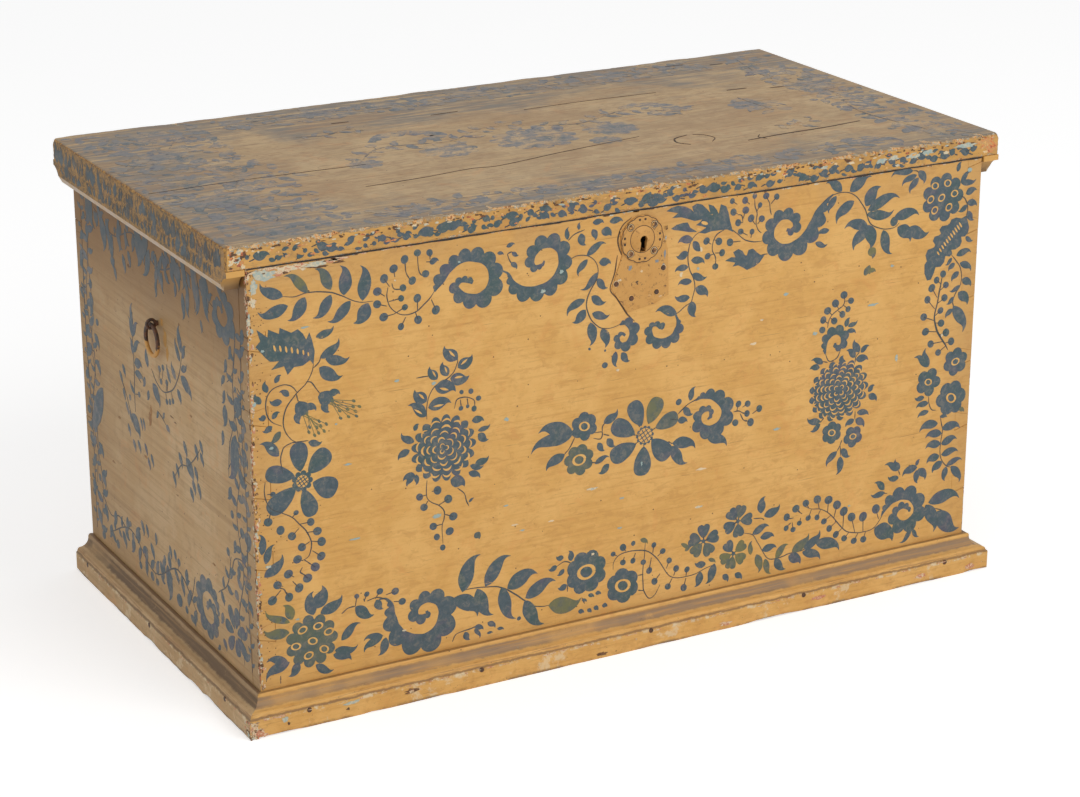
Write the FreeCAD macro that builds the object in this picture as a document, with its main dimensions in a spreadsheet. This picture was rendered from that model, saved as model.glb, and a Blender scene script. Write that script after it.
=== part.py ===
"""Painted pine blanket chest: a dovetailed case on a plinth, with a battened lid.

The chest stands on z = 0, +Z is up, its front looks along -Y and its length runs along X.  The
origin is under the middle of everything, so the case's own middle lies a little behind it.
Sketches are drawn about the middle of the case, and each body's placement carries it to the frame.
Lengths are in millimetres.
"""
import FreeCAD, Part
import os
import re
import Sketcher

Vector = FreeCAD.Vector

SIZES = {
    # case
    "case_length": 1010,          # outside, end to end
    "case_depth": 554,            # outside, front to back
    "wall_height": 530,           # the boards, from their foot to the lid
    "board_thickness": 22,
    "tail_count": 6,              # tails at each corner
    "pin_narrow": 14,             # a pin's width at the end board's outer face
    "pin_wide": 26,               # and at its inner face
    "bottom_thickness": 16,
    "bottom_gap": 0.4,            # between two bottom boards
    "bearer_height": 14,          # lifts the bottom off the floor
    "bearer_depth": 45,
    # plinth moulding, from the floor upwards and from the case outwards
    "plinth_flat": 24,
    "plinth_quirk": 2.5,          # the groove over the flat face
    "plinth_bead": 4,
    "plinth_cove": 12,
    "plinth_lip": 1.5,
    "plinth_round": 3,
    "plinth_ledge": 3.5,
    # lid
    "lid_thickness": 28,
    "lid_end_overhang": 24,
    "lid_front_overhang": 2,
    "lid_front_width": 300,       # the front one of its two boards
    "lid_edge_radius": 6,
    "batten_depth": 26,
    "batten_clearance": 1.5,      # between a batten and the case
    "batten_nose": 7,
    "batten_setback": 18,
    "batten_bevel": 8,
    # strap hinges
    "hinge_inset": 190,           # from the end of the case to the middle of a hinge
    "hinge_width": 32,
    "iron_thickness": 2.5,
    "hinge_pin_radius": 3,
    "running_clearance": 0.05,
    "knuckle_width": 10,
    "knuckle_gap": 0.4,
    "strap_length": 280,
    "strap_tip": 22,
    "leaf_length": 96,
    "notch_clearance": 0.5,
    # lock
    "lock_offset": 4,             # the keyhole, to the right of the middle
    "key_drop": 37,               # from the top of the case to the middle of the escutcheon
    "key_radius": 5,              # the keyhole's round top
    "key_slot": 8,
    "key_reach": 15.5,            # from the middle of the round top to the foot of the slot
    "key_clearance": 1,           # wider in the wood than in the iron
    "sheet_thickness": 1.2,
    "rosette_radius": 29,
    "rosette_nail_radius": 23,    # from the keyhole to the nails at the diagonals
    "boss_radius": 16,
    "boss_height": 4,
    "lock_width": 112,
    "lock_height": 78,
    "lock_top_gap": 4,            # from the lid down to the lock
    "lock_flange": 11,
    "lock_wall": 1.5,
    "bolt_height": 10,
    "bolt_thickness": 4,
    "bolt_length": 60,
    "bolt_throw": 10,
    "bolt_rise": 18,              # from the keyhole's middle up to the underside of the bolt
    "bolt_clearance": 0.3,
    "guide_width": 6,
    "guide_wall": 3,
    "talon_width": 8,
    "staple_offset": 24,          # from the keyhole to the staple
    "staple_thickness": 4,
    "staple_width": 11,
    "staple_foot": 4,             # the staple's iron below its eye
    "eye_clearance": 1,           # round the shot bolt in the staple's eye
    "staple_side_gap": 1.2,       # round the staple in the lock's top
    "staple_swing_gap": 2.2,      # the same, front and back, where the staple swings
    "link_plate_length": 64,
    "link_plate_width": 22,
    # ring handles
    "handle_height": 418,         # of the pivot over the floor
    "handle_stand_off": 8.5,      # of the ring from the end board
    "ring_radius": 19.5,
    "ring_wire_radius": 2.6,      # to the corners of its eight-sided section
    "eye_hole_radius": 3.5,
    "eye_wire_radius": 2,
    "eye_rest_gap": 0.25,         # under the ring's wire, where it hangs in the eye
    "shank_radius": 3,
    "shank_clearance": 0.3,
    "clinch_length": 17,
    # hand-made nails: eight-sided heads on square shanks
    "nail_head_radius": 3.2,
    "nail_head_height": 1.2,
    "nail_shank": 2,              # across the flats of the square
    "nail_length": 15,
    "nail_hole_clearance": 0.2,
    "long_nail_length": 44,
    "driven_proud": 0.2,          # what is left above the wood of a head that is driven home
    # the worn notch in the front board's top edge, over the escutcheon
    "worn_notch_width": 13,
    "worn_notch_drop": 4,
    "worn_notch_depth": 9,
    "worn_notch_offset": 8,       # to the left of the keyhole
    # piercings of the escutcheon's rim
    "pierced_radius": 24.5,       # from the keyhole to the small holes
    "pierced_hole": 2,            # across a small hole
    "pierced_spread": 8,          # degrees from a pair's middle to each of its holes
}

DERIVED = {
    "wall_foot": "bearer_height + bottom_thickness",
    "case_top": "wall_foot + wall_height",
    "tail_pitch": "wall_height / tail_count",
    "half_length": "case_length / 2",
    "half_depth": "case_depth / 2",
    "inner_depth": "half_depth - board_thickness",
    "plinth_projection": "plinth_ledge + plinth_round + plinth_cove + plinth_bead + plinth_quirk",
    "plinth_height": "plinth_flat + plinth_quirk + plinth_bead + plinth_cove + plinth_lip + plinth_round",
    "bead_low": "plinth_flat + plinth_quirk",
    "cove_low": "bead_low + plinth_bead",
    "cove_top": "cove_low + plinth_cove",
    "lid_top": "case_top + lid_thickness",
    "lid_half": "half_length + lid_end_overhang",
    "lid_front": "half_depth + lid_front_overhang",
    "barrel_radius": "hinge_pin_radius + running_clearance + iron_thickness",
    "barrel_y": "half_depth + barrel_radius",
    "barrel_z": "case_top - barrel_radius",
    "hinge_x": "half_length - hinge_inset",
    "case_middle": "(plinth_projection + driven_proud - 2 * barrel_radius) / 2",
    "key_z": "case_top - key_drop",
    "lock_back": "-inner_depth + sheet_thickness",
    "lock_top": "case_top - lock_top_gap",
    "lock_depth": "staple_width + 2 * staple_swing_gap + lock_wall",
    "staple_y": "lock_back + staple_swing_gap + staple_width / 2",
    "bolt_y": "staple_y - bolt_thickness / 2",
    "bolt_z": "key_z + bolt_rise",
    "bolt_top": "bolt_z + bolt_height",
    "staple_x": "lock_offset + staple_offset",
    "bolt_nose": "staple_x - staple_thickness / 2 - 2 * staple_side_gap",
    "handle_x": "half_length + handle_stand_off",
    "eye_z": "handle_height + eye_hole_radius - ring_wire_radius - eye_rest_gap",
    "loop_radius": "(eye_hole_radius + eye_wire_radius * cos(22.5)) / cos(180 / 16)",
    "shank_foot": "half_length - board_thickness - 1.5 * eye_wire_radius",
}

PLANE_AXIS = {"XY_Plane": 1, "YZ_Plane": 1, "XZ_Plane": -1}   # which way a sketch's normal points
X_AXIS, Y_AXIS, Z_AXIS = Vector(1, 0, 0), Vector(0, 1, 0), Vector(0, 0, 1)

doc = FreeCAD.newDocument("BlanketChest")


def make_sheet():
    """Put every driving size in a cell of its own, with its name as alias."""
    sheet = doc.addObject("Spreadsheet::Sheet", "Sizes")
    for row, (name, size) in enumerate(SIZES.items(), start=1):
        sheet.set(f"A{row}", name)
        sheet.set(f"B{row}", str(size))
        sheet.setAlias(f"B{row}", name)
    doc.recompute()
    return sheet


sheet = make_sheet()


def formula(text):
    """Write an expression of plain size names as one that points at the sheet's cells."""
    def expand(match):
        name = match.group(0)
        if name in DERIVED:
            return "(" + formula(DERIVED[name]) + ")"
        return "Sizes." + name if name in SIZES else name
    return re.sub(r"[a-z][a-z_]+", expand, str(text))


def measure(text):
    """The number that an expression of size names stands for now."""
    return float(sheet.evalExpression(formula(text)))


def bind(item, prop, text):
    item.setExpression(prop, formula(text))


def origin_item(body, role):
    return next(item for item in body.Origin.OriginFeatures if item.Role == role)


def new_body(label):
    """A body whose sketches are drawn about the middle of the case."""
    body = doc.addObject("PartDesign::Body", label)
    body.Label = label
    bind(body, "Placement.Base.y", "case_middle")
    return body


def arc_through(start, end, radius, turn):
    """The short arc of that radius between two points: turn 1 goes anticlockwise, -1 clockwise.

    Sketches count an arc's ends anticlockwise, so a clockwise one is laid down from its far end.
    """
    chord = end - start
    rise = (radius ** 2 - (chord.Length / 2) ** 2) ** 0.5
    side = Vector(-chord.y, chord.x, 0).normalize() * turn
    centre = (start + end) / 2 + side * rise
    middle = centre - side * radius
    return Part.Arc(start, middle, end) if turn == 1 else Part.Arc(end, middle, start)


def draw_outline(sketch, points):
    """Close an outline through (x, y) points; (x, y, radius, turn) is reached by an arc."""
    spots = [Vector(measure(point[0]), measure(point[1]), 0) for point in points]
    ends = []
    for index, point in enumerate(points):
        start, end = spots[index - 1], spots[index]
        if len(point) == 4:
            number = sketch.addGeometry(arc_through(start, end, measure(point[2]), point[3]))
            first = 1 if point[3] == 1 else 2
            radius = sketch.addConstraint(Sketcher.Constraint("Radius", number, measure(point[2])))
            sketch.setExpression(f"Constraints[{radius}]", formula(point[2]))
        else:
            number = sketch.addGeometry(Part.LineSegment(start, end))
            first = 1
        ends.append((number, first, 3 - first))
    for index, point in enumerate(points):
        number, _, last = ends[index]
        follower, first, _ = ends[(index + 1) % len(points)]
        sketch.addConstraint(Sketcher.Constraint("Coincident", number, last, follower, first))
        for kind, text, size in (("DistanceX", point[0], spots[index].x),
                                 ("DistanceY", point[1], spots[index].y)):
            pin = sketch.addConstraint(Sketcher.Constraint(kind, -1, 1, number, last, size))
            sketch.setExpression(f"Constraints[{pin}]", formula(text))


def draw_circle(sketch, centre_x, centre_y, radius):
    """A circle whose centre and radius are bound to the sheet."""
    centre = Vector(measure(centre_x), measure(centre_y), 0)
    number = sketch.addGeometry(Part.Circle(centre, Vector(0, 0, 1), measure(radius)))
    for kind, text, size in (("DistanceX", centre_x, centre.x), ("DistanceY", centre_y, centre.y)):
        pin = sketch.addConstraint(Sketcher.Constraint(kind, -1, 1, number, 3, size))
        sketch.setExpression(f"Constraints[{pin}]", formula(text))
    pin = sketch.addConstraint(Sketcher.Constraint("Radius", number, measure(radius)))
    sketch.setExpression(f"Constraints[{pin}]", formula(radius))


def new_sketch(body, name, plane, level):
    """An empty sketch on one of the body's own planes, moved along the plane's axis to level."""
    sketch = body.newObject("Sketcher::SketchObject", name)
    sketch.AttachmentSupport = [(origin_item(body, plane), "")]
    sketch.MapMode = "FlatFace"
    bind(sketch, "AttachmentOffset.Base.z", f"{PLANE_AXIS[plane]} * ({level})")
    return sketch


def tip_volume(body):
    doc.recompute()
    return body.Shape.Volume if body.Tip else 0


def extrude(body, name, plane, outlines, low, high, cut=False):
    """Pad, or pocket, outlines between two levels of the plane's axis, and see that it took.

    An outline is a list of points, or a (centre x, centre y, radius) tuple for a circle.
    """
    before = tip_volume(body)
    starts_high = (PLANE_AXIS[plane] == 1) == cut
    sketch = new_sketch(body, name + "Sketch", plane, high if starts_high else low)
    for outline in outlines:
        if isinstance(outline, tuple):
            draw_circle(sketch, *outline)
        else:
            draw_outline(sketch, outline)
    feature = body.newObject("PartDesign::Pocket" if cut else "PartDesign::Pad", name)
    feature.Profile = sketch
    bind(feature, "Length", f"({high}) - ({low})")
    change = tip_volume(body) - before
    if (change > -1e-6) if cut else (change < 1e-6):
        raise RuntimeError(f"{body.Label}: {name} changed nothing")
    return feature


def rectangle(left, low, right, top):
    return [(left, low), (right, low), (right, top), (left, top)]


def repeat(body, name, originals, patterns):
    """Repeat features by one or more patterns: ("row", axis, length, count) or ("mirror", plane)."""
    both = body.newObject("PartDesign::MultiTransform", name)
    steps = []
    for number, pattern in enumerate(patterns):
        if pattern[0] == "row":
            step = body.newObject("PartDesign::LinearPattern", f"{name}Row{number}")
            step.Direction = (origin_item(body, pattern[1]), [""])
            bind(step, "Length", pattern[2])
            bind(step, "Occurrences", pattern[3])
        else:
            step = body.newObject("PartDesign::Mirrored", f"{name}Mirror{number}")
            step.MirrorPlane = (origin_item(body, pattern[1]), [""])
        steps.append(step)
    both.Originals = originals
    both.Transformations = steps
    body.Tip = both
    doc.recompute()
    return both


def round_edges(body, name, wanted, radius, kind="PartDesign::Fillet"):
    """Fillet, or chamfer, the edges of the body for which wanted(edge) holds."""
    doc.recompute()
    edges = [f"Edge{number}" for number, edge in enumerate(body.Tip.Shape.Edges, start=1)
             if wanted(edge)]
    base = body.Tip
    feature = body.newObject(kind, name)
    feature.Base = (base, edges)
    bind(feature, "Radius" if kind.endswith("Fillet") else "Size", radius)
    return feature


def primitive(kind, name, sizes, place, turn=FreeCAD.Rotation()):
    """A bound Part primitive, turned and then moved to a place about the middle of the case."""
    item = doc.addObject(kind, name)
    for prop, text in sizes.items():
        bind(item, prop, text)
    item.Placement = FreeCAD.Placement(Vector(), turn)
    for axis, text in zip("xyz", place):
        bind(item, f"Placement.Base.{axis}", text if axis != "y" else f"{text} + case_middle")
    return item


def bar(name, sides, radius, length, start, drive):
    """A straight bar whose regular section has a flat on every side, the way DRIVES says."""
    flat_side = FreeCAD.Rotation(Z_AXIS, 180 / sides)
    item = primitive("Part::Prism", name, {"Circumradius": radius, "Height": length}, start,
                     DRIVES[drive][0] * flat_side)
    item.Polygon = sides
    return item


def bent_ring(name, sides, radius, bar_radius, centre, across):
    """An eight-sided bar bent to a ring of short straights, in the plane of two of the axes.

    across names the ring's first axis, where a corner lies, and its second one: "zy" or "xz".
    """
    half_side = 180 / sides
    turn = FreeCAD.Rotation(Y_AXIS, -90) if across == "zy" else FreeCAD.Rotation(X_AXIS, 90)
    spine = primitive("Part::RegularPolygon", name + "Spine", {"Circumradius": radius}, centre, turn)
    spine.Polygon = sides
    # the section stands at the middle of the first straight
    middle = dict(zip("xyz", centre))
    for axis, share in zip(across, ("cos", "sin")):
        middle[axis] = f"{middle[axis]} + {radius} * cos({half_side}) * {share}({half_side})"
    upright = FreeCAD.Rotation(Z_AXIS, half_side) * FreeCAD.Rotation(X_AXIS, 90)
    section = primitive("Part::RegularPolygon", name + "Section", {"Circumradius": bar_radius},
                        middle.values(), turn * upright * FreeCAD.Rotation(Z_AXIS, 22.5))
    section.Polygon = 8
    sweep = doc.addObject("Part::Sweep", name)
    sweep.Label = name
    sweep.Sections = [section]
    sweep.Spine = (spine, [])
    sweep.Solid = True
    sweep.Transition = "Right corner"
    doc.recompute()
    return sweep


def fuse(label, items):
    joined = doc.addObject("Part::MultiFuse", label)
    joined.Label = label
    joined.Shapes = items
    return joined


# which way a bar is laid: the turn that takes a primitive's own +Z axis there, and the step
DRIVES = {"back": (FreeCAD.Rotation(X_AXIS, -90), ("0", "1", "0")),
          "forward": (FreeCAD.Rotation(X_AXIS, 90), ("0", "-1", "0")),
          "up": (FreeCAD.Rotation(), ("0", "0", "1")),
          "right": (FreeCAD.Rotation(Y_AXIS, 90), ("1", "0", "0")),
          "left": (FreeCAD.Rotation(Y_AXIS, -90), ("-1", "0", "0"))}


def make_nails(label, spots, drive, length="nail_length", proud="nail_head_height"):
    """One node of separate nails, their heads standing proud of the surface at each spot."""
    nails = []
    for number, spot in enumerate(spots):
        start = [f"({place}) - {way} * {proud}" for place, way in zip(spot, DRIVES[drive][1])]
        head = bar(f"{label}_head{number}", 8, "nail_head_radius", "nail_head_height", start, drive)
        shank = bar(f"{label}_shank{number}", 4, "nail_shank / sqrt(2)", f"{proud} + {length}",
                    start, drive)
        nails.append(fuse(f"{label}_{number}", [head, shank]))
    group = doc.addObject("Part::Compound", label)
    group.Label = label
    group.Links = nails
    return group


def punch_holes(body, name, plane, places, low, high, size="nail_shank"):
    """Punch square holes, wide enough for bars of that size."""
    reach = f"({size} / 2 + nail_hole_clearance)"
    outlines = [rectangle(f"{across} - {reach}", f"{up} - {reach}",
                          f"{across} + {reach}", f"{up} + {reach}") for across, up in places]
    return extrude(body, name, plane, outlines, low, high, cut=True)


# --- case boards -------------------------------------------------------------------------------

def key_outline(extra="0"):
    """A round-topped keyhole with a straight slot, grown all round by extra."""
    round_top = f"key_radius + {extra}"
    half_slot = f"key_slot / 2 + {extra}"
    # where the slot's side meets the circle
    meet = f"sqrt(({round_top})^2 - ({half_slot})^2)"
    return [(f"lock_offset - ({half_slot})", f"key_z - key_reach - {extra}"),
            (f"lock_offset + {half_slot}", f"key_z - key_reach - {extra}"),
            (f"lock_offset + {half_slot}", f"key_z - {meet}"),
            (f"lock_offset + {round_top}", "key_z", round_top, 1),
            ("lock_offset", f"key_z + {round_top}", round_top, 1),
            (f"lock_offset - ({round_top})", "key_z", round_top, 1),
            (f"lock_offset - ({half_slot})", f"key_z - {meet}", round_top, 1)]


def make_long_board(label, low, high):
    """A front or back board: tails at both ends, between the sockets of the end boards' pins."""
    body = new_body(label)
    extrude(body, "Board", "XZ_Plane", [rectangle("-half_length", "wall_foot", "half_length", "case_top")],
            low, high)
    socket = [("-half_length", "wall_foot - pin_narrow / 2"),
              ("-half_length + board_thickness", "wall_foot - pin_wide / 2"),
              ("-half_length + board_thickness", "wall_foot + pin_wide / 2"),
              ("-half_length", "wall_foot + pin_narrow / 2")]
    cut = extrude(body, "PinSocket", "XZ_Plane", [socket], low, high, cut=True)
    repeat(body, "PinSockets", [cut], [("row", "Z_Axis", "wall_height", "tail_count + 1"),
                                       ("mirror", "YZ_Plane")])
    return body


def make_front_board():
    body = make_long_board("front_board", "-half_depth", "-inner_depth")
    extrude(body, "Keyhole", "XZ_Plane", [key_outline("key_clearance")],
            "-half_depth", "-inner_depth", cut=True)
    notch_middle = "lock_offset - worn_notch_offset"
    extrude(body, "WornNotch", "XZ_Plane",
            [[(f"{notch_middle} - worn_notch_width / 2", "case_top"),
              (f"{notch_middle} - worn_notch_width / 4", "case_top - worn_notch_drop * 0.8"),
              (f"{notch_middle} + worn_notch_width / 4", "case_top - worn_notch_drop"),
              (f"{notch_middle} + worn_notch_width / 2", "case_top")]],
            "-half_depth", "-half_depth + worn_notch_depth", cut=True)
    return body


def make_back_board():
    """The back board, with a notch in its top edge for each hinge strap."""
    body = make_long_board("back_board", "inner_depth", "half_depth")
    half_notch = "hinge_width / 2 + notch_clearance"
    notch = extrude(body, "StrapNotch", "XZ_Plane",
                    [rectangle(f"-hinge_x - ({half_notch})",
                               "case_top - iron_thickness - notch_clearance",
                               f"-hinge_x + {half_notch}", "case_top")],
                    "inner_depth", "half_depth", cut=True)
    repeat(body, "StrapNotches", [notch], [("mirror", "YZ_Plane")])
    return body


def make_end_board(side):
    """An end board, side -1 on the left: pins at both edges, between sockets for the tails."""
    body = new_body("left_end_board" if side < 0 else "right_end_board")
    outer, inner = f"{side} * half_length", f"{side} * (half_length - board_thickness)"
    low, high = (outer, inner) if side < 0 else (inner, outer)
    extrude(body, "Board", "YZ_Plane", [rectangle("-half_depth", "wall_foot", "half_depth", "case_top")],
            low, high)
    middle = "wall_foot + tail_pitch / 2"
    tail = [(outer, f"{middle} - (tail_pitch - pin_narrow) / 2"),
            (inner, f"{middle} - (tail_pitch - pin_wide) / 2"),
            (inner, f"{middle} + (tail_pitch - pin_wide) / 2"),
            (outer, f"{middle} + (tail_pitch - pin_narrow) / 2")]
    cut = extrude(body, "TailSocket", "XZ_Plane", [tail], "-half_depth", "-inner_depth", cut=True)
    repeat(body, "TailSockets", [cut], [("row", "Z_Axis", "wall_height - tail_pitch", "tail_count"),
                                        ("mirror", "XZ_Plane")])
    extrude(body, "ShankBore", "YZ_Plane", [("0", "eye_z", "shank_radius + shank_clearance")],
            low, high, cut=True)
    return body


def make_bottom():
    """Three boards nailed up under the walls, and the bearer that carries their rear edge."""
    names = ("bottom_board_front", "bottom_board_middle", "bottom_board_rear")
    pitch = f"case_depth / {len(names)}"
    pieces = []
    for number, label in enumerate(names):
        front_gap = "0" if number == 0 else "bottom_gap / 2"
        rear_gap = "0" if number == len(names) - 1 else "bottom_gap / 2"
        body = new_body(label)
        extrude(body, "Board", "XY_Plane",
                [rectangle("-half_length", f"-half_depth + {number} * {pitch} + {front_gap}",
                           "half_length", f"-half_depth + {number + 1} * {pitch} - {rear_gap}")],
                "bearer_height", "wall_foot")
        pieces.append(body)
    bearer = new_body("rear_bearer")
    extrude(bearer, "Bearer", "XY_Plane",
            [rectangle("-half_length", "half_depth - bearer_depth", "half_length", "half_depth")],
            "0", "bearer_height")
    return pieces + [bearer]


# --- plinth ------------------------------------------------------------------------------------

def plinth_profile(place):
    """The moulding's section; place(out) turns a distance out from the case into a coordinate.

    From the floor up: flat face, quirk, bead, cove, and a rounded lip with a ledge behind it.
    """
    turn = -1 if measure(place("1")) < measure(place("0")) else 1
    quirk = "plinth_projection - plinth_quirk"
    cove = "plinth_ledge + plinth_round + plinth_cove"
    lip = "plinth_ledge + plinth_round"
    return [(place("0"), "0"),
            (place("plinth_projection"), "0"),
            (place("plinth_projection"), "plinth_flat"),
            (place(quirk), "bead_low"),
            (place(cove), "cove_low", "plinth_bead", turn),
            (place(lip), "cove_top", "plinth_cove", -turn),
            (place(lip), "cove_top + plinth_lip"),
            (place("plinth_ledge"), "plinth_height", "plinth_round", turn),
            (place("0"), "plinth_height")]


def mitre_waste(side, corner):
    """The triangle beyond the 45 degree mitre at a front corner, on the side of that corner."""
    return [(f"{side} * half_length", "-half_depth"),
            (f"{side} * (half_length + plinth_projection)", "-half_depth - plinth_projection"), corner]


def make_plinth_front():
    body = new_body("plinth_front")
    reach = "(half_length + plinth_projection)"
    extrude(body, "Moulding", "YZ_Plane", [plinth_profile(lambda out: f"-half_depth - ({out})")],
            f"-{reach}", reach)
    waste = mitre_waste(-1, (f"-{reach}", "-half_depth"))
    cut = extrude(body, "Mitre", "XY_Plane", [waste], "0", "plinth_height", cut=True)
    repeat(body, "Mitres", [cut], [("mirror", "YZ_Plane")])
    return body


def make_plinth_side(side):
    body = new_body("plinth_left" if side < 0 else "plinth_right")
    extrude(body, "Moulding", "XZ_Plane",
            [plinth_profile(lambda out: f"{side} * (half_length + {out})")],
            "-half_depth - plinth_projection", "half_depth")
    waste = mitre_waste(side, (f"{side} * half_length", "-half_depth - plinth_projection"))
    extrude(body, "Mitre", "XY_Plane", [waste], "0", "plinth_height", cut=True)
    return body


# --- lid ---------------------------------------------------------------------------------------

def make_lid_board(label, front, rear, outer_edge):
    """One of the lid's two boards, its outer top edges rounded."""
    body = new_body(label)
    extrude(body, "Board", "XY_Plane", [rectangle("-lid_half", front, "lid_half", rear)],
            "case_top", "lid_top")
    edge_y, end_x, top = measure(outer_edge), measure("lid_half"), measure("lid_top")

    def on_outer_top(edge):
        middle = edge.CenterOfMass
        return abs(middle.z - top) < 0.01 and (abs(middle.y - edge_y) < 0.01
                                               or abs(abs(middle.x) - end_x) < 0.01)
    round_edges(body, "RoundedEdges", on_outer_top, "lid_edge_radius")
    return body


def make_batten(side):
    """A batten under the lid's end: hollow-cut at both ends and bevelled along its foot."""
    body = new_body("lid_batten_left" if side < 0 else "lid_batten_right")
    hollow = "max(batten_setback; batten_depth - batten_nose) * 1.05"
    profile = [("-lid_front", "case_top"),
               ("-lid_front", "case_top - batten_nose"),
               ("-lid_front + batten_setback", "case_top - batten_depth", hollow, -1),
               ("half_depth - batten_setback", "case_top - batten_depth"),
               ("half_depth", "case_top - batten_nose", hollow, -1),
               ("half_depth", "case_top")]
    inner, outer = f"{side} * (half_length + batten_clearance)", f"{side} * lid_half"
    low, high = (outer, inner) if side < 0 else (inner, outer)
    extrude(body, "Batten", "YZ_Plane", [profile], low, high)
    bevel = [(outer, "case_top - batten_depth"),
             (f"{side} * (lid_half - batten_bevel / 2)", "case_top - batten_depth"),
             (outer, "case_top - batten_depth + batten_bevel")]
    extrude(body, "Bevel", "XZ_Plane", [bevel], "-lid_front", "half_depth", cut=True)
    return body


# --- hinges ------------------------------------------------------------------------------------

def hinge_spans(side):
    """The x levels of a hinge: its edges and the two joints between its knuckles."""
    middle = f"{side} * hinge_x"
    return {"left": f"{middle} - hinge_width / 2", "right": f"{middle} + hinge_width / 2",
            "left_knuckle": f"{middle} - hinge_width / 2 + knuckle_width",
            "right_knuckle": f"{middle} + hinge_width / 2 - knuckle_width",
            "left_leaf": f"{middle} - hinge_width / 2 + knuckle_width + knuckle_gap",
            "right_leaf": f"{middle} + hinge_width / 2 - knuckle_width - knuckle_gap",
            "middle": middle}


def make_hinge_strap(side):
    """The strap under the lid, which ends in a point and rolls into the two outer knuckles."""
    x = hinge_spans(side)
    body = new_body("hinge_strap_left" if side < 0 else "hinge_strap_right")
    tip = "barrel_y - strap_length"
    outline = [(x["middle"], tip),
               (x["right"], f"{tip} + strap_tip"),
               (x["right"], "barrel_y"),
               (x["right_knuckle"], "barrel_y"),
               (x["right_knuckle"], "half_depth - notch_clearance"),
               (x["left_knuckle"], "half_depth - notch_clearance"),
               (x["left_knuckle"], "barrel_y"),
               (x["left"], "barrel_y"),
               (x["left"], f"{tip} + strap_tip")]
    extrude(body, "Strap", "XY_Plane", [outline], "case_top - iron_thickness", "case_top")
    for name, low, high in (("LeftKnuckle", "left", "left_knuckle"),
                            ("RightKnuckle", "right_knuckle", "right")):
        extrude(body, name, "YZ_Plane", [("barrel_y", "barrel_z", "barrel_radius")], x[low], x[high])
    extrude(body, "Bore", "YZ_Plane", [("barrel_y", "barrel_z", "hinge_pin_radius + running_clearance")],
            x["left"], x["right"], cut=True)
    punch_holes(body, "NailHoles", "XY_Plane", strap_nail_places(side), "case_top - iron_thickness",
                "case_top")
    return body


def strap_nail_places(side):
    """Four along the strap, inside the chest, as (x, y)."""
    return [(hinge_spans(side)["middle"], f"inner_depth - strap_length * {share}")
            for share in (0.08, 0.3, 0.54, 0.78)]


def leaf_nail_places(side):
    """Three down the leaf, as (x, z)."""
    return [(hinge_spans(side)["middle"], f"barrel_z - leaf_length * {share}")
            for share in (0.3, 0.63, 0.98)]


def make_hinge_leaf(side):
    """The leaf on the outside of the back, with the middle knuckle."""
    x = hinge_spans(side)
    body = new_body("hinge_leaf_left" if side < 0 else "hinge_leaf_right")
    shoulder = "barrel_z - barrel_radius - notch_clearance"
    foot = "barrel_z - leaf_length"
    outline = [(x["right"], shoulder),
               (x["right_leaf"], shoulder),
               (x["right_leaf"], "barrel_z"),
               (x["left_leaf"], "barrel_z"),
               (x["left_leaf"], shoulder),
               (x["left"], shoulder),
               (x["left"], foot),
               (x["middle"], f"{foot} - hinge_width / 2", "hinge_width / 2", 1),
               (x["right"], foot, "hinge_width / 2", 1)]
    extrude(body, "Leaf", "XZ_Plane", [outline], "half_depth", "half_depth + iron_thickness")
    extrude(body, "Knuckle", "YZ_Plane", [("barrel_y", "barrel_z", "barrel_radius")],
            x["left_leaf"], x["right_leaf"])
    extrude(body, "Bore", "YZ_Plane", [("barrel_y", "barrel_z", "hinge_pin_radius + running_clearance")],
            x["left_leaf"], x["right_leaf"], cut=True)
    punch_holes(body, "NailHoles", "XZ_Plane", leaf_nail_places(side), "half_depth",
                "half_depth + iron_thickness")
    return body


def make_hinge_pin(side):
    """The pin, with a low head beyond each outer knuckle."""
    x = hinge_spans(side)
    body = new_body("hinge_pin_left" if side < 0 else "hinge_pin_right")
    low, high = f"{x['left']} - knuckle_gap", f"{x['right']} + knuckle_gap"
    extrude(body, "Pin", "YZ_Plane", [("barrel_y", "barrel_z", "hinge_pin_radius")], low, high)
    head = ("barrel_y", "barrel_z", "barrel_radius - running_clearance")
    extrude(body, "LeftHead", "YZ_Plane", [head], f"{low} - iron_thickness", low)
    extrude(body, "RightHead", "YZ_Plane", [head], high, f"{high} + iron_thickness")
    return body


# --- lock --------------------------------------------------------------------------------------

SHIELD_NAILS = [(f"lock_offset + {across}", f"key_z + {up}")
                for across, up in ((-35, -51), (-14, -72), (21, -69), (30, -40))]


def make_shield_plate():
    """An older plate on the front, cut by hand to a lopsided shield."""
    body = new_body("lock_shield_plate")
    corners = [(-30, 15), (-27, -17), (-41, -57), (-19, -89), (20, -83), (38, -75), (38, -63),
               (36, -17), (26, 15)]
    outline = [(f"lock_offset + {across}", f"key_z + {up}") for across, up in corners]
    extrude(body, "Plate", "XZ_Plane", [outline], "-half_depth - sheet_thickness", "-half_depth")
    extrude(body, "Keyhole", "XZ_Plane", [key_outline("key_clearance")],
            "-half_depth - sheet_thickness", "-half_depth", cut=True)
    punch_holes(body, "NailHoles", "XZ_Plane", SHIELD_NAILS + rosette_places(45, "rosette_nail_radius"),
                "-half_depth - sheet_thickness", "-half_depth")
    return body


def rosette_places(first_angle, radius, spread="0"):
    """Four places a quarter turn apart round the keyhole, as (x, z)."""
    return [(f"lock_offset + {radius} * cos({first_angle + turn} + {spread})",
             f"key_z + {radius} * sin({first_angle + turn} + {spread})") for turn in range(0, 360, 90)]


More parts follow.
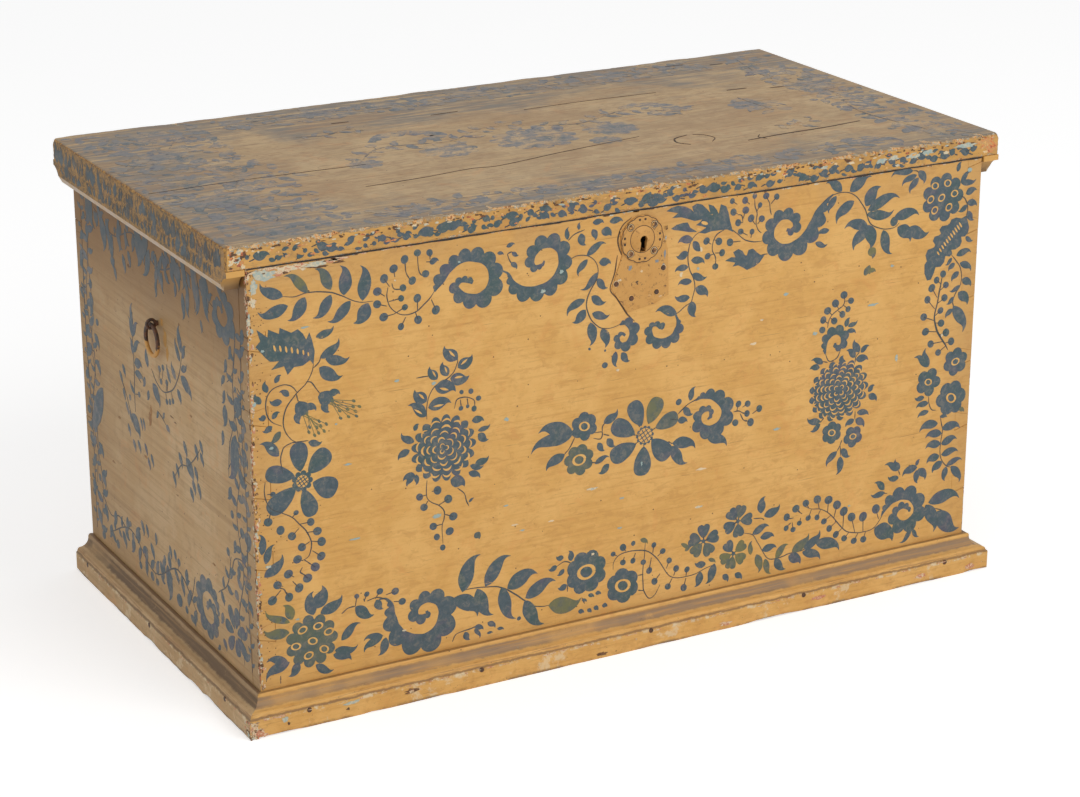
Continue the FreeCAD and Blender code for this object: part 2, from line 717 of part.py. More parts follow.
def make_escutcheon():
    """The round plate over the shield: a thin disc raised to a domed boss round the keyhole.

    Its rim is nailed at the diagonals and pierced by a pair of small holes between them.
    """
    body = new_body("keyhole_escutcheon")
    back = "-half_depth - sheet_thickness"
    face = f"{back} - sheet_thickness"
    dome = "(boss_radius^2 + boss_height^2) / (2 * boss_height)"
    sketch = new_sketch(body, "Section", "XY_Plane", "key_z")
    bind(sketch, "AttachmentOffset.Base.x", "lock_offset")
    draw_outline(sketch, [("0", back), ("0", f"{face} - boss_height"),
                          ("boss_radius", face, dome, 1),
                          ("rosette_radius", face), ("rosette_radius", back)])
    turned = body.newObject("PartDesign::Revolution", "Turned")
    turned.Profile = sketch
    turned.ReferenceAxis = (sketch, ["V_Axis"])
    doc.recompute()
    extrude(body, "Keyhole", "XZ_Plane", [key_outline()], f"{face} - 2 * boss_height", back, cut=True)
    punch_holes(body, "NailHoles", "XZ_Plane", rosette_places(45, "rosette_nail_radius"), face, back)
    for name, sign in (("PiercingsBefore", "-"), ("PiercingsAfter", "")):
        punch_holes(body, name, "XZ_Plane",
                    rosette_places(0, "pierced_radius", f"{sign}pierced_spread"), face, back,
                    "pierced_hole")
    return body


def lock_nail_places():
    """The middles of the lock plate's two side flanges, high and low, as (x, z)."""
    return [(f"lock_offset + {side} * (lock_width - lock_flange) / 2",
             f"lock_top - lock_height / 2 + {end} * lock_height / 3")
            for side in (-1, 1) for end in (-1, 1)]


def make_lock_plate():
    """The lock's back plate inside the front board, with two guides for the bolt."""
    body = new_body("lock_plate")
    half = "lock_width / 2"
    extrude(body, "Plate", "XZ_Plane",
            [rectangle(f"lock_offset - {half}", "lock_top - lock_height",
                       f"lock_offset + {half}", "lock_top")],
            "-inner_depth", "lock_back")
    extrude(body, "Keyhole", "XZ_Plane", [key_outline()], "-inner_depth", "lock_back", cut=True)
    # one guide near the nose of the drawn bolt, and one that its tail never leaves
    nose_guide = "bolt_nose - guide_width"
    tail_guide = "bolt_nose - bolt_length + bolt_throw"
    way_start, way_end = "bolt_y - bolt_clearance", "bolt_y + bolt_thickness + bolt_clearance"
    for name, start in (("NoseGuide", nose_guide), ("TailGuide", tail_guide)):
        outer = rectangle(start, "bolt_z - bolt_clearance - guide_wall",
                          f"{start} + guide_width", "bolt_top + bolt_clearance + guide_wall")
        inner = rectangle(start, "bolt_z - bolt_clearance", f"{start} + guide_width",
                          "bolt_top + bolt_clearance")
        extrude(body, name, "XZ_Plane", [outer], "lock_back", f"{way_end} + guide_wall")
        extrude(body, name + "Way", "XZ_Plane", [inner], way_start, way_end, cut=True)
    punch_holes(body, "NailHoles", "XZ_Plane", lock_nail_places(), "-inner_depth", "lock_back")
    return body


def make_lock_case():
    """The lock's sheet case: a box open towards its plate, slotted on top for the staple."""
    body = new_body("lock_case")
    half = "(lock_width / 2 - lock_flange)"
    low, top = "lock_top - lock_height + lock_flange", "lock_top"
    inside = "lock_back + lock_depth - lock_wall"
    extrude(body, "Box", "XZ_Plane",
            [rectangle(f"lock_offset - {half}", low, f"lock_offset + {half}", top)],
            "lock_back", "lock_back + lock_depth")
    extrude(body, "Hollow", "XZ_Plane",
            [rectangle(f"lock_offset - {half} + lock_wall", f"{low} + lock_wall",
                       f"lock_offset + {half} - lock_wall", f"{top} - lock_wall")],
            "lock_back", inside, cut=True)
    slot_half_x = "(staple_thickness / 2 + staple_side_gap)"
    extrude(body, "StapleSlot", "XY_Plane",
            [rectangle(f"staple_x - {slot_half_x}", "lock_back",
                       f"staple_x + {slot_half_x}", "staple_y + staple_width / 2 + staple_swing_gap")],
            f"{top} - lock_wall", top, cut=True)
    return body


def make_bolt():
    """The bolt, drawn back: a flat bar with a talon cut in its foot, which the key turns in."""
    body = new_body("lock_bolt")
    extrude(body, "Bar", "XZ_Plane",
            [rectangle("bolt_nose - bolt_length", "bolt_z", "bolt_nose", "bolt_top")],
            "bolt_y", "bolt_y + bolt_thickness")
    talon = "lock_offset - bolt_throw / 2"
    extrude(body, "Talon", "XZ_Plane",
            [rectangle(f"{talon} - talon_width / 2", "bolt_z", f"{talon} + talon_width / 2",
                       "bolt_z + bolt_height / 3")],
            "bolt_y", "bolt_y + bolt_thickness", cut=True)
    return body


def make_link_plate():
    """The plate under the lid, with the staple that the bolt shoots through."""
    body = new_body("lock_link_plate")
    plate_front = "staple_y - staple_width / 2"
    extrude(body, "Plate", "XY_Plane",
            [rectangle("staple_x - link_plate_length / 2", plate_front,
                       "staple_x + link_plate_length / 2", f"{plate_front} + link_plate_width")],
            "case_top - iron_thickness", "case_top")
    eye_low, eye_top = "bolt_z - eye_clearance", "bolt_top + eye_clearance"
    half_eye = "(bolt_thickness / 2 + eye_clearance)"
    span = ("staple_x - staple_thickness / 2", "staple_x + staple_thickness / 2")
    extrude(body, "Staple", "YZ_Plane",
            [rectangle(plate_front, f"{eye_low} - staple_foot", "staple_y + staple_width / 2",
                       "case_top - iron_thickness")], *span)
    extrude(body, "Eye", "YZ_Plane",
            [rectangle(f"staple_y - {half_eye}", eye_low, f"staple_y + {half_eye}", eye_top)],
            *span, cut=True)
    punch_holes(body, "NailHoles", "XY_Plane", link_nail_places(), "case_top - iron_thickness", "case_top")
    return body


def link_nail_places():
    """Near both ends of the link plate, as (x, y)."""
    return [(f"staple_x + {side} * link_plate_length * 0.4",
             "staple_y - staple_width / 2 + link_plate_width / 2") for side in (-1, 1)]


# --- ring handles ------------------------------------------------------------------------------

def make_eye(side):
    """A cotter eye: a loop, a shank through the end board, and two ends clinched inside."""
    label = "handle_eye_left" if side < 0 else "handle_eye_right"
    loop = bent_ring(label + "Loop", 16, "loop_radius", "eye_wire_radius",
                     (f"{side} * handle_x", "0", "eye_z"), "xz")
    shank = bar(label + "Shank", 8, "shank_radius", "handle_x - loop_radius - (shank_foot)",
                (f"{side} * shank_foot", "0", "eye_z"), "left" if side < 0 else "right")
    clinch_x = f"{side} * (half_length - board_thickness - eye_wire_radius * cos(22.5))"
    clinch = bar(label + "Clinch", 8, "eye_wire_radius", "2 * clinch_length",
                 (clinch_x, "-clinch_length", "eye_z"), "back")
    return fuse(label, [loop, shank, clinch])


def make_ring(side):
    """The ring, hanging by its own bar in the eye."""
    return bent_ring("handle_ring_left" if side < 0 else "handle_ring_right", 32, "ring_radius",
                     "ring_wire_radius", (f"{side} * handle_x", "0", "handle_height - ring_radius"),
                     "zy")


# --- nails -------------------------------------------------------------------------------------

def make_iron_nails():
    """The nails of the lock, its plates and the hinges, which leave the iron and enter the wood."""
    shield_face, rosette_face = "-half_depth - sheet_thickness", "-half_depth - 2 * sheet_thickness"
    strap_face = "case_top - iron_thickness"
    straps = strap_nail_places(-1) + strap_nail_places(1)
    leaves = leaf_nail_places(-1) + leaf_nail_places(1)
    return [make_nails("shield_nails", [(x, shield_face, z) for x, z in SHIELD_NAILS], "back"),
            make_nails("escutcheon_nails", [(x, rosette_face, z) for x, z
                                            in rosette_places(45, "rosette_nail_radius")], "back"),
            make_nails("lock_nails", [(x, "lock_back", z) for x, z in lock_nail_places()], "forward"),
            make_nails("link_plate_nails", [(x, y, strap_face) for x, y in link_nail_places()], "up"),
            make_nails("hinge_strap_nails", [(x, y, strap_face) for x, y in straps], "up"),
            make_nails("hinge_leaf_nails", [(x, "half_depth + iron_thickness", z) for x, z in leaves],
                       "forward")]


def make_wood_nails():
    """The long nails of the plinth, of the bottom boards and of the battens, driven home."""
    def driven(label, spots, drive):
        return make_nails(label, spots, drive, "long_nail_length", "driven_proud")

    plinth_z, wall_middle = "wall_foot - bottom_thickness / 2", "board_thickness / 2"
    across = [f"{share} * half_depth" for share in (-0.82, 0.05, 0.84)]
    front = [(f"{share} * half_length", "-half_depth - plinth_projection", plinth_z)
             for share in (-0.9, -0.45, 0.02, 0.47, 0.91)]
    front_wall = [(f"{share} * half_length", f"-half_depth + {wall_middle}", "bearer_height")
                  for share in (-0.7, -0.25, 0.2, 0.66)]
    nodes = [driven("plinth_front_nails", front, "back"),
             driven("bottom_nails_front", front_wall, "up")]
    for side, name, drive in ((-1, "left", "right"), (1, "right", "left")):
        flat = [(f"{side} * (half_length + plinth_projection)", y, plinth_z) for y in across]
        wall = [(f"{side} * (half_length - {wall_middle})", f"{share} * half_depth", "bearer_height")
                for share in (-0.5, -0.2, 0.25, 0.6)]
        foot = [(f"{side} * (half_length + lid_end_overhang / 2)", y, "case_top - batten_depth")
                for y in across]
        nodes += [driven(f"plinth_{name}_nails", flat, drive),
                  driven(f"bottom_nails_{name}", wall, "up"),
                  driven(f"batten_{name}_nails", foot, "up")]
    return nodes


# --- the whole chest ---------------------------------------------------------------------------

def make_chest():
    seam = "-lid_front + lid_front_width"
    pieces = [make_front_board(), make_back_board(), *make_bottom(), make_plinth_front(),
              make_lid_board("lid_board_front", "-lid_front", seam, "-lid_front"),
              make_lid_board("lid_board_rear", seam, "half_depth", "half_depth"),
              make_shield_plate(), make_escutcheon(), make_lock_plate(), make_lock_case(),
              make_bolt(), make_link_plate()]
    for side in (-1, 1):
        pieces += [make_end_board(side), make_plinth_side(side), make_batten(side),
                   make_hinge_strap(side), make_hinge_leaf(side), make_hinge_pin(side),
                   make_eye(side), make_ring(side)]
    return pieces + make_iron_nails() + make_wood_nails()


def check_and_write(pieces):
    """See that every object is sound, then write each piece under its own name."""
    doc.recompute()
    for item in doc.Objects:
        if "Invalid" in item.State or "Error" in item.State:
            raise RuntimeError(f"{item.Label} failed: {item.State}")
    for piece in pieces:
        if piece.Shape.isNull() or not piece.Shape.isValid() or not piece.Shape.Solids:
            raise RuntimeError(f"{piece.Label} has no sound solid")
    os.makedirs("parts", exist_ok=True)
    for piece in pieces:
        piece.Shape.exportStep(f"parts/{piece.Label}.step")
        print(f"{piece.Label}: {piece.Shape.Volume / 1000:.1f} cm3")


check_and_write(make_chest())
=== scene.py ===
"""A painted pine blanket chest: worn boards, moulded plinth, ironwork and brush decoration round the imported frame."""

import logging
import math
from dataclasses import dataclass, field
from enum import Enum
from typing import Callable, Dict, List, Optional, Sequence, Tuple, Union

import bmesh
import bpy
import numpy as np
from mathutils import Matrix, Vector

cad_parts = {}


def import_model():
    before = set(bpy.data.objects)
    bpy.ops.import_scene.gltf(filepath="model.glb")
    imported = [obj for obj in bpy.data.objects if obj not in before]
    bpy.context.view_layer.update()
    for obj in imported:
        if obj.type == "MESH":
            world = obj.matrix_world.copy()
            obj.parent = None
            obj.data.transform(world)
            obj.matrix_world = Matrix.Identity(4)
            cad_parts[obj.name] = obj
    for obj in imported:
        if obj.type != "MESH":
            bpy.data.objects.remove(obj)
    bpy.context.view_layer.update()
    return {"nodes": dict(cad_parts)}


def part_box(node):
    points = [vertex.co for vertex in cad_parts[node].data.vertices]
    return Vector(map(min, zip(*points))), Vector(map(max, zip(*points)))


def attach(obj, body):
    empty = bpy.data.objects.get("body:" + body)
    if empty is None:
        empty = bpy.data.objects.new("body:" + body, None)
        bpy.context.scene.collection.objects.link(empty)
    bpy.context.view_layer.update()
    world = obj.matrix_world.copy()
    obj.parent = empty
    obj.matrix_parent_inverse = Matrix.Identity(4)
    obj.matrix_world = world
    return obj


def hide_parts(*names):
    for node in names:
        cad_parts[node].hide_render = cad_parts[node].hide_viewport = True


LOG = logging.getLogger("blanket_chest")
MM = 0.001
MIDDLE = 0.00705
LID_REACH = 0.529
LEAST_REACH = 0.00001

Colour = Tuple[float, float, float, float]
Node = bpy.types.Node
Socket = bpy.types.NodeSocket
Value = Union[float, Socket]
Inputs = Dict[Union[int, str], object]
Sockets = Dict[str, Socket]
Coat = Tuple[Socket, Optional[Socket]]
Material = bpy.types.Material
Leaf = Tuple[float, ...]
Berry = Tuple[float, ...]
Points = Sequence[Tuple[float, ...]]


def srgb(red: int, green: int, blue: int) -> Colour:
    """Turns a paint colour given in 0 to 255 display steps into the linear colour that a shader takes.

    Args:
        red, green, blue: The display steps.

    Returns:
        The linear colour with full cover.
    """
    steps = np.array([red, green, blue]) / 255.0
    linear = np.where(steps <= 0.04045, steps / 12.92, ((steps + 0.055) / 1.055) ** 2.4)
    return (float(linear[0]), float(linear[1]), float(linear[2]), 1.0)


class Tint(Enum):
    """The paints and bare surfaces of the chest, and the colours of painted shade."""

    OCHRE = srgb(215, 163, 87)
    OCHRE_LIGHT = srgb(227, 177, 102)
    OCHRE_DEEP = srgb(194, 142, 74)
    ORANGE = srgb(222, 144, 80)
    TAN = srgb(192, 156, 108)
    # Painted shade high up and towards the rear of the ends, and grime round their edges.
    END_SHADE = srgb(122, 84, 34)
    TAN_LIGHT = srgb(204, 172, 128)
    TAN_DEEP = srgb(158, 124, 80)
    BACK_TAN = srgb(172, 136, 90)
    OLIVE_BROWN = srgb(112, 88, 48)
    EDGE_OCHRE = srgb(192, 144, 74)
    LID_TAN = srgb(182, 152, 110)
    LID_LIGHT = srgb(200, 170, 126)
    LID_STREAK = srgb(150, 116, 80)
    LID_GREY = srgb(116, 110, 102)
    SLATE = srgb(70, 86, 94)
    SLATE_VIOLET = srgb(82, 84, 98)
    SLATE_TEAL = srgb(62, 84, 86)
    SLATE_LIGHT = srgb(104, 120, 124)
    SLATE_DEEP = srgb(50, 62, 66)
    FADED = srgb(110, 110, 112)
    SAGE = srgb(108, 108, 70)
    PALE_BLUE = srgb(158, 176, 170)
    BLUE_GREY = srgb(132, 138, 140)
    CREAM = srgb(226, 204, 166)
    RED_LEAD = srgb(190, 104, 72)
    BROWN = srgb(92, 64, 40)
    DARK = srgb(48, 34, 22)
    # Black for painted shade: inside the keyhole and in the gap under the lid.
    SOOT = srgb(14, 11, 9)
    # The plinth's cove: painted shade with grime.
    COVE = srgb(148, 120, 90)
    COVE_SHADE = srgb(104, 80, 52)
    STRIP = srgb(204, 186, 170)
    PINE = srgb(188, 146, 98)
    PINE_DARK = srgb(142, 100, 62)
    IRON = srgb(64, 50, 42)
    RUST = srgb(104, 66, 42)
    IRON_OCHRE = srgb(202, 151, 82)


Tints = Tuple[Tint, Tint, Tint]


# ---------------------------------------------------------------- shapes


def smooth_path(points: Points, steps_between: int = 8) -> np.ndarray:
    """Draws a smooth line through control points (a cubic that passes each point with the slope of its neighbours).

    Args:
        points: The control points; every column is carried along, so widths may ride with places.
        steps_between: Stations between two control points.

    Returns:
        The stations as rows.
    """
    p = np.asarray(points, float)
    if len(p) < 3:
        t = np.linspace(0, 1, steps_between + 1)[:, None]
        return p[0] + (p[-1] - p[0]) * t
    padded = np.vstack([2 * p[0] - p[1], p, 2 * p[-1] - p[-2]])
    s = np.linspace(0, len(p) - 1, (len(p) - 1) * steps_between + 1)
    i = np.minimum(s.astype(int), len(p) - 2)
    t = (s - i)[:, None]
    a, b, c, d = padded[i], padded[i + 1], padded[i + 2], padded[i + 3]
    return 0.5 * (2 * b + (c - a) * t + (2 * a - 5 * b + 4 * c - d) * t**2 + (3 * b - a - 3 * c + d) * t**3)


def sideways(path: np.ndarray) -> Tuple[np.ndarray, np.ndarray]:
    """Gives the unit direction along a flat path and the unit direction to its left, at each station.

    Args:
        path: Stations as rows of two.

    Returns:
        The directions along and to the left.
    """
    along = np.gradient(path, axis=0)
    along /= np.maximum(np.linalg.norm(along, axis=1, keepdims=True), 1e-9)
    return along, np.stack([-along[:, 1], along[:, 0]], axis=1)


@dataclass(frozen=True)
class Panel:
    """A flat face of the chest: where its zero lies, which ways it runs, and the body it belongs to.

    Places on it are in millimetres: u along, v up, and h out of the face.
    """

    zero: Tuple[float, float, float]
    along: Tuple[float, float, float]
    up: Tuple[float, float, float]
    body: str

    def place(self, u: np.ndarray, v: np.ndarray, h: np.ndarray) -> np.ndarray:
        """Zero plus u times along plus v times up plus h times their cross product, in metres.

        Args:
            u, v, h: Arrays of one shape, in millimetres.

        Returns:
            The same shape with a last axis of three.
        """
        along, up = np.array(self.along), np.array(self.up)
        flat = u[..., None] * along + v[..., None] * up + h[..., None] * np.cross(along, up)
        return np.array(self.zero) + flat * MM


def front_panel(y: float, body: str) -> Panel:
    """A panel on a face that looks to the front."""
    return Panel((0.0, y, 0.0), (1, 0, 0), (0, 0, 1), body)


def top_panel(z: float) -> Panel:
    """The panel on the lid's top."""
    return Panel((0.0, MIDDLE, z), (1, 0, 0), (0, 1, 0), "lid")


@dataclass
class Strokes:
    """Brush strokes on one panel, gathered into one mesh of thin closed solids."""

    panel: Panel
    low: float = -0.10
    high: float = 0.12
    rng: np.random.Generator = field(default_factory=lambda: np.random.default_rng(7))
    places: List[np.ndarray] = field(default_factory=list)
    faces: List[List[int]] = field(default_factory=list)
    tones: List[np.ndarray] = field(default_factory=list)
    count: int = 0
    level: int = 0
    levels: int = 73
    taken: Dict[int, List[Tuple[float, float, float, float]]] = field(default_factory=dict)

    def _top(self, u: np.ndarray, v: np.ndarray) -> float:
        """The next stroke's top, on the first level from the last one on where no other stroke is near it.

        Args:
            u, v: The stroke's points.

        Returns:
            The height in millimetres; no two strokes that overlap lie in one plane.
        """
        box = (u.min(), v.min(), u.max(), v.max())
        while True:
            self.level = (self.level + 1) % self.levels
            others = self.taken.setdefault(self.level, [])
            if not any(o[0] < box[2] and box[0] < o[2] and o[1] < box[3] and box[1] < o[3] for o in others):
                others.append(box)
                return self.high + 0.002 * self.level

    def _keep(self, places: np.ndarray, faces: np.ndarray, tone: float) -> None:
        """Adds points and faces to the pile, the faces counted from its first free number."""
        rows = places.reshape(-1, 3)
        self.places.append(rows)
        self.faces.extend((faces + self.count).tolist())
        self.tones.append(np.full(len(rows), tone))
        self.count += len(rows)

    def band(self, left: np.ndarray, right: np.ndarray, tone: float = 0.0) -> None:
        """Lays a solid band between two edges: at each station a four-cornered section, carried along and closed.

        Args:
            left, right: The edges as rows of two, in panel millimetres.
            tone: 0 for the main paint, 1 for the second one.
        """
        n = len(left)
        u = np.stack([left[:, 0], left[:, 0], right[:, 0], right[:, 0]], axis=1)
        v = np.stack([left[:, 1], left[:, 1], right[:, 1], right[:, 1]], axis=1)
        top = self._top(u, v)
        h = np.broadcast_to([self.low, top, top, self.low], (n, 4))
        first = (np.arange(n - 1)[:, None] * 4 + np.arange(4)[None, :]).ravel()
        after = (np.arange(n - 1)[:, None] * 4 + (np.arange(4)[None, :] + 1) % 4).ravel()
        walls = np.stack([first, after, after + 4, first + 4], axis=1)
        ends = np.array([[0, 3, 2, 1], [4 * n - 4, 4 * n - 3, 4 * n - 2, 4 * n - 1]])
        self._keep(self.panel.place(u, v, h), np.vstack([walls, ends]), tone)

    def outline(self, rim: np.ndarray, tone: float = 0.0) -> None:
        """Lays a solid flat cake with a free rim: one face on top, one below, and a wall between them.

        Args:
            rim: The rim as rows of two, not repeated; it is turned counter-clockwise by the sign of its area.
            tone: 0 for the main paint, 1 for the second one.
        """
        u, v = rim[:, 0], rim[:, 1]
        if np.sum(u * np.roll(v, -1) - v * np.roll(u, -1)) < 0:
            u, v = u[::-1], v[::-1]
        n = len(u)
        h = np.concatenate([np.full(n, self._top(u, v)), np.full(n, self.low)])
        here, after = np.arange(n), (np.arange(n) + 1) % n
        start = self.count
        walls = np.stack([here, here + n, after + n, after], axis=1)
        self._keep(self.panel.place(np.tile(u, 2), np.tile(v, 2), h), walls, tone)
        self.faces.append((here + start).tolist())
        self.faces.append((here[::-1] + n + start).tolist())

    def ribbon(self, path: np.ndarray, left: np.ndarray, right: np.ndarray, tone: float = 0.0) -> None:
        """Lays a band round a path, from its half-widths to the left and to the right."""
        _, out = sideways(path)
        phase = self.rng.uniform(0, 6, 2)
        run = np.concatenate([[0], np.cumsum(np.linalg.norm(np.diff(path, axis=0), axis=1))])
        hand = 0.14 * np.sin(run / 2.9 + phase[0]) + 0.1 * np.sin(run / 5.3 + phase[1])
        hand = hand * np.clip(np.minimum(left, right) / 1.2, 0, 1)
        self.band(path + out * (left + hand)[:, None], path - out * (right - hand)[:, None], tone)

    def mesh(self, name: str, material: Material, slot: str) -> None:
        """Makes one object of all strokes, riding on the panel's body.

        Args:
            name: The piece's name.
            material: Its paint.
            slot: The record's material slot.
        """
        data = bpy.data.meshes.new(name)
        data.from_pydata(np.concatenate(self.places).tolist(), [], self.faces)
        tone = data.attributes.new("tone", "FLOAT", "POINT")
        tone.data.foreach_set("value", np.concatenate(self.tones).astype(np.float32))
        finish_piece(name, data, material, self.panel.body, slot)


# ---------------------------------------------------------------- motifs


@dataclass
class Brush:
    """The painter's motifs, each laid with the main paint and, where it has light lines, with the line paint."""

    paint: Strokes
    lines: Strokes

    def leaf(self, leaf: Leaf) -> None:
        """A leaf in one press of the brush: a full body and a thin tail that is flicked off.

        Its middle line is the chord pushed sideways by a sine and by t^2 - t^6, which turns the tail; its half-width
        goes as t to the 0.85 times (1 - t) to the 1.25.

        Args:
            leaf: Base u, v, tip u, v, full width, bend in hundredths of the length, and a tone if not 0.
        """
        u0, v0, u1, v1, width, bend = leaf[:6]
        tone = leaf[6] if len(leaf) > 6 else 0.0
        t = np.linspace(0, 1, 17)
        chord = np.array([u1 - u0, v1 - v0])
        side = np.array([-chord[1], chord[0]])
        push = 0.35 * bend / 100 * np.sin(math.pi * t) + math.copysign(0.3, bend) * (t**2 - t**6)
        path = np.array([u0, v0]) + chord * t[:, None] + side * push[:, None]
        half = t**0.85 * (1 - t) ** 1.25
        half = half / half.max() * width / 2 + 0.2
        belly = 1 + 0.08 * np.sign(bend)
        self.paint.ribbon(path, half * belly, half * (2 - belly), tone)

    def stem(self, points: Points, width: float = 1.1, tone: float = 0.0) -> None:
        """A stem drawn with the brush's tip: a smooth line whose width swells and thins a little on the way."""
        path = smooth_path(points, 7)
        phase = self.paint.rng.uniform(0, 6)
        t = np.linspace(0, 1, len(path))
        half = 1.18 * width / 2 * (1 + 0.2 * np.sin(phase + 9 * t)) * np.clip(0.45 + 4 * np.minimum(t, 1 - t), 0, 1)
        self.paint.ribbon(path, half, half, tone or -0.5)

    def berry(self, berry: Berry, tone: float = 0.0) -> None:
        """A round berry, a little drawn out along its stalk, with the stalk to the stem where it has one.

        Args:
            berry: Middle u, v, radius, and the far end of the stalk if there is one.
            tone: 0 for the main paint, 1 for the second one.
        """
        u, v, radius = berry[:3]
        angle = np.linspace(0, 2 * math.pi, 14, endpoint=False)
        wobble = 1 + 0.05 * np.sin(2 * angle + self.paint.rng.uniform(0, 6))
        rim = np.stack([u + radius * wobble * np.cos(angle), v + radius * wobble * np.sin(angle)], axis=1)
        self.paint.outline(rim, tone)
        if len(berry) > 3:
            path = smooth_path([(u, v), (berry[3], berry[4])], 3)
            half = np.linspace(0.75, 0.45, len(path))
            self.paint.ribbon(path, half, half, tone or -0.5)

    def dot(self, u: float, v: float, radius: float, long: float = 1.0, turn: float = 0.0) -> None:
        """A small touch of the line paint, round or drawn out by a factor along a turned axis."""
        angle = np.linspace(0, 2 * math.pi, 10, endpoint=False)
        x, y = radius * long * np.cos(angle), radius * np.sin(angle)
        c, s = math.cos(turn), math.sin(turn)
        self.lines.outline(np.stack([u + c * x - s * y, v + s * x + c * y], axis=1))

    def scroll(self, points: Points, outer: int, tone: float = 0.0) -> None:
        """A scroll blossom: a band that rolls up, smooth inside, its outer edge in round lobes.

        The outer half-width is the band's own times 0.4 + 0.88 |sin|^0.72 of the way run, one lobe to each 2.1 half-widths.

        Args:
            points: Control points u, v, half-width.
            outer: 1 when the lobes are to the left of the way it runs, -1 to the right.
            tone: 0 for the main paint, 1 for the second one.
        """
        way = smooth_path(points, 24)
        path, half = way[:, :2], np.maximum(way[:, 2], 0.4)
        run = np.concatenate([[0], np.linalg.norm(np.diff(path, axis=0), axis=1)])
        phase = np.cumsum(run / (2.1 * np.maximum(half, 3.4))) * math.pi
        lobes = half * (0.4 + 0.88 * np.abs(np.sin(phase)) ** 0.72)
        lobed = np.where(half > 2.2, lobes, half)
        left, right = (lobed, half) if outer > 0 else (half, lobed)
        self.paint.ribbon(path, left, right, tone)

    def cut_leaf(self, rim: Points, bars: Sequence[Tuple[float, ...]] = ()) -> None:
        """A cut leaf with pointed lobes and light bars on it.

        Args:
            rim: Its outline's corners.
            bars: Middle u, v, half-length, half-width and turn in degrees of each light bar.
        """
        self.paint.outline(np.asarray(rim, float))
        for u, v, long, wide, turn in bars:
            self.dot(u, v, wide, long / wide, math.radians(turn))

    def rosette(self, u: float, v: float, radius: float, lobes: int, tone: float = 0.0, squash: float = 1.0) -> None:
        """A round head with a scalloped rim: radius times 0.8 + 0.22 |cos| of half the lobes' angle."""
        angle = np.linspace(0, 2 * math.pi, lobes * 8, endpoint=False)
        reach = radius * (0.8 + 0.22 * np.abs(np.cos(angle * lobes / 2)) ** 0.65)
        rim = np.stack([u + reach * np.cos(angle), v + squash * reach * np.sin(angle)], axis=1)
        self.paint.outline(rim, tone)

    def eye(self, u: float, v: float, radius: float, squash: float = 0.8, turn: float = 0.0) -> None:
        """A light ring round a dark middle, laid in the line paint."""
        angle = np.linspace(0, 2 * math.pi, 19)
        x, y = radius * np.cos(angle), radius * squash * np.sin(angle)
        c, s = math.cos(turn), math.sin(turn)
        path = np.stack([u + c * x - s * y, v + s * x + c * y], axis=1)
        half = radius * 0.17 * (1 + 0.3 * np.sin(2 * angle + 1))
        self.lines.ribbon(path, half, half)

    def eyed_flower(self, flower: Tuple[float, ...]) -> None:
        """A small flower of round petals with a light eye.

        Args:
            flower: Middle u, v, radius, petals, first petal's angle in degrees, eye radius, and a tone if not 0.
        """
        u, v, radius, petals, first, eye = flower[:6]
        tone = flower[6] if len(flower) > 6 else 0.0
        turns = np.radians(first + 360 / petals * np.arange(int(petals)))
        reach = radius * 0.36 if petals > 6 else radius * 0.42
        for turn in turns:
            middle = radius - reach
            self.berry((u + middle * math.cos(turn), v + middle * math.sin(turn), reach), tone)
        self.berry((u, v, radius * 0.62), tone)
        self.eye(u, v, eye, 0.78, self.lines.rng.uniform(-0.6, 0.6))

    def petal(self, petal: Leaf, tone: float = 0.0) -> None:
        """A broad petal, narrow at the base and full and round near its end: half-width by t to the 0.75 (1 - t) to the 0.42."""
        u0, v0, u1, v1, width = petal[:5]
        t = np.concatenate([np.linspace(0, 0.85, 12), [0.9, 0.94, 0.97, 0.99, 1.0]])
        path = np.array([u0, v0]) + np.array([u1 - u0, v1 - v0]) * t[:, None]
        half = t**0.8 * (1 - t) ** 0.42
        half = half / half.max() * width / 2 + 0.25
        self.paint.ribbon(path, half, half, tone)

    def heart(self, u: float, v: float, turn: float, size: float, tone: float = 0.0) -> None:
        """A heart petal: two petals from one foot, spread to both sides of the way it points."""
        for spread in (-0.28, 0.28):
            tip = (u + size * math.cos(turn + spread), v + size * math.sin(turn + spread))
            self.petal((u, v, tip[0], tip[1], size * 0.52), tone)

    def heart_flower(self, u: float, v: float, size: float, turns: Sequence[float], tones: Sequence[float]) -> None:
        """Heart petals round a middle, each started a little way out, with a small dark middle."""
        for degrees, tone in zip(turns, tones):
            turn = math.radians(degrees)
            self.heart(u + 4 * math.cos(turn), v + 4 * math.sin(turn), turn, size, tone)
            self.stem([(u, v), (u + 8 * math.cos(turn), v + 8 * math.sin(turn))], 1.6, tone)
        self.berry((u, v, 2.6))

    def cabbage(self, u: float, v: float, wide: float, tall: float, rings: Sequence[Tuple[float, int, float]]) -> None:
        """A full-blown head: a scalloped cake with rings of light crescents, each ring set half a step round.

        A crescent is a piece of a small circle that bulges outwards, thick in its middle and thin at its ends.

        Args:
            u, v: Its middle.
            wide, tall: Half its width and half its height.
            rings: For each ring the share of the radius, the number of crescents, and their thickness.
        """
        self.rosette(u, v, wide, 17, squash=tall / wide)
        for k, (share, number, thick) in enumerate(rings):
            for turn in (np.arange(number) + 0.5 * (k % 2)) * 2 * math.pi / number:
                spread = math.pi / number * self.lines.rng.uniform(0.62, 0.84)
                t = np.linspace(-1, 1, 9)
                angle = turn + spread * t + self.lines.rng.uniform(-0.04, 0.04)
                bulge = share + 0.075 * (1 - t**2) * self.lines.rng.uniform(0.7, 1.2)
                path = np.stack([u + wide * bulge * np.cos(angle), v + tall * bulge * np.sin(angle)], axis=1)
                half = thick / 2 * (0.25 + 0.9 * (1 - t**2)) * self.lines.rng.uniform(0.7, 1.15)
                self.lines.ribbon(path[::-1], half, half)

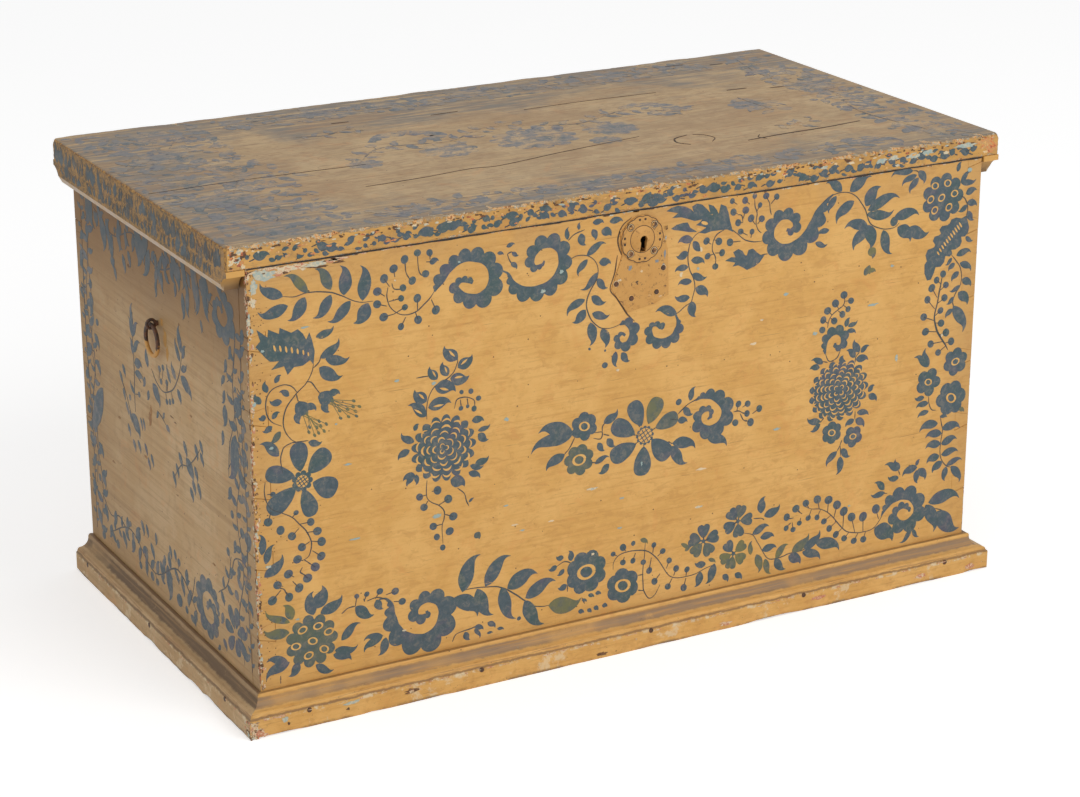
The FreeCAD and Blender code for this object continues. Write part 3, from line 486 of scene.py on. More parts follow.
    def bell(self, u: float, v: float, turn_degrees: float, size: float, dots: Sequence[Tuple[float, float]]) -> None:
        """A bell flower: a swelling body, three pointed lobes at its mouth, and stamens that end in touches.

        Args:
            u, v: Where the stem meets it.
            turn_degrees: The way it opens.
            size: Length of its body.
            dots: The stamens' ends.
        """
        turn = math.radians(turn_degrees)
        way = np.array([math.cos(turn), math.sin(turn)])
        side = np.array([-way[1], way[0]])
        t = np.linspace(0, 1, 10)
        half = size * (0.08 + 0.46 * np.sin(math.pi * np.clip(t * 0.72 + 0.06, 0, 1)))
        path = np.array([u, v]) + way * size * t[:, None]
        self.paint.ribbon(path, half, half)
        mouth = path[-1]
        for spread, reach in ((0.36, 0.62), (0.0, 0.42), (-0.36, 0.62)):
            base = mouth + side * size * spread - way * size * 0.45
            tip = mouth + side * size * spread * 1.9 + way * size * reach * 0.62
            self.leaf((base[0], base[1], tip[0], tip[1], size * 0.5, 10 * np.sign(spread)))
        for du, dv in dots:
            start = mouth + side * self.paint.rng.uniform(-0.25, 0.25) * size
            self.paint.ribbon(np.linspace(start, (du, dv), 4), np.full(4, 0.35), np.full(4, 0.35), 1.0)
            angle = np.linspace(0, 2 * math.pi, 10, endpoint=False)
            x, y = 2.7 * np.cos(angle), 1.7 * np.sin(angle)
            rim = np.stack([du + way[0] * x - way[1] * y, dv + way[1] * x + way[0] * y], axis=1)
            self.paint.outline(rim, 1.0)

    def slit(self, leaf: Leaf) -> None:
        """A light blade laid on the rib of a leaf, from a quarter to two thirds of its length."""
        u0, v0, u1, v1, width = leaf[:5]
        a = np.array([u0, v0]) + 0.22 * np.array([u1 - u0, v1 - v0])
        b = np.array([u0, v0]) + 0.66 * np.array([u1 - u0, v1 - v0])
        t = np.linspace(0, 1, 7)
        half = 0.13 + 0.085 * width * np.sin(math.pi * t)
        self.lines.ribbon(a + (b - a) * t[:, None], half, half)


@dataclass(frozen=True)
class Sprig:
    """One spray of the decoration: its stems, and the leaves, berries and flowers on them, in panel millimetres."""

    stems: Sequence[Points] = ()
    leaves: Sequence[Leaf] = ()
    berries: Sequence[Berry] = ()
    slit_leaves: Sequence[Leaf] = ()
    flowers: Sequence[Tuple[float, ...]] = ()
    scrolls: Sequence[Tuple[int, Points]] = ()
    petals: Sequence[Leaf] = ()
    stem_width: float = 1.1

    def draw(self, brush: Brush) -> None:
        """Lays every part with the brush."""
        for points in self.stems:
            brush.stem(points, self.stem_width)
        for leaf in self.leaves:
            brush.leaf(leaf)
        for leaf in self.slit_leaves:
            brush.leaf(leaf)
            brush.slit(leaf)
        for berry in self.berries:
            brush.berry(berry)
        for flower in self.flowers:
            brush.eyed_flower(flower)
        for outer, points in self.scrolls:
            brush.scroll(points, outer)
        for petal in self.petals:
            brush.petal(petal, petal[5] if len(petal) > 5 else 0.0)

    def mirrored(self) -> "Sprig":
        """The same spray seen in a glass: every u turned round, and bends, lobes and angles with it.

        Returns:
            The turned spray.
        """

        def turn(points: Points) -> List[Tuple[float, ...]]:
            return [(-p[0], *p[1:]) for p in points]

        def turn_leaf(leaf: Leaf) -> Leaf:
            return (-leaf[0], leaf[1], -leaf[2], leaf[3], leaf[4], *[-x for x in leaf[5:6]], *leaf[6:])

        return Sprig(
            stems=[turn(p) for p in self.stems],
            leaves=[turn_leaf(x) for x in self.leaves],
            slit_leaves=[turn_leaf(x) for x in self.slit_leaves],
            berries=[(-b[0], b[1], b[2], *([-b[3], b[4]] if len(b) > 3 else [])) for b in self.berries],
            flowers=[(-f[0], f[1], f[2], f[3], 180 - f[4], *f[5:]) for f in self.flowers],
            scrolls=[(-outer, turn(p)) for outer, p in self.scrolls],
            petals=[(-p[0], p[1], -p[2], *p[3:]) for p in self.petals],
            stem_width=self.stem_width,
        )


# The front: every spray from the left to the right, top border first.

TOP_LEFT = Sprig(stems=[[(-461, 522), (-447, 519.5), (-429, 522), (-405, 518.5), (-391, 513), (-377, 505),
        (-365, 500.5), (-350, 499.5)], [(-331, 513), (-332.5, 502), (-329, 490), (-319, 480), (-307, 476.5),
        (-295, 479), (-285, 486), (-277, 493), (-271, 501)], [(-309, 543), (-308, 528), (-303, 518)],
        [(-293, 548), (-292, 530), (-289, 522), (-284, 520)], [(-326, 517), (-323, 510), (-313, 508)],
        [(-434, 522), (-430, 524), (-428, 521)]],
        leaves=[(-461, 521.5, -488, 541, 13, 5), (-430, 522, -459, 545, 11, -5, 0.9),
        (-402, 521, -421, 548, 13, -7, 0.35), (-386, 512, -390, 547.5, 16, -10),
        (-363, 502, -365, 544, 16, -5), (-455, 510, -492, 508, 14, 11), (-434, 517, -456, 493, 15, 10),
        (-402, 515, -425, 491, 13, 10), (-378, 504, -407, 484, 13, 7), (-356, 498, -375, 477, 17, 12),
        (-277, 535, -266, 535, 7, 5)],
        berries=[(-344.4, 510, 5.3, -335, 503), (-335.6, 524, 5.3, -329, 513.5),
        (-323.4, 534, 5.2, -322, 524), (-309.4, 543, 5.1), (-293, 548.4, 4.4),
        (-277.6, 546.4, 4.2, -277, 538), (-274, 535, 3.6, -282, 536), (-283, 522, 4.6), (-300, 516.4, 4.9),
        (-312, 509.6, 4.3), (-314.6, 497.4, 3.9, -330, 496), (-310, 486, 3.9, -324, 480),
        (-345, 495, 5, -333, 491), (-337, 478.4, 5.3, -324, 480), (-315.4, 463.6, 4.2, -309, 474),
        (-294, 494.4, 5.1, -294, 480), (-293.4, 468.4, 5.1, -297, 479), (-270.4, 476.6, 5.4, -276, 490)],
        scrolls=[(1, [(-272, 499, 1.0), (-266, 511, 6.5), (-253, 526, 6.5), (-236, 535, 7), (-217, 534.5, 8),
        (-201, 526, 8), (-193, 510, 8.5), (-196, 491, 9.5), (-209, 481, 9), (-225, 481, 8), (-239, 488, 7),
        (-246, 500, 5.5), (-239, 507.5, 3.6), (-229, 506.5, 3.6), (-222, 503, 2.8)]), (-1, [(-184, 511, 1),
        (-176, 506, 1.6), (-172, 494, 5), (-164, 484, 7.5), (-150, 478, 8.5), (-133, 478, 8.5),
        (-116, 484, 8.5), (-105, 496, 8.5), (-101, 512, 8), (-105, 528, 8), (-118, 537, 8),
        (-133, 536.5, 7.5), (-144, 527, 6.5), (-147, 515, 5.5), (-141, 508, 4), (-131, 510, 2.2),
        (-128, 515, 1)])],)

SMALL_TWIG = Sprig(stems=[[(-177, 530), (-174, 522), (-167, 512)], [(-177, 530), (-172, 532), (-168, 530)]],
        leaves=[(-178, 539, -167, 540.5, 5, 8), (-190, 533, -182, 530, 4, 8), (-171, 531, -162, 527, 5, -8),
        (-172, 519, -165, 510, 6, 8)],)

LOCK_LEFT = Sprig(stems=[[(-92, 512), (-84, 514.5), (-70, 512.5), (-60, 505), (-55.6, 495), (-57, 482),
        (-65, 470), (-70.4, 458), (-70, 446), (-64, 432), (-54, 422), (-44, 418), (-34, 418), (-23, 420.5)],
        [(-96, 535), (-88, 541), (-74, 545)]],
        leaves=[(-97, 536, -95.5, 551, 6, 8), (-82, 546, -80, 554.5, 4, 5), (-79, 541, -72, 526, 10, -18),
        (-63, 544, -60, 530, 8, 5), (-51, 541, -38, 532, 11, 10), (-63, 552, -48, 549.5, 7, 8),
        (-40, 550, -22, 548, 8, 8), (-71, 513, -45, 524, 9, 8), (-70, 508, -82, 489, 8, -10),
        (-54, 502, -38, 498, 10, 5), (-56, 490, -79, 472, 8, 12), (-56.4, 482, -42, 469, 9, -6),
        (-73, 459, -97, 442, 10, -18), (-64, 461.5, -44, 452, 10, -12), (-72, 446, -90, 433, 12, 10),
        (-63, 440, -39, 435, 10, -5), (-65, 429, -66, 400, 13, 6), (-49, 419, -45, 394, 12, 6),
        (-30, 387, -28, 367, 8, -14), (-22, 384, -10, 372, 9, -6)],
        berries=[(-66.4, 396, 1.8), (-44.8, 390.5, 1.5), (-45, 372, 4)],
        scrolls=[(1, [(-25, 420, 0.8), (-16, 422, 4.5), (-7, 415.5, 6.5), (-5, 403, 6.5), (-12, 393, 6),
        (-22, 392, 5), (-28, 398, 4.5), (-28, 405, 3.5), (-22, 408, 2.2), (-17, 405, 1.6)])],)

LOCK_RIGHT = Sprig(stems=[[(90, 521), (80, 517), (73, 509), (70, 498), (69.6, 486), (72.4, 474), (78, 462),
        (80, 451), (77.6, 440), (75, 433), (67, 429), (56, 422), (48, 422)], [(130, 517), (138, 511),
        (150, 501), (162, 496.5), (176, 495.5)], [(121, 518), (110, 513), (105, 505), (104, 494), (108, 486),
        (109.5, 479)], [(163, 551), (164, 541), (167, 532), (166, 520), (169, 511), (174, 506)], [(139, 534),
        (145, 532), (147, 523)], [(185, 542), (186, 534), (188, 527)], [(175, 478), (184, 478)]],
        leaves=[(76, 512, 55, 510, 10, -5), (69.6, 496, 53, 494, 10, 5), (70, 478, 51.5, 474, 8, -12),
        (75.6, 459, 56, 457, 8, -8), (73, 439, 52, 444, 9, 8), (55, 421, 25, 428, 12, -10),
        (76.4, 509, 90, 497, 9, -8), (74, 486, 93, 479, 9, 8), (76, 468, 97, 462, 9, -8),
        (81, 450, 98, 436, 12, 10), (76, 433.6, 82, 413, 12, -8)],
        berries=[(95.4, 507, 4.6, 102, 502), (113, 504, 4.9, 106, 507), (129, 500.6, 4.9, 144, 500),
        (97.4, 487.6, 4.2, 106, 489), (118, 489, 4.4, 108, 490), (108.6, 473, 4.2, 109, 480),
        (131, 552, 3.6, 138, 547), (149.4, 550.4, 4.4, 156, 545), (163, 554, 3.4),
        (179.6, 552, 4.4, 185, 542), (195, 549, 4.0, 187, 541), (133, 538, 4.6, 139, 535),
        (150.6, 538, 4.8, 147, 528), (171, 541.6, 3.4, 167, 535), (140, 523.6, 4.4, 147, 523),
        (158.6, 526.6, 4.8, 165, 518), (174, 524, 4.4, 168, 518), (144, 512, 4, 154, 506),
        (160.4, 509.6, 3.6, 159, 502)],
        scrolls=[(1, [(53, 421, 1.2), (56.5, 413, 2), (58.5, 403, 5.5), (53, 393, 6), (42, 387.5, 6),
        (29, 388, 6), (19, 394.5, 5.5), (15.5, 405, 5), (20, 412, 3), (27, 412.5, 3), (33, 409, 4.5),
        (36, 405, 2)]), (1, [(278, 541, 0.8), (268, 532, 3.5), (260, 519, 8.5), (253, 504, 10),
        (241, 489, 10), (224, 479, 10), (206, 478, 9.5), (192, 486, 8.5), (185, 500, 7.5), (189, 515, 7),
        (201, 524, 6.5), (214, 524, 6.5), (224, 516, 6), (225, 506, 5.5), (218, 501.5, 4.5),
        (211, 505, 2)])],)

RIGHT_VINE = Sprig(stems=[[(263, 532), (276, 539), (290, 541.5), (302, 539.5), (312, 534), (321, 524),
        (328, 513), (334, 498), (342, 491), (354, 486), (364, 484.5), (374, 485.5), (380, 490)], [(398, 555),
        (404, 554), (407, 551)], [(474, 512), (480, 509), (485, 500), (486, 490), (483, 480)]],
        leaves=[(274, 496, 257, 491, 7, -8), (254, 482, 272, 478, 7, -8), (291, 543, 267, 556, 12, -12),
        (303, 541, 335, 555.5, 16, 6), (283, 538, 273, 517, 9, -8), (310, 528, 285, 502, 14, -16),
        (327.6, 519, 350, 541, 17, 8), (331, 513, 379, 522.5, 14, 9), (330, 508, 371, 508.5, 13, -5),
        (333, 491, 297, 494, 14, -16), (333, 490, 312, 464, 15, -12), (333, 494, 336, 462, 17, 5),
        (356, 484, 371, 451, 14, -5), (372, 498, 410, 496, 14, 8), (378, 485, 398, 463, 17, 10),
        (394, 481, 427, 472, 16, -10), (398, 555, 365, 551, 10, -8), (404, 549, 382, 537, 8, -10),
        (407, 545, 395, 526, 9, -10), (407, 554, 415, 536, 10, 14), (337, 464, 341, 449, 12, 6, 1),
        (330, 437, 338, 429, 14, 5, 0.8), (337, 434, 347, 431, 6, 5, 1), (467, 545, 473, 557, 6, 8),
        (473, 530, 488, 542, 7, 8), (473, 530, 497, 532, 8, -6), (482, 514, 499, 517, 9, 8),
        (485, 503, 500, 496, 9, 5), (485, 499, 471, 493, 7, 8), (486, 491, 497, 478, 9, -8)],
        berries=[(372, 493, 6)],)

RIGHT_COLUMN = Sprig(stems=[[(464, 436), (472, 427), (479, 417), (482, 404), (480, 392), (474, 384),
        (470, 374), (471, 367), (476, 360)], [(459, 219), (462, 207), (464, 197), (462, 181), (462, 165),
        (466, 155), (473, 147), (482, 143)], [(439, 249), (440, 239), (445, 230), (452, 228)], [(466, 308),
        (460, 318), (452, 329)]],
        leaves=[(472, 434, 495, 435, 9, 16), (478, 423, 496, 410, 9, 14), (485, 457, 497, 451, 6, -8),
        (465, 432, 455, 424, 5, 8), (470, 424, 461, 415, 7, -8), (477, 412, 467, 400, 8, -10),
        (483, 401, 497, 389, 10, 8), (480, 393, 464, 388, 6, 8), (478, 384, 493, 365, 13, 10),
        (471, 379, 460, 371, 6, 8), (471, 367, 488, 329, 15, 5), (470, 363, 460, 352, 7, -8),
        (435, 290, 413, 306, 10, -10), (436, 290, 431, 316, 10, 8), (432, 249, 417, 251, 7, 6),
        (439, 240, 420, 236, 8, -10), (440, 229, 423, 222, 7, -10), (459, 218, 470, 215, 5, 6),
        (456, 209, 427, 202, 12, -20), (463, 200, 492, 196, 12, 22), (463, 194, 437, 192, 11, -10),
        (462, 180, 438, 177, 11, -10), (463, 179, 488, 182, 11, 8), (461, 163, 441, 156, 11, -12),
        (464, 164, 491, 164, 10, 4), (466, 154, 451, 141, 11, -12), (473, 148, 498, 151, 8, 5),
        (473, 146, 472, 126, 9, -5), (481, 145, 495, 120, 11, 8), (489, 224, 497, 218, 6, 6, 0.8)],
        flowers=[(479, 290, 19, 6, 20, 5.5), (437, 269, 19.5, 5, 65, 5), (475, 241, 24, 6, 5, 7)],)

RIGHT_BERRIES = Sprig(stems=[[(451, 408), (448, 390), (445, 372), (442, 358), (445, 342), (452, 329),
        (460, 318), (466, 308)]],
        berries=[(452.4, 412.4, 4.8), (442.6, 405.6, 4.6, 449, 400), (435.6, 396, 5.4, 445, 382),
        (457.6, 397, 4.6, 449, 391), (429.6, 381.4, 5, 442, 367), (456.4, 380, 5, 446, 374),
        (425, 359, 5.2, 443, 351), (451, 363.6, 4.6, 443, 358), (429, 338.6, 5.4, 446, 336),
        (453, 346.4, 5.2, 444, 348), (438, 320.6, 5, 457, 321), (461.6, 332.4, 5.4, 452, 331),
        (470.6, 319, 5.2, 461, 318), (450.6, 307, 4.6, 462, 314)],
        stem_width=2.0,)

LEFT_COLUMN = Sprig(stems=[[(-426, 436), (-428, 428), (-435, 416), (-449, 404), (-461, 390), (-465, 376),
        (-464, 364), (-457, 352), (-450, 347)], [(-447, 406), (-453, 414), (-463, 418), (-475, 416),
        (-483, 409), (-486, 398), (-485, 386), (-479, 376), (-467, 369)], [(-426, 432), (-419, 438),
        (-416, 446)], [(-436, 417), (-429, 415), (-423, 406), (-419, 400)], [(-448, 404), (-446, 395)],
        [(-457, 347), (-435, 346)], [(-452, 348), (-464, 344), (-468, 338), (-470, 328), (-468, 312)],
        [(-490, 305), (-491.5, 293), (-489, 281), (-483, 271), (-471, 264), (-459, 257), (-450, 247),
        (-441, 236), (-436, 225), (-435, 215), (-439, 204), (-447, 200)], [(-445, 201), (-439, 196),
        (-436, 193)], [(-447, 192), (-450, 186), (-443, 181)], [(-477, 172), (-471, 169), (-468, 162)]],
        leaves=[(-422, 468, -400, 478, 9, -8), (-417, 442, -394, 462, 11, -10),
        (-411, 440, -381, 438, 12, -5), (-419, 431, -390, 417, 15, -10), (-484, 412, -485, 426, 7, 8),
        (-474, 422, -466, 430, 6, 6), (-457, 404, -469, 410, 7, -8), (-466, 398, -481, 402, 8, 8),
        (-492, 400, -498, 413, 8, 8), (-479, 380, -469, 386, 6, 8), (-486, 383, -495, 384, 7, 6),
        (-479, 371, -491, 367, 7, 8), (-469, 363, -483, 352, 8, 8, 0.3), (-472, 334, -495, 352, 12, -5),
        (-435, 344, -418, 342, 8, -8), (-497, 217, -500, 243, 9, -8), (-493, 205, -481, 227, 9, 8),
        (-495, 189, -472, 213, 13, -14)],
        berries=[(-481, 289, 3.2, -488, 290), (-488, 256, 5.3, -484, 268), (-453, 261, 3.2, -458, 256),
        (-473, 243, 5.4), (-459, 233, 5.2, -450, 241), (-435, 246, 4.9, -448, 246),
        (-427, 233, 5.4, -441, 234), (-447, 217, 5.2, -437, 222), (-422, 219, 5.6, -435, 222),
        (-453, 203, 5.4, -446, 200), (-423, 201, 5.4, -434, 210), (-431, 189, 5.8, -437, 194),
        (-465, 187, 5.6, -458, 182), (-441, 177, 5.8, -449, 186), (-479, 176, 5.3, -472, 173),
        (-452, 167, 5.6, -460, 177), (-486, 158, 5.8, -475, 169), (-465, 158, 5.4, -468, 165)],
        petals=[(-446, 310, -448, 346, 22), (-436, 306, -410, 330, 24), (-431, 294, -401, 279, 26),
        (-443, 288, -432, 253, 20), (-452, 292, -487, 267, 24), (-453, 305, -489, 316, 21)],)

BOTTOM_LEFT = Sprig(stems=[[(-479, 61), (-479, 51)], [(-399, 123), (-391, 128), (-381, 129)], [(-370, 136),
        (-369, 132)], [(-366, 132), (-352, 134), (-338, 127)], [(-254, 55), (-250, 63), (-242, 65.5),
        (-228, 67), (-220, 69)]],
        leaves=[(-435, 129, -434, 159, 15, 16), (-434, 137, -423, 164, 18, -18),
        (-426, 129, -398, 147, 14, -10), (-462, 129, -473, 149, 12, -8, 1), (-465, 126, -495, 147, 9, 4, 1),
        (-466, 113, -498, 123, 13, 5, 0.8), (-400, 89, -375, 106, 11, 5), (-409, 78, -379, 79, 11, -12),
        (-411, 73, -388, 61, 12, 8), (-469, 76, -496, 82, 11, -5), (-467, 76, -497, 59, 13, -10),
        (-455, 73, -469, 58, 11, 10), (-434, 65, -411, 54, 10, -8), (-381, 128, -357, 113, 14, -8),
        (-354, 131, -345, 118, 10, -5), (-346, 83, -371, 82, 8, -10), (-347, 82, -371, 67, 10, -12),
        (-342, 80, -353, 59, 11, 12), (-237, 64, -230, 53, 8, -6), (-224, 65, -217, 52, 5, 6),
        (-224, 68, -212, 62, 7, 6), (-206, 70, -196, 61, 7, 6), (-193, 59, -184, 56, 4, 5),
        (-207, 56, -199, 55, 3, 5)],
        berries=[(-379, 141, 3.2, -381, 129), (-366, 141, 3.4, -369, 134), (-349, 141, 4.2, -355, 133),
        (-329, 137, 4.8, -341, 135), (-320, 122, 4.6, -331, 124), (-163, 66, 2.8)],
        scrolls=[(-1, [(-350, 131, 0.9), (-341, 129.5, 1.4), (-335.5, 120, 4), (-336, 104, 8),
        (-332, 88, 9.5), (-321, 73, 11), (-304, 64, 12), (-286, 63, 12), (-270, 72, 12), (-261.5, 88, 12),
        (-262, 104, 11), (-271, 116, 9), (-285, 120.5, 7.5), (-298, 117, 6.5), (-305.5, 107, 6.5),
        (-303, 97, 6), (-294, 94, 5.5), (-287, 98, 3.6), (-288, 103, 1.5)])],)

BOTTOM_SPRIG = Sprig(stems=[[(-240, 119), (-224, 119), (-208, 117), (-192, 114), (-180, 108), (-168, 99),
        (-156, 89), (-144, 79), (-130, 75), (-120, 75)]],
        leaves=[(-240, 117, -215, 161, 20, 12), (-209, 118, -174, 151, 18, 10), (-179, 109, -137, 120, 20, 8),
        (-154, 91, -112, 105, 17, 5), (-251, 112, -220, 81, 20, 12), (-220, 117, -198, 79, 18, -8),
        (-187, 112, -167, 67, 17, -5), (-155, 88, -128, 52, 18, -10), (-122, 74, -76, 75, 22, -4, 0.9)],
        stem_width=1.4,)

BOTTOM_FLOWERS = Sprig(stems=[[(-110, 124), (-100, 128), (-92, 125), (-89, 121)], [(-95, 97), (-95.5, 87)],
        [(-31, 103), (-30, 113), (-22, 121), (-8, 123), (2, 122), (16, 119), (28, 110), (38, 97), (48, 81),
        (58, 74), (74, 72), (90, 73), (102, 77), (118, 80)], [(15, 131), (14, 113), (12, 95), (12.4, 75),
        (14, 65), (21, 54), (30, 57), (37, 69)], [(5, 88), (12, 88)], [(5, 68), (13, 66)], [(75, 112),
        (86, 113)], [(-75, 75), (-71, 66)]],
        leaves=[(-110, 124, -122, 122, 7, 5), (-101, 133, -111, 137, 7, 5), (-90, 127, -94, 141, 8, -5),
        (-100, 118, -110, 112, 6, 5), (-96, 96, -109, 95, 8, 6), (-75, 72, -68, 68, 4, 5),
        (-66, 77, -58, 72, 5, 5), (-56, 77, -48, 74, 5, 5), (-80, 58, -72, 54, 6, 5),
        (-67, 58, -62, 52, 5, 5), (-58, 59, -52, 53, 6, 5), (-46, 59, -39, 55, 6, 5),
        (67, 118, 83, 112, 5, -6, 0.8), (73, 107, 83, 112, 5, 6, 0.8), (8, 136, 18, 128, 6, 5, 1),
        (104, 83, 88, 88, 9, 5), (97, 74, 88, 55, 11, 5), (117, 81, 104, 56, 12, 5),
        (108, 89, 118, 82, 5, 5, 0.8), (130, 63, 137, 52, 8, 6), (148, 61, 158, 51, 8, 6)],
        berries=[(-17, 130, 4.8, -13, 124), (-31, 124, 3.4, -25, 120), (-17, 110, 4, -15, 117),
        (-2.4, 132.6, 3.2), (27.4, 124.4, 3.6, 26, 114), (40.4, 113.6, 4, 33, 108), (50, 99, 4, 46, 89),
        (60.4, 86, 4.4, 57, 77), (76.4, 81.4, 4, 75, 73), (-2.6, 109.4, 3.8, 1, 119), (12.4, 104.4, 3.8),
        (21, 91.4, 4.4, 24, 108), (29, 75, 4.6, 37, 84), (48.6, 64, 4.4, 55, 74), (72, 57.6, 4.8, 75, 70)],
        flowers=[(-69, 108, 29, 8, 66, 11), (-17, 79, 24, 6, 95, 9.5)],)

BOTTOM_RIGHT = Sprig(stems=[[(160, 114), (173, 109), (181, 97), (188, 85), (196, 73), (206, 69), (220, 70),
        (230, 72), (247, 72), (262, 76), (274, 78)], [(174, 131), (186, 129), (190, 126)], [(227, 120),
        (235, 120)], [(225, 110), (231, 114)], [(240, 129), (248, 123)], [(250, 133), (262, 127), (276, 124),
        (290, 115), (300, 104), (310, 92), (320, 84), (334, 80), (346, 79), (360, 81), (370, 91), (378, 105)],
        [(250, 72), (262, 76)], [(368, 128), (380, 126)], [(396, 155), (399, 148)], [(458, 90), (470, 85)],
        [(422, 69), (423, 74)]],
        leaves=[(185, 136, 191, 158, 12, 8), (190, 131, 213, 143, 12, -8), (173, 110, 198, 116, 10, 5),
        (185, 103, 206, 100, 10, 5), (188, 85, 210, 84, 10, 5), (209, 70, 228, 85, 10, 8, 1),
        (171, 82, 173, 101, 7, 5, 1), (180, 81, 183, 55, 11, 5, 0.8), (193, 72, 203, 50, 9, -6, 0.8),
        (208, 69, 225, 52, 11, -8), (229, 69, 247, 54, 14, 5), (234, 73, 259, 94, 13, -5, 0.6),
        (252, 73, 276, 95, 12, -8), (270, 79, 307, 61, 16, 8), (250, 70, 278, 54, 12, 5),
        (362, 81, 391, 57, 23, 6), (422, 69, 403, 52, 7, 8), (423, 67, 434, 55, 6, -8),
        (375, 132, 359, 144, 9, -8), (376, 128, 354, 129, 8, 5), (396, 155, 374, 166, 9, -5),
        (398, 156, 391, 171, 9, 14), (397, 144, 380, 149, 8, 5), (426, 154, 403, 145, 11, -12),
        (424, 156, 430, 164, 5, 5), (426, 150, 428, 131, 9, -5), (428, 151, 439, 134, 11, 10),
        (447, 100, 497, 97, 18, 16), (443, 98, 457, 57, 18, 5), (462, 85, 499, 55, 23, -10)],
        berries=[(224.4, 123, 5, 230, 120), (238, 132, 5.4, 244, 127), (224, 108, 3.8),
        (234.6, 104, 3.8, 233, 114), (244, 111, 3.6, 246, 118), (253, 136.6, 5, 258, 129),
        (270.6, 138.4, 5.8, 274, 125), (288, 134.4, 6, 287, 117), (301.4, 125, 6.2, 297, 107),
        (312.4, 114, 6.2, 312, 92), (325, 103.6, 6.2, 331, 81), (343, 100.6, 6.5, 344, 79),
        (257.4, 115.4, 4, 262, 126), (271, 113.6, 4, 276, 123), (282, 106, 4.4, 292, 112),
        (290.6, 94.4, 4.6, 301, 102), (301.4, 84, 4.8, 311, 91), (314.6, 76, 4.5, 322, 83),
        (330, 69.4, 4.6, 336, 79), (345, 68.6, 4.8, 348, 79), (363, 107.4, 6.5, 368, 92)],
        scrolls=[(1, [(372, 96, 0.8), (379, 108, 4.5), (388, 117, 7.5), (403, 121, 8.5), (419, 117, 9),
        (430, 105, 9), (432, 90, 9), (423, 78, 9), (409, 74, 8.5), (397, 79, 8), (391, 90, 6.5),
        (396, 100, 4.5), (406, 104, 4.5), (415, 99, 3), (417, 93, 1.5)])],)

CENTRE_LEFT = Sprig(stems=[[(-284, 345), (-284, 360), (-281, 372), (-275, 382), (-265, 388), (-256, 391),
        (-248, 398), (-243, 410), (-245, 417)], [(-248, 352), (-245, 362), (-238, 364), (-230, 363),
        (-222, 358), (-221, 350)], [(-240, 362), (-239, 353)], [(-231, 362), (-230, 354)], [(-285, 269),
        (-286, 257), (-285, 247), (-279, 240), (-269, 234), (-263, 226), (-263, 217), (-266, 207),
        (-265, 185)], [(-245, 252), (-236, 243), (-233, 233), (-230, 226)], [(-297, 398), (-278, 398)]],
        leaves=[(-301, 334, -294, 341, 6, 5), (-301, 320, -317, 334, 9, 10), (-307, 311, -322, 301, 9, -10),
        (-300, 277, -316, 274, 10, -22), (-302, 278, -311, 266, 7, -8), (-299, 279, -300, 266, 6, 5),
        (-225, 333, -209, 330, 9, 8), (-217, 319, -201, 325, 6, -6), (-217, 315, -203, 306, 10, -5),
        (-221, 278, -203, 285, 9, -5), (-228, 277, -210, 274, 7, -8), (-230, 269, -215, 259, 8, 5),
        (-254, 264, -236, 252, 15, 8), (-230, 231, -223, 235, 3, 5), (-222, 190, -217, 181, 9, 5, 0.4)],
        slit_leaves=[(-270, 392, -279, 409, 11, 5), (-256, 394, -262, 412, 11, 5),
        (-243, 412, -260, 431, 15, 5), (-243, 402, -224, 415, 14, -6), (-253, 390, -228, 390, 15, -5),
        (-284, 367, -299, 384, 15, 5), (-273, 383, -246, 373, 17, 6), (-285, 349, -308, 366, 13, -5),
        (-282, 359, -252, 360, 15, 5)],
        berries=[(-238.4, 371, 2.8), (-226, 370, 3.4), (-216, 359.6, 3.4), (-239.4, 351, 3),
        (-230.4, 352, 2.4), (-222, 347.6, 3.6), (-295, 250, 4.6, -286, 251), (-271.4, 254, 5.4, -279, 254),
        (-289.4, 236, 4.8, -284, 243), (-257.4, 240.4, 5.4, -270, 235), (-251, 217, 5.4, -263, 222),
        (-277.6, 209.4, 4.8, -265, 210), (-256, 199, 5.2), (-273, 195, 4.2), (-265.4, 180, 3.8)],)

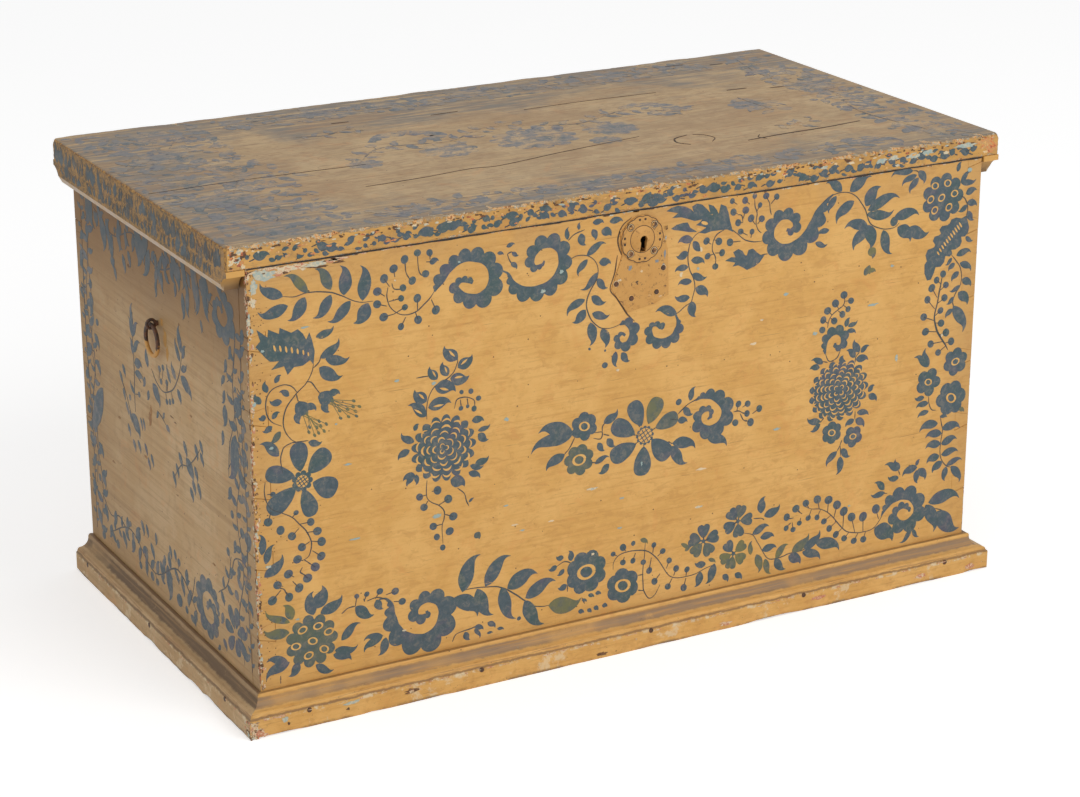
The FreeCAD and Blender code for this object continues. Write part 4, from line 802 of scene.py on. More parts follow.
CENTRE_RIGHT = Sprig(stems=[[(289, 322), (280, 324), (275, 334)], [(282, 322), (293, 326), (298, 336)],
        [(277, 368), (278, 376), (283, 384), (293, 390), (300, 395), (301.5, 402)], [(321, 315), (322, 322),
        (327, 328)], [(276, 248), (271, 243)], [(324, 249), (324, 238)], [(305, 213), (302, 205), (298, 199)],
        [(303, 206), (304, 192)], [(269, 325), (279, 322)]],
        leaves=[(304, 365, 311, 376, 7, 6), (308, 365, 322, 371, 6, -6), (307, 360, 320, 354, 6, 6),
        (327, 328, 319, 346, 10, 5), (329, 327, 342, 334, 7, 5), (321, 322, 307, 333, 9, -6),
        (322, 319, 341, 315, 10, 6), (272, 322, 254, 328, 8, -6), (267, 317, 252, 317, 8, -5),
        (299, 318, 303, 327, 7, 5), (343, 272, 353, 279, 7, 5), (344, 268, 356, 257, 9, 5),
        (271, 244, 251, 252, 9, 6), (271, 241, 256, 234, 7, 6), (327, 247, 345, 240, 8, 6),
        (323, 238, 310, 230, 8, -6), (325, 238, 338, 225, 10, 10), (298, 199, 283, 181, 9, -8),
        (304, 191, 298, 167, 10, 8), (305, 201, 319, 189, 9, -6)],
        berries=[(300, 407.6, 5.2, 302, 398), (287.6, 398.4, 5.4, 293, 390), (276, 390.4, 5.2, 283, 384),
        (270, 379.4, 4.8, 277, 374), (269, 366.4, 4.6), (311, 398.4, 4.4, 303, 399), (307, 388, 4, 300, 394),
        (298.6, 382.4, 4.6, 292, 388), (286.6, 375.6, 4.8, 281, 380)],
        flowers=[(289, 226, 15.5, 6, 30, 5), (322, 215, 15, 5, 50, 4.6)],
        scrolls=[(1, [(275, 334, 1.2), (273, 344, 3.6), (275, 354, 5), (283, 361, 5.6), (294, 362, 5.8),
        (302, 355, 5.8), (303, 345, 5.2), (297, 339, 4.2), (290, 341, 3), (289, 346, 1.5)])],)

CENTRE_SPRAY = Sprig(stems=[[(-86, 287), (-93, 275), (-100, 268)], [(-58, 288), (-48, 287), (-50, 279),
        (-60, 281)], [(-48, 287), (-47, 295), (-40, 301)], [(-46, 284), (-38, 281)], [(-64, 250), (-50, 249)],
        [(59, 291), (66, 297), (76, 303), (90, 307)], [(48, 287), (59, 284)], [(52, 254), (46, 258)],
        [(140, 280), (148, 280), (155, 275)], [(150, 276), (154, 268), (160, 264)], [(27, 279), (22, 277)],
        [(17, 286), (18, 292)], [(5, 284), (1, 290)], [(-6, 276), (2, 274)], [(-2, 263), (4, 266)],
        [(11, 258), (11, 262)]],
        leaves=[(-88, 291, -136, 301, 20, -9), (-91, 289, -146, 276, 16, -10), (-100, 268, -125, 251, 13, -5),
        (-54, 274, -44, 263, 8, -5), (-41, 277, -29, 266, 9, -5), (-58, 248, -38, 253, 7, 5),
        (-38, 244, -53, 235, 9, 10), (-46, 298, -27, 313, 11, -10), (59, 283, 73, 279, 9, 5),
        (67, 298, 81, 288, 9, -5), (76, 306, 84, 323, 8, 6), (52, 255, 85, 242, 15, 10),
        (51, 251, 74, 225, 14, -10), (102, 254, 131, 237, 13, 5)],
        berries=[(60, 307, 4.2), (147, 289.4, 4.3, 145, 281), (160.6, 287.4, 4.3, 153, 284),
        (178, 278, 4.6, 168, 273), (160, 274.6, 4.3, 153, 277), (165.6, 262, 5.2, 158, 266),
        (143, 265.4, 4.6)],
        flowers=[(-73, 299, 18.5, 6, 35, 6.5), (-80, 257, 20.5, 7, 20, 8, 0.5)],
        scrolls=[(1, [(84, 305, 0.9), (95, 309, 4), (108, 308.5, 6.5), (121, 301, 8), (130, 289, 8.5),
        (129, 274, 8.5), (119, 263.5, 8), (105, 260.5, 8), (93, 265.5, 7.5), (87, 276, 6.5), (90, 287, 5),
        (98, 291.5, 4), (106, 289, 3.2), (107, 281, 2.6), (102, 277, 1)])],
        petals=[(7, 285, -6, 319, 22), (17, 286, 32, 318, 22, 0.8), (27, 279, 59, 290, 20, 0.3),
        (22, 265, 47, 237, 25), (11, 258, 8, 220, 24), (0, 263, -36, 250, 24), (-2, 276, -34, 295, 23)],)

FRONT_SPRIGS = (TOP_LEFT, SMALL_TWIG, LOCK_LEFT, LOCK_RIGHT, RIGHT_VINE, RIGHT_COLUMN, RIGHT_BERRIES, LEFT_COLUMN,
                BOTTOM_LEFT, BOTTOM_SPRIG, BOTTOM_FLOWERS, BOTTOM_RIGHT, CENTRE_LEFT, CENTRE_RIGHT, CENTRE_SPRAY)


# The left end, measured forwards from its middle; the right end is its mirror.

END_FRAME = Sprig(stems=[[(241, 470), (236, 445), (231, 428), (222, 416), (211, 408)], [(238, 396),
        (226, 360), (212, 330), (206, 290)], [(203, 165), (214, 190), (240, 196), (262, 186)], [(240, 410),
        (262, 400)], [(205, 300), (232, 330)], [(-232, 500), (-236, 440), (-230, 380), (-238, 320),
        (-228, 270)], [(-240, 250), (-236, 190), (-246, 130)], [(-230, 120), (-200, 100), (-170, 108),
        (-140, 96)], [(120, 505), (122, 470)], [(60, 70), (75, 92), (86, 120)]],
        leaves=[(121, 518, 126, 464, 20, 5), (158, 518, 166, 466, 20, -5), (139, 462, 140, 446, 6, 5),
        (141, 512, 143, 492, 8, 5), (262, 486, 255, 466, 10, 5), (262, 462, 252, 446, 9, -5),
        (226, 456, 217, 438, 8, 5), (212, 436, 203, 418, 8, 5), (259, 436, 250, 420, 8, 5),
        (206, 414, 196, 398, 8, -5), (204, 396, 194, 378, 8, 5), (203, 378, 196, 350, 14, 5),
        (246, 376, 262, 362, 9, 5), (194, 344, 188, 324, 8, 5), (231, 350, 206, 290, 25, 8),
        (248, 340, 262, 318, 12, 5), (236, 312, 256, 292, 12, -5), (212, 280, 200, 262, 10, 5),
        (248, 280, 262, 262, 9, 5), (203, 176, 198, 160, 9, 5), (219, 216, 212, 198, 9, 5),
        (237, 208, 243, 190, 9, 5), (259, 198, 252, 180, 9, 5), (226, 186, 222, 168, 9, 5),
        (-229, 380, -240, 360, 10, 5), (-237, 392, -226, 376, 9, 5), (-258, 444, -266, 420, 12, 5),
        (-233, 484, -238, 462, 11, 5), (-206, 272, -271, 206, 28, 8), (-225, 504, -232, 484, 12, 5),
        (-204, 508, -198, 488, 10, 5), (-179, 508, -176, 462, 20, 5), (-153, 492, -150, 456, 15, 5),
        (-141, 452, -137, 434, 8, 5), (-109, 476, -104, 452, 10, 5), (-89, 486, -86, 464, 9, 5),
        (-53, 522, -58, 474, 26, 5), (-17, 506, -42, 468, 15, 8), (-1, 470, -3, 450, 7, 5),
        (11, 490, 14, 470, 8, 5), (3, 506, -2, 486, 9, 5), (51, 508, 55, 488, 9, 5), (63, 486, 60, 468, 8, 5),
        (85, 480, 82, 446, 11, 5), (101, 486, 104, 454, 11, -5), (95, 512, 90, 490, 10, 5),
        (26, 514, 30, 486, 11, 5), (74, 514, 70, 496, 9, 5), (-70, 508, -76, 488, 9, 5),
        (-124, 506, -120, 476, 12, 5), (-250, 470, -262, 458, 9, 5), (-244, 346, -262, 330, 11, 5),
        (-226, 340, -212, 322, 11, 5), (-240, 316, -258, 296, 12, -5), (-222, 306, -214, 286, 10, 5),
        (-240, 240, -222, 220, 11, 5), (-262, 196, -248, 176, 12, 5), (-232, 190, -218, 172, 11, 5),
        (-246, 166, -262, 150, 11, 5), (-226, 150, -216, 130, 11, 5), (-256, 132, -262, 110, 12, 5),
        (-89, 132, -84, 112, 8, 5), (-73, 132, -70, 114, 8, 5), (5, 132, 8, 114, 8, 5),
        (20, 132, 23, 116, 8, 5), (-5, 102, -5, 54, 20, 5), (-41, 132, -44, 114, 8, 5),
        (-13, 112, -18, 96, 8, 5), (23, 102, 30, 88, 8, 5), (60, 120, 52, 100, 10, 5), (72, 96, 58, 82, 9, 5),
        (40, 100, 46, 78, 10, 5), (-30, 98, -22, 74, 11, 5), (-60, 112, -52, 90, 10, 5),
        (-76, 98, -84, 76, 10, 5), (-100, 116, -108, 94, 11, 5), (-120, 96, -130, 74, 12, 5),
        (-140, 118, -146, 96, 10, 5), (-160, 92, -150, 70, 11, 5), (-182, 112, -190, 90, 11, 5),
        (-200, 86, -210, 66, 11, 5), (-222, 108, -216, 84, 11, 5), (-250, 92, -240, 68, 12, 5),
        (168, 132, 176, 116, 9, 5), (172, 106, 164, 90, 9, 5), (170, 72, 178, 58, 9, 5),
        (262, 232, 250, 214, 10, 5), (252, 152, 262, 134, 9, 5), (160, 58, 150, 52, 6, 5),
        (66, 62, 80, 52, 9, 5)],
        berries=[(241, 388, 11), (257, 230, 9.5), (31, 68, 9), (252, 404, 4), (262, 346, 5), (246, 300, 4),
        (212, 246, 5), (-266, 386, 5), (-214, 358, 5), (-262, 274, 6), (-222, 252, 5), (-262, 226, 6),
        (-100, 66, 5), (-60, 66, 6), (-180, 66, 6), (-232, 60, 6), (54, 64, 5)],
        scrolls=[(1, [(190, 520, 2), (204, 511, 6), (222, 502, 9), (231, 486, 10), (222, 470, 10),
        (205, 464, 9), (188, 472, 8), (183, 486, 6.5), (190, 498, 5), (201, 498, 4), (206, 489, 2.5)]), (-1,
        [(158, 96, 2), (154, 108, 5), (141, 121, 8), (121, 124, 9), (103, 113, 9.5), (98, 93, 9.5),
        (108, 73, 9.5), (129, 66, 9), (146, 75, 8), (149, 90, 7), (140, 101, 5.5), (128, 101, 4.5),
        (121, 92, 3)])],
        petals=[(206, 98, 191, 124, 15), (211, 100, 216, 128, 15), (214, 95, 238, 106, 15),
        (203, 93, 178, 97, 15), (205, 88, 187, 68, 15), (211, 87, 216, 66, 15), (214, 90, 240, 76, 15)],
        stem_width=1.6,)

END_SPRAYS = Sprig(stems=[[(-85, 408), (-89, 384), (-88, 336), (-91, 300), (-91, 276)], [(75, 400), (63, 372),
        (43, 348), (19, 336), (3, 334), (-14, 340), (-28, 352)], [(-15, 302), (0, 298), (12, 292)],
        [(-85, 330), (-66, 322)], [(20, 336), (26, 352)], [(-137, 306), (-122, 292), (-108, 270), (-92, 250)],
        [(31, 230), (56, 254), (80, 262), (104, 280), (120, 296)]],
        leaves=[(-88, 384, -84, 420, 9, 5), (-89, 376, -100, 398, 9, -5), (-88, 376, -68, 398, 9, 5),
        (-89, 352, -98, 372, 9, -5), (-88, 356, -64, 374, 9, 5), (-86, 342, -60, 343, 13, 5),
        (-86, 330, -58, 326, 10, 5), (-90, 300, -104, 314, 7, 5), (73, 402, 70, 436, 12, 5),
        (68, 390, 56, 416, 9, 5), (76, 396, 88, 414, 9, 5), (70, 380, 88, 392, 9, -5),
        (66, 390, 59, 406, 7, 5), (52, 362, 40, 382, 10, 5), (68, 372, 100, 350, 16, 5),
        (56, 352, 64, 334, 10, 5), (34, 352, 25, 374, 8, 5), (-26, 334, -6, 308, 18, 5),
        (-40, 350, -42, 374, 11, 5), (-52, 334, -60, 320, 8, 5), (-41, 320, -48, 306, 8, 5),
        (-12, 302, -20, 292, 6, 5), (4, 298, 10, 306, 6, 5), (12, 292, 24, 284, 8, 5),
        (-141, 316, -133, 300, 7, 5), (-129, 328, -122, 312, 8, 5), (-131, 296, -127, 280, 7, 5),
        (-124, 280, -117, 264, 7, 5), (-112, 272, -106, 256, 7, 5), (-104, 270, -80, 244, 20, 5),
        (-75, 274, -70, 258, 6, 5), (-66, 276, -62, 260, 6, 5), (-120, 252, -114, 236, 7, 5),
        (-104, 236, -98, 220, 8, 5), (-88, 240, -80, 224, 8, 5), (-64, 244, -58, 228, 7, 5),
        (-55, 228, -50, 212, 7, 5), (-44, 236, -38, 220, 7, 5), (28, 238, 35, 218, 8, 5),
        (40, 252, 46, 234, 8, 5), (51, 270, 59, 250, 9, 5), (68, 290, 75, 270, 9, 5),
        (74, 270, 94, 244, 18, 5), (100, 268, 107, 250, 9, 5), (104, 298, 110, 278, 9, 5),
        (120, 308, 126, 290, 8, 5), (120, 292, 128, 276, 8, 5), (108, 250, 114, 230, 9, 5),
        (92, 248, 98, 230, 9, 5), (84, 236, 90, 218, 9, 5)],
        berries=[(-1, 360, 4.4, -4, 344), (11, 365, 4.2, 8, 350), (21, 349, 4, 18, 338), (3, 345, 4),
        (19, 324, 4, 16, 336), (29, 327, 4), (39, 331, 4, 34, 344), (-75, 304, 4, -90, 300), (-108, 290, 4)],
        stem_width=1.4,)

# Vines along the four sides of an end: control points, distance from leaf to leaf, and their length.

END_TOP_ROW: List[Leaf] = [
    (-222, 531, -238, 486, 20, 10), (-222, 531, -204, 484, 20, -10), (-222, 533, -221, 494, 16, 4), (-162, 508, -158, 468, 11, 6),
    (-147, 464, -146, 448, 14, 4), (-62, 530, -58, 496, 15, 8), (-22, 524, -34, 482, 17, -10), (12, 500, 8, 470, 8, 4),
    (20, 488, 26, 462, 8, -6), (2, 486, -4, 462, 8, 6), (54, 518, 74, 478, 18, 10), (88, 530, 86, 484, 12, 5),
    (97, 500, 100, 470, 9, 4), (117, 533, 122, 466, 17, 8), (152, 533, 166, 478, 16, -8), (-190, 522, -186, 492, 9, 5),
    (-118, 520, -112, 488, 10, -6), (-96, 512, -100, 484, 8, 6), (36, 524, 34, 496, 9, 6)]
END_VINES = (([(233, 62), (222, 120), (240, 180), (226, 250), (244, 320), (228, 400), (242, 480)], 13, 19),
    ([(255, 62), (251, 160), (256, 260), (250, 360), (256, 480)], 12, 11), ([(-240, 62), (-226, 140),
    (-250, 220), (-230, 300), (-248, 380), (-232, 460), (-240, 520)], 13, 19), ([(-257, 62), (-252, 200),
    (-258, 340), (-252, 500)], 12, 11), ([(-206, 512), (-140, 492), (-70, 512), (10, 490), (90, 510),
    (180, 488)], 13, 18), ([(-206, 74), (-130, 104), (-50, 74), (30, 108), (90, 72)], 13, 19), ([(160, 128),
    (190, 150), (204, 190)], 13, 16),)

# Ragged light patches of the front, each with its middle u, v, its length and its height.

FRONT_PATCHES = (
    (-322, 399, 7, 5), (-275, 388, 8, 5), (-379, 214, 22, 3), (-273, 222, 15, 7), (-179, 327, 8, 6), (-62, 216, 22, 4),
    (95, 213, 20, 4), (205, 246, 14, 4), (167, 365, 12, 4), (213, 422, 9, 5), (345, 388, 21, 4), (258, 363, 8, 7),
    (-168, 190, 12, 3), (-158, 181, 8, 3), (-118, 185, 10, 3), (-180, 217, 9, 3), (-20, 196, 10, 3), (-22, 157, 8, 3),
    (92, 163, 12, 4), (-27, 363, 6, 4), (-387, 308, 12, 3), (-435, 482, 14, 3), (-322, 520, 4, 3), (372, 435, 7, 4),
    (385, 310, 5, 12), (178, 394, 6, 3), (-488, 462, 6, 4), (-490, 201, 10, 5), (486, 545, 9, 7), (-481, 345, 7, 4),
    (-455, 128, 6, 3), (-318, 84, 7, 3), (60, 470, 6, 9), (88, 498, 5, 8), (84, 474, 5, 6), (-240, 530, 5, 3), (-130, 478, 9, 5),
    (-105, 498, 6, 8), (320, 120, 5, 3), (455, 330, 4, 6), (-60, 130, 6, 4), (-400, 360, 5, 3), (8, 236, 3, 8),
)

# The leaves and berries of the lid's front edge: middle u, v and half-length.

EDGE_MARKS = ((-503, 574, 4), (-486, 572, 8), (-467, 569, 4), (-457, 570, 4), (-446, 576, 4), (-433, 572, 4),
    (-441, 566, 4), (-411, 575, 8), (-401, 568, 7), (-376, 576, 5), (-356, 578, 4), (-359, 567, 4),
    (-348, 568, 4), (-337, 571, 5), (-325, 569, 4), (-318, 578, 4), (-308, 569, 5), (-296, 569, 4),
    (-282, 570, 10), (-263, 574, 5), (-258, 573, 10), (-249, 572, 9), (-241, 576, 5), (-225, 568, 5),
    (-221, 576, 4), (-209, 568, 4), (-206, 576, 5), (-197, 577, 4), (-191, 568, 5), (-172, 575, 7),
    (-168, 567, 7), (-160, 574, 4), (-148, 575, 5), (-128, 576, 7), (-130, 569, 7), (-106, 568, 6),
    (-93, 576, 5), (-92, 569, 4), (-77, 569, 6), (-61, 577, 4), (-60, 566, 4), (-45, 570, 6), (-35, 575, 5),
    (-12, 570, 7), (8, 573, 9), (17, 568, 8), (27, 571, 9), (42, 576, 5), (51, 568, 5), (62, 576, 4),
    (72, 569, 5), (88, 573, 6), (103, 571, 9), (118, 570, 6), (138, 568, 5), (156, 568, 5), (168, 576, 5),
    (183, 569, 6), (212, 575, 7), (232, 567, 6), (247, 567, 6), (262, 572, 6), (277, 572, 7), (298, 570, 6),
    (317, 569, 6), (326, 574, 6), (343, 568, 5), (362, 571, 6), (381, 572, 6), (396, 570, 6), (412, 573, 9),
    (428, 569, 6), (443, 570, 6), (456, 573, 5), (475, 569, 7), (488, 574, 5),)


def scatter(brush: Brush, low: Tuple[float, float], high: Tuple[float, float], pitch: float, size: float, lean: float,
            spread: float, rng: np.random.Generator, kept: float = 1.0) -> None:
    """Fills a field with small leaves, set on a lattice, each moved and turned by chance.

    Args:
        brush: What they are painted with.
        low, high: The field's corners.
        pitch: Distance between them.
        size: Their length.
        lean: Degrees from along that they point to.
        spread: Chance turn to either side in degrees.
        rng: The source of chance.
        kept: The share of places that is used.
    """
    u, v = np.meshgrid(np.arange(low[0], high[0], pitch), np.arange(low[1], high[1], pitch))
    places = np.stack([u.ravel(), v.ravel()], axis=1)
    places = places + rng.uniform(-0.4, 0.4, places.shape) * pitch
    for place, chance in zip(places, rng.uniform(0, 1, len(places))):
        if chance > kept:
            continue
        turn = math.radians(lean + rng.uniform(-spread, spread))
        long = size * rng.uniform(0.65, 1.35)
        u0, v0 = place
        u1, v1 = u0 + long * math.cos(turn), v0 + long * math.sin(turn)
        if chance < 0.16 * kept:
            brush.berry((u0, v0, long * 0.24))
        elif low[0] <= u1 <= high[0] and low[1] <= v1 <= high[1]:
            brush.leaf((u0, v0, u1, v1, long * rng.uniform(0.34, 0.5), rng.uniform(-14, 14)))


def leafy_vine(brush: Brush, points: Points, pitch: float, size: float, rng: np.random.Generator,
               width: float = 1.2) -> None:
    """A vine with leaves to its left and right by turns, one to each pitch of its length, and a berry now and then.

    Args:
        brush: What it is painted with.
        points: Control points of the stem.
        pitch: Distance from leaf to leaf.
        size: Their length.
        rng: The source of chance.
        width: The stem's width.
    """
    brush.stem(points, width)
    path = smooth_path(points, 12)
    along, out = sideways(path)
    run = np.concatenate([[0], np.cumsum(np.linalg.norm(np.diff(path, axis=0), axis=1))])
    for number, at in enumerate(np.arange(pitch / 2, run[-1], pitch)):
        i = int(np.searchsorted(run, at))
        side = 1 if number % 2 else -1
        long = size * rng.uniform(0.75, 1.3)
        way = along[i] * rng.uniform(0.35, 0.9) + out[i] * side
        way = way / np.linalg.norm(way) * long
        u, v = path[i]
        if number % 7 == 5:
            brush.berry((u + way[0] * 0.6, v + way[1] * 0.6, long * 0.26, u, v))
        else:
            brush.leaf((u, v, u + way[0], v + way[1], long * rng.uniform(0.36, 0.5), side * rng.uniform(4, 14)))


def ragged_patches(strokes: Strokes, patches: Sequence[Tuple[float, ...]], points: int = 13) -> None:
    """Lays ragged patches: ovals whose reach goes up and down by chance between 0.45 and 1.

    Args:
        strokes: Where they are laid.
        patches: Middle u, v, length and height of each, and the layer it shows if that isn't left to chance.
        points: Corners of each.
    """
    angle = np.linspace(0, 2 * math.pi, points, endpoint=False)
    for u, v, long, tall, *tone in patches:
        reach = strokes.rng.uniform(0.45, 1.0, points)
        rim = np.stack([u + long / 2 * reach * np.cos(angle), v + tall / 2 * reach * np.sin(angle)], axis=1)
        chance = float(strokes.rng.uniform(0, 1))
        strokes.outline(rim, tone[0] if tone else chance)


# ---------------------------------------------------------------- shader graphs


class GrainWay(Enum):
    """Which way the grain of a board runs: how many fibres lie in a metre along each axis."""

    ALONG_X = (7.0, 320.0, 320.0)
    ALONG_Y = (320.0, 7.0, 320.0)
    ALONG_Z = (320.0, 320.0, 7.0)


# What shows where paint is gone, from the lowest noise value up.

EDGE_LAYERS = ((0.0, Tint.BROWN), (0.4, Tint.PINE_DARK), (0.46, Tint.RED_LEAD), (0.51, Tint.CREAM),
               (0.57, Tint.PALE_BLUE), (0.66, Tint.CREAM))
LID_LAYERS = ((0.0, Tint.DARK), (0.4, Tint.BROWN), (0.45, Tint.ORANGE), (0.49, Tint.OCHRE), (0.53, Tint.CREAM),
              (0.57, Tint.PINE_DARK), (0.61, Tint.PALE_BLUE), (0.66, Tint.CREAM))
PLINTH_LAYERS = ((0.0, Tint.BROWN), (0.44, Tint.RED_LEAD), (0.5, Tint.CREAM), (0.58, Tint.PALE_BLUE))

# The sockets of each shared group, by kind: what goes in, and what comes out.

GROUP_SOCKETS: Dict[str, Tuple[Dict[str, str], Dict[str, str]]] = {
    "arris_distance": ({"Vector": "Place Low High"}, {"Float": "Distance"}),
    "brushed_ground": ({"Vector": "Place Grain", "Color": "Base Light Deep", "Float": "Dirt"},
                       {"Color": "Colour", "Float": "Height Cloud"}),
    "chipped_edge": ({"Vector": "Place", "Float": "Distance Reach"}, {"Float": "Mask", "Color": "Colour"}),
    "pine_grain": ({"Vector": "Place Grain", "Color": "Base Deep"}, {"Color": "Colour", "Float": "Height"}),
}


@dataclass
class Graph:
    """A short way to add shader nodes to one tree and to join them."""

    tree: bpy.types.NodeTree

    def fill(self, node: Node, inputs: Inputs) -> Node:
        """Fills a node's inputs: sockets are joined, plain values and the values of options are set."""
        for key, value in inputs.items():
            if isinstance(value, bpy.types.NodeSocket):
                self.tree.links.new(value, node.inputs[key])
            else:
                node.inputs[key].default_value = value.value if isinstance(value, Enum) else value
        return node

    def add(self, kind: str, inputs: Optional[Inputs] = None, **settings: object) -> Node:
        """Adds a node.

        Args:
            kind: Its type, without the ShaderNode in front.
            inputs: Values, options or sockets for its inputs.
            **settings: Its own settings.

        Returns:
            The node.
        """
        node = self.tree.nodes.new("ShaderNode" + kind)
        for name, value in settings.items():
            setattr(node, name, value)
        return self.fill(node, inputs or {})

    def math(self, operation: str, a: Value, b: Value = 0.0, c: Value = 0.0, clamp: bool = False) -> Socket:
        """One sum on numbers."""
        return self.add("Math", {0: a, 1: b, 2: c}, operation=operation, use_clamp=clamp).outputs[0]

    def times(self, a: Value, b: Value) -> Socket:
        """The product of two numbers."""
        return self.math("MULTIPLY", a, b)

    def plus(self, a: Value, b: Value) -> Socket:
        """The sum of two numbers."""
        return self.math("ADD", a, b)

    def less(self, a: Value, b: Value) -> Socket:
        """The first number less the second."""
        return self.math("SUBTRACT", a, b)

    def rest(self, a: Value) -> Socket:
        """What a share leaves of 1."""
        return self.math("SUBTRACT", 1.0, a)

    def most(self, a: Value, b: Value) -> Socket:
        """The larger of two numbers."""
        return self.math("MAXIMUM", a, b)

    def least(self, a: Value, b: Value) -> Socket:
        """The smaller of two numbers."""
        return self.math("MINIMUM", a, b)

    def swing(self, noise: Socket, reach: float) -> Socket:
        """A noise from 0 to 1, turned into one that goes half a reach down and up."""
        return self.times(self.less(noise, 0.5), reach)

    def vector(self, operation: str, a: object, b: object) -> Socket:
        """One sum on places."""
        return self.add("VectorMath", {0: a, 1: b}, operation=operation).outputs[0]

    def parts(self, place: Socket) -> Sequence[Socket]:
        """The three numbers of a place or a colour."""
        return self.add("SeparateXYZ", {0: place}).outputs

    def scaled(self, vector: Socket, x: float, y: float) -> Socket:
        """A place stretched along the first two axes."""
        return self.add("Mapping", {0: vector, "Scale": (x, y, 1.0)}).outputs[0]

    def attribute(self, name: str) -> Socket:
        """A number that the mesh carries at its points."""
        return self.add("Attribute", attribute_name=name).outputs["Fac"]

    def mix(self, share: Value, a: object, b: object) -> Socket:
        """One colour over another by a share."""
        node = self.add("Mix", {0: share, 6: a, 7: b}, data_type="RGBA", blend_type="MIX", clamp_factor=True)
        return node.outputs[2]

    def over(self, colour: object, paint: object, mask: Value, share: Value) -> Socket:
        """A paint laid over a colour where a mask lets it, and no more than a share of it."""
        return self.mix(self.times(mask, share), colour, paint)

    def noise(self, place: Socket, scale: float, detail: float = 3.0, rough: float = 0.55,
              warp: float = 0.0) -> Socket:
        """Cloudy noise from 0 to 1."""
        return self.add("TexNoise", {"Vector": place, "Scale": scale, "Detail": detail, "Roughness": rough,
                                     "Distortion": warp}).outputs[0]

    def step(self, value: Value, low: Value, high: Value) -> Socket:
        """0 below low, 1 above high, and smooth between."""
        return self.add("MapRange", {"Value": value, "From Min": low, "From Max": high},
                        interpolation_type="SMOOTHSTEP").outputs[0]

    def ramp(self, value: Socket, stops: Sequence[Tuple[float, Tint]], sharp: bool = False) -> Socket:
        """Colours laid along 0 to 1."""
        node = self.add("ValToRGB", {0: value})
        node.color_ramp.interpolation = "CONSTANT" if sharp else "LINEAR"
        steps = node.color_ramp.elements
        while len(steps) < len(stops):
            steps.new(0.5)
        for step, (at, tint) in zip(steps, stops):
            step.position, step.color = at, tint.value
        return node.outputs[0]

    def shared(self, build: Callable[["Graph", Sockets], Sockets], **inputs: object) -> Node:
        """Places a shared group with its own values."""
        node = self.add("Group", node_tree=shared_group(build))
        return self.fill(node, inputs)


def shared_group(build: Callable[[Graph, Sockets], Sockets]) -> bpy.types.NodeTree:
    """Makes a shader node group once.

    Args:
        build: Lays its nodes from the input sockets and returns the output ones; its name is the group's.

    Returns:
        The group, the same one when it is asked for again.
    """
    name = build.__name__
    if name in bpy.data.node_groups:
        return bpy.data.node_groups[name]
    group = bpy.data.node_groups.new(name, "ShaderNodeTree")
    for way, kinds in zip(("INPUT", "OUTPUT"), GROUP_SOCKETS[name]):
        for kind, titles in kinds.items():
            for title in titles.split():
                group.interface.new_socket(title, in_out=way, socket_type="NodeSocket" + kind)
    entry, leave = group.nodes.new("NodeGroupInput"), group.nodes.new("NodeGroupOutput")
    g = Graph(group)
    g.fill(leave, build(g, {socket.name: socket for socket in entry.outputs if socket.name}))
    return group


def arris_distance(g: Graph, i: Sockets) -> Sockets:
    """How far a point on a board is from its nearest edge.

    With a, b and c the depths below the three pairs of faces, it is the middle one of the three.
    """
    below, above = g.vector("SUBTRACT", i["Place"], i["Low"]), g.vector("SUBTRACT", i["High"], i["Place"])
    a, b, c = g.parts(g.vector("MINIMUM", below, above))
    return {"Distance": g.most(g.least(a, b), g.least(g.most(a, b), c))}


def brushed_ground(g: Graph, i: Sockets) -> Sockets:
    """Old ground paint: cloudy colour, fine streaks along the board, specks of dirt and worm holes."""
    place, light, deep = i["Place"], i["Light"], i["Deep"]
    grain = g.vector("MULTIPLY", place, i["Grain"])
    cloud, fine = g.noise(place, 14.0, 4.0, 0.6, 0.4), g.noise(place, 70.0, 4.0, 0.65)
    streak = g.noise(grain, 1.0, 4.0, 0.6, 0.3)
    colour = g.mix(g.step(cloud, 0.38, 0.66), i["Base"], light)
    colour = g.over(colour, deep, g.step(fine, 0.52, 0.72), i["Dirt"])
    colour = g.over(colour, deep, g.step(streak, 0.5, 0.72), 0.42)
    colour = g.over(colour, light, g.step(streak, 0.5, 0.3), 0.35)
    drawn = g.vector("ADD", g.vector("MULTIPLY", grain, (6.0, 0.34, 0.34)), place)
    crackle = g.noise(drawn, 1.0, 6.0, 0.72, 0.6)
    colour = g.over(colour, deep, g.step(crackle, 0.5, 0.62), 0.42)
    colour = g.over(colour, light, g.step(crackle, 0.46, 0.34), 0.5)
    warm = g.step(g.noise(place, 30.0, 6.0, 0.75, 1.0), 0.54, 0.64)
    colour = g.over(colour, g.mix(0.5, i["Base"], Tint.ORANGE), warm, 0.3)
    cells = g.add("TexVoronoi", {"Vector": place, "Scale": 62.0, "Randomness": 1.0})
    some = g.parts(cells.outputs["Color"])[0]
    hole = g.times(g.math("LESS_THAN", cells.outputs["Distance"], 0.06), g.math("GREATER_THAN", some, 0.5))
    crumbs = g.step(g.noise(place, 420.0, 2.0, 0.6), 0.68, 0.74)
    scratch = g.step(g.noise(g.vector("MULTIPLY", grain, (2.6, 2.6, 2.6)), 1.0, 2.0, 0.5), 0.7, 0.76)
    speck = g.most(g.most(g.times(hole, 0.85), g.times(crumbs, i["Dirt"])), g.times(scratch, 0.4))
    height = g.less(g.math("MULTIPLY_ADD", crackle, 0.5, g.times(streak, 0.6)), g.times(hole, 0.25))
    return {"Colour": g.mix(speck, colour, Tint.BROWN), "Height": height, "Cloud": cloud}


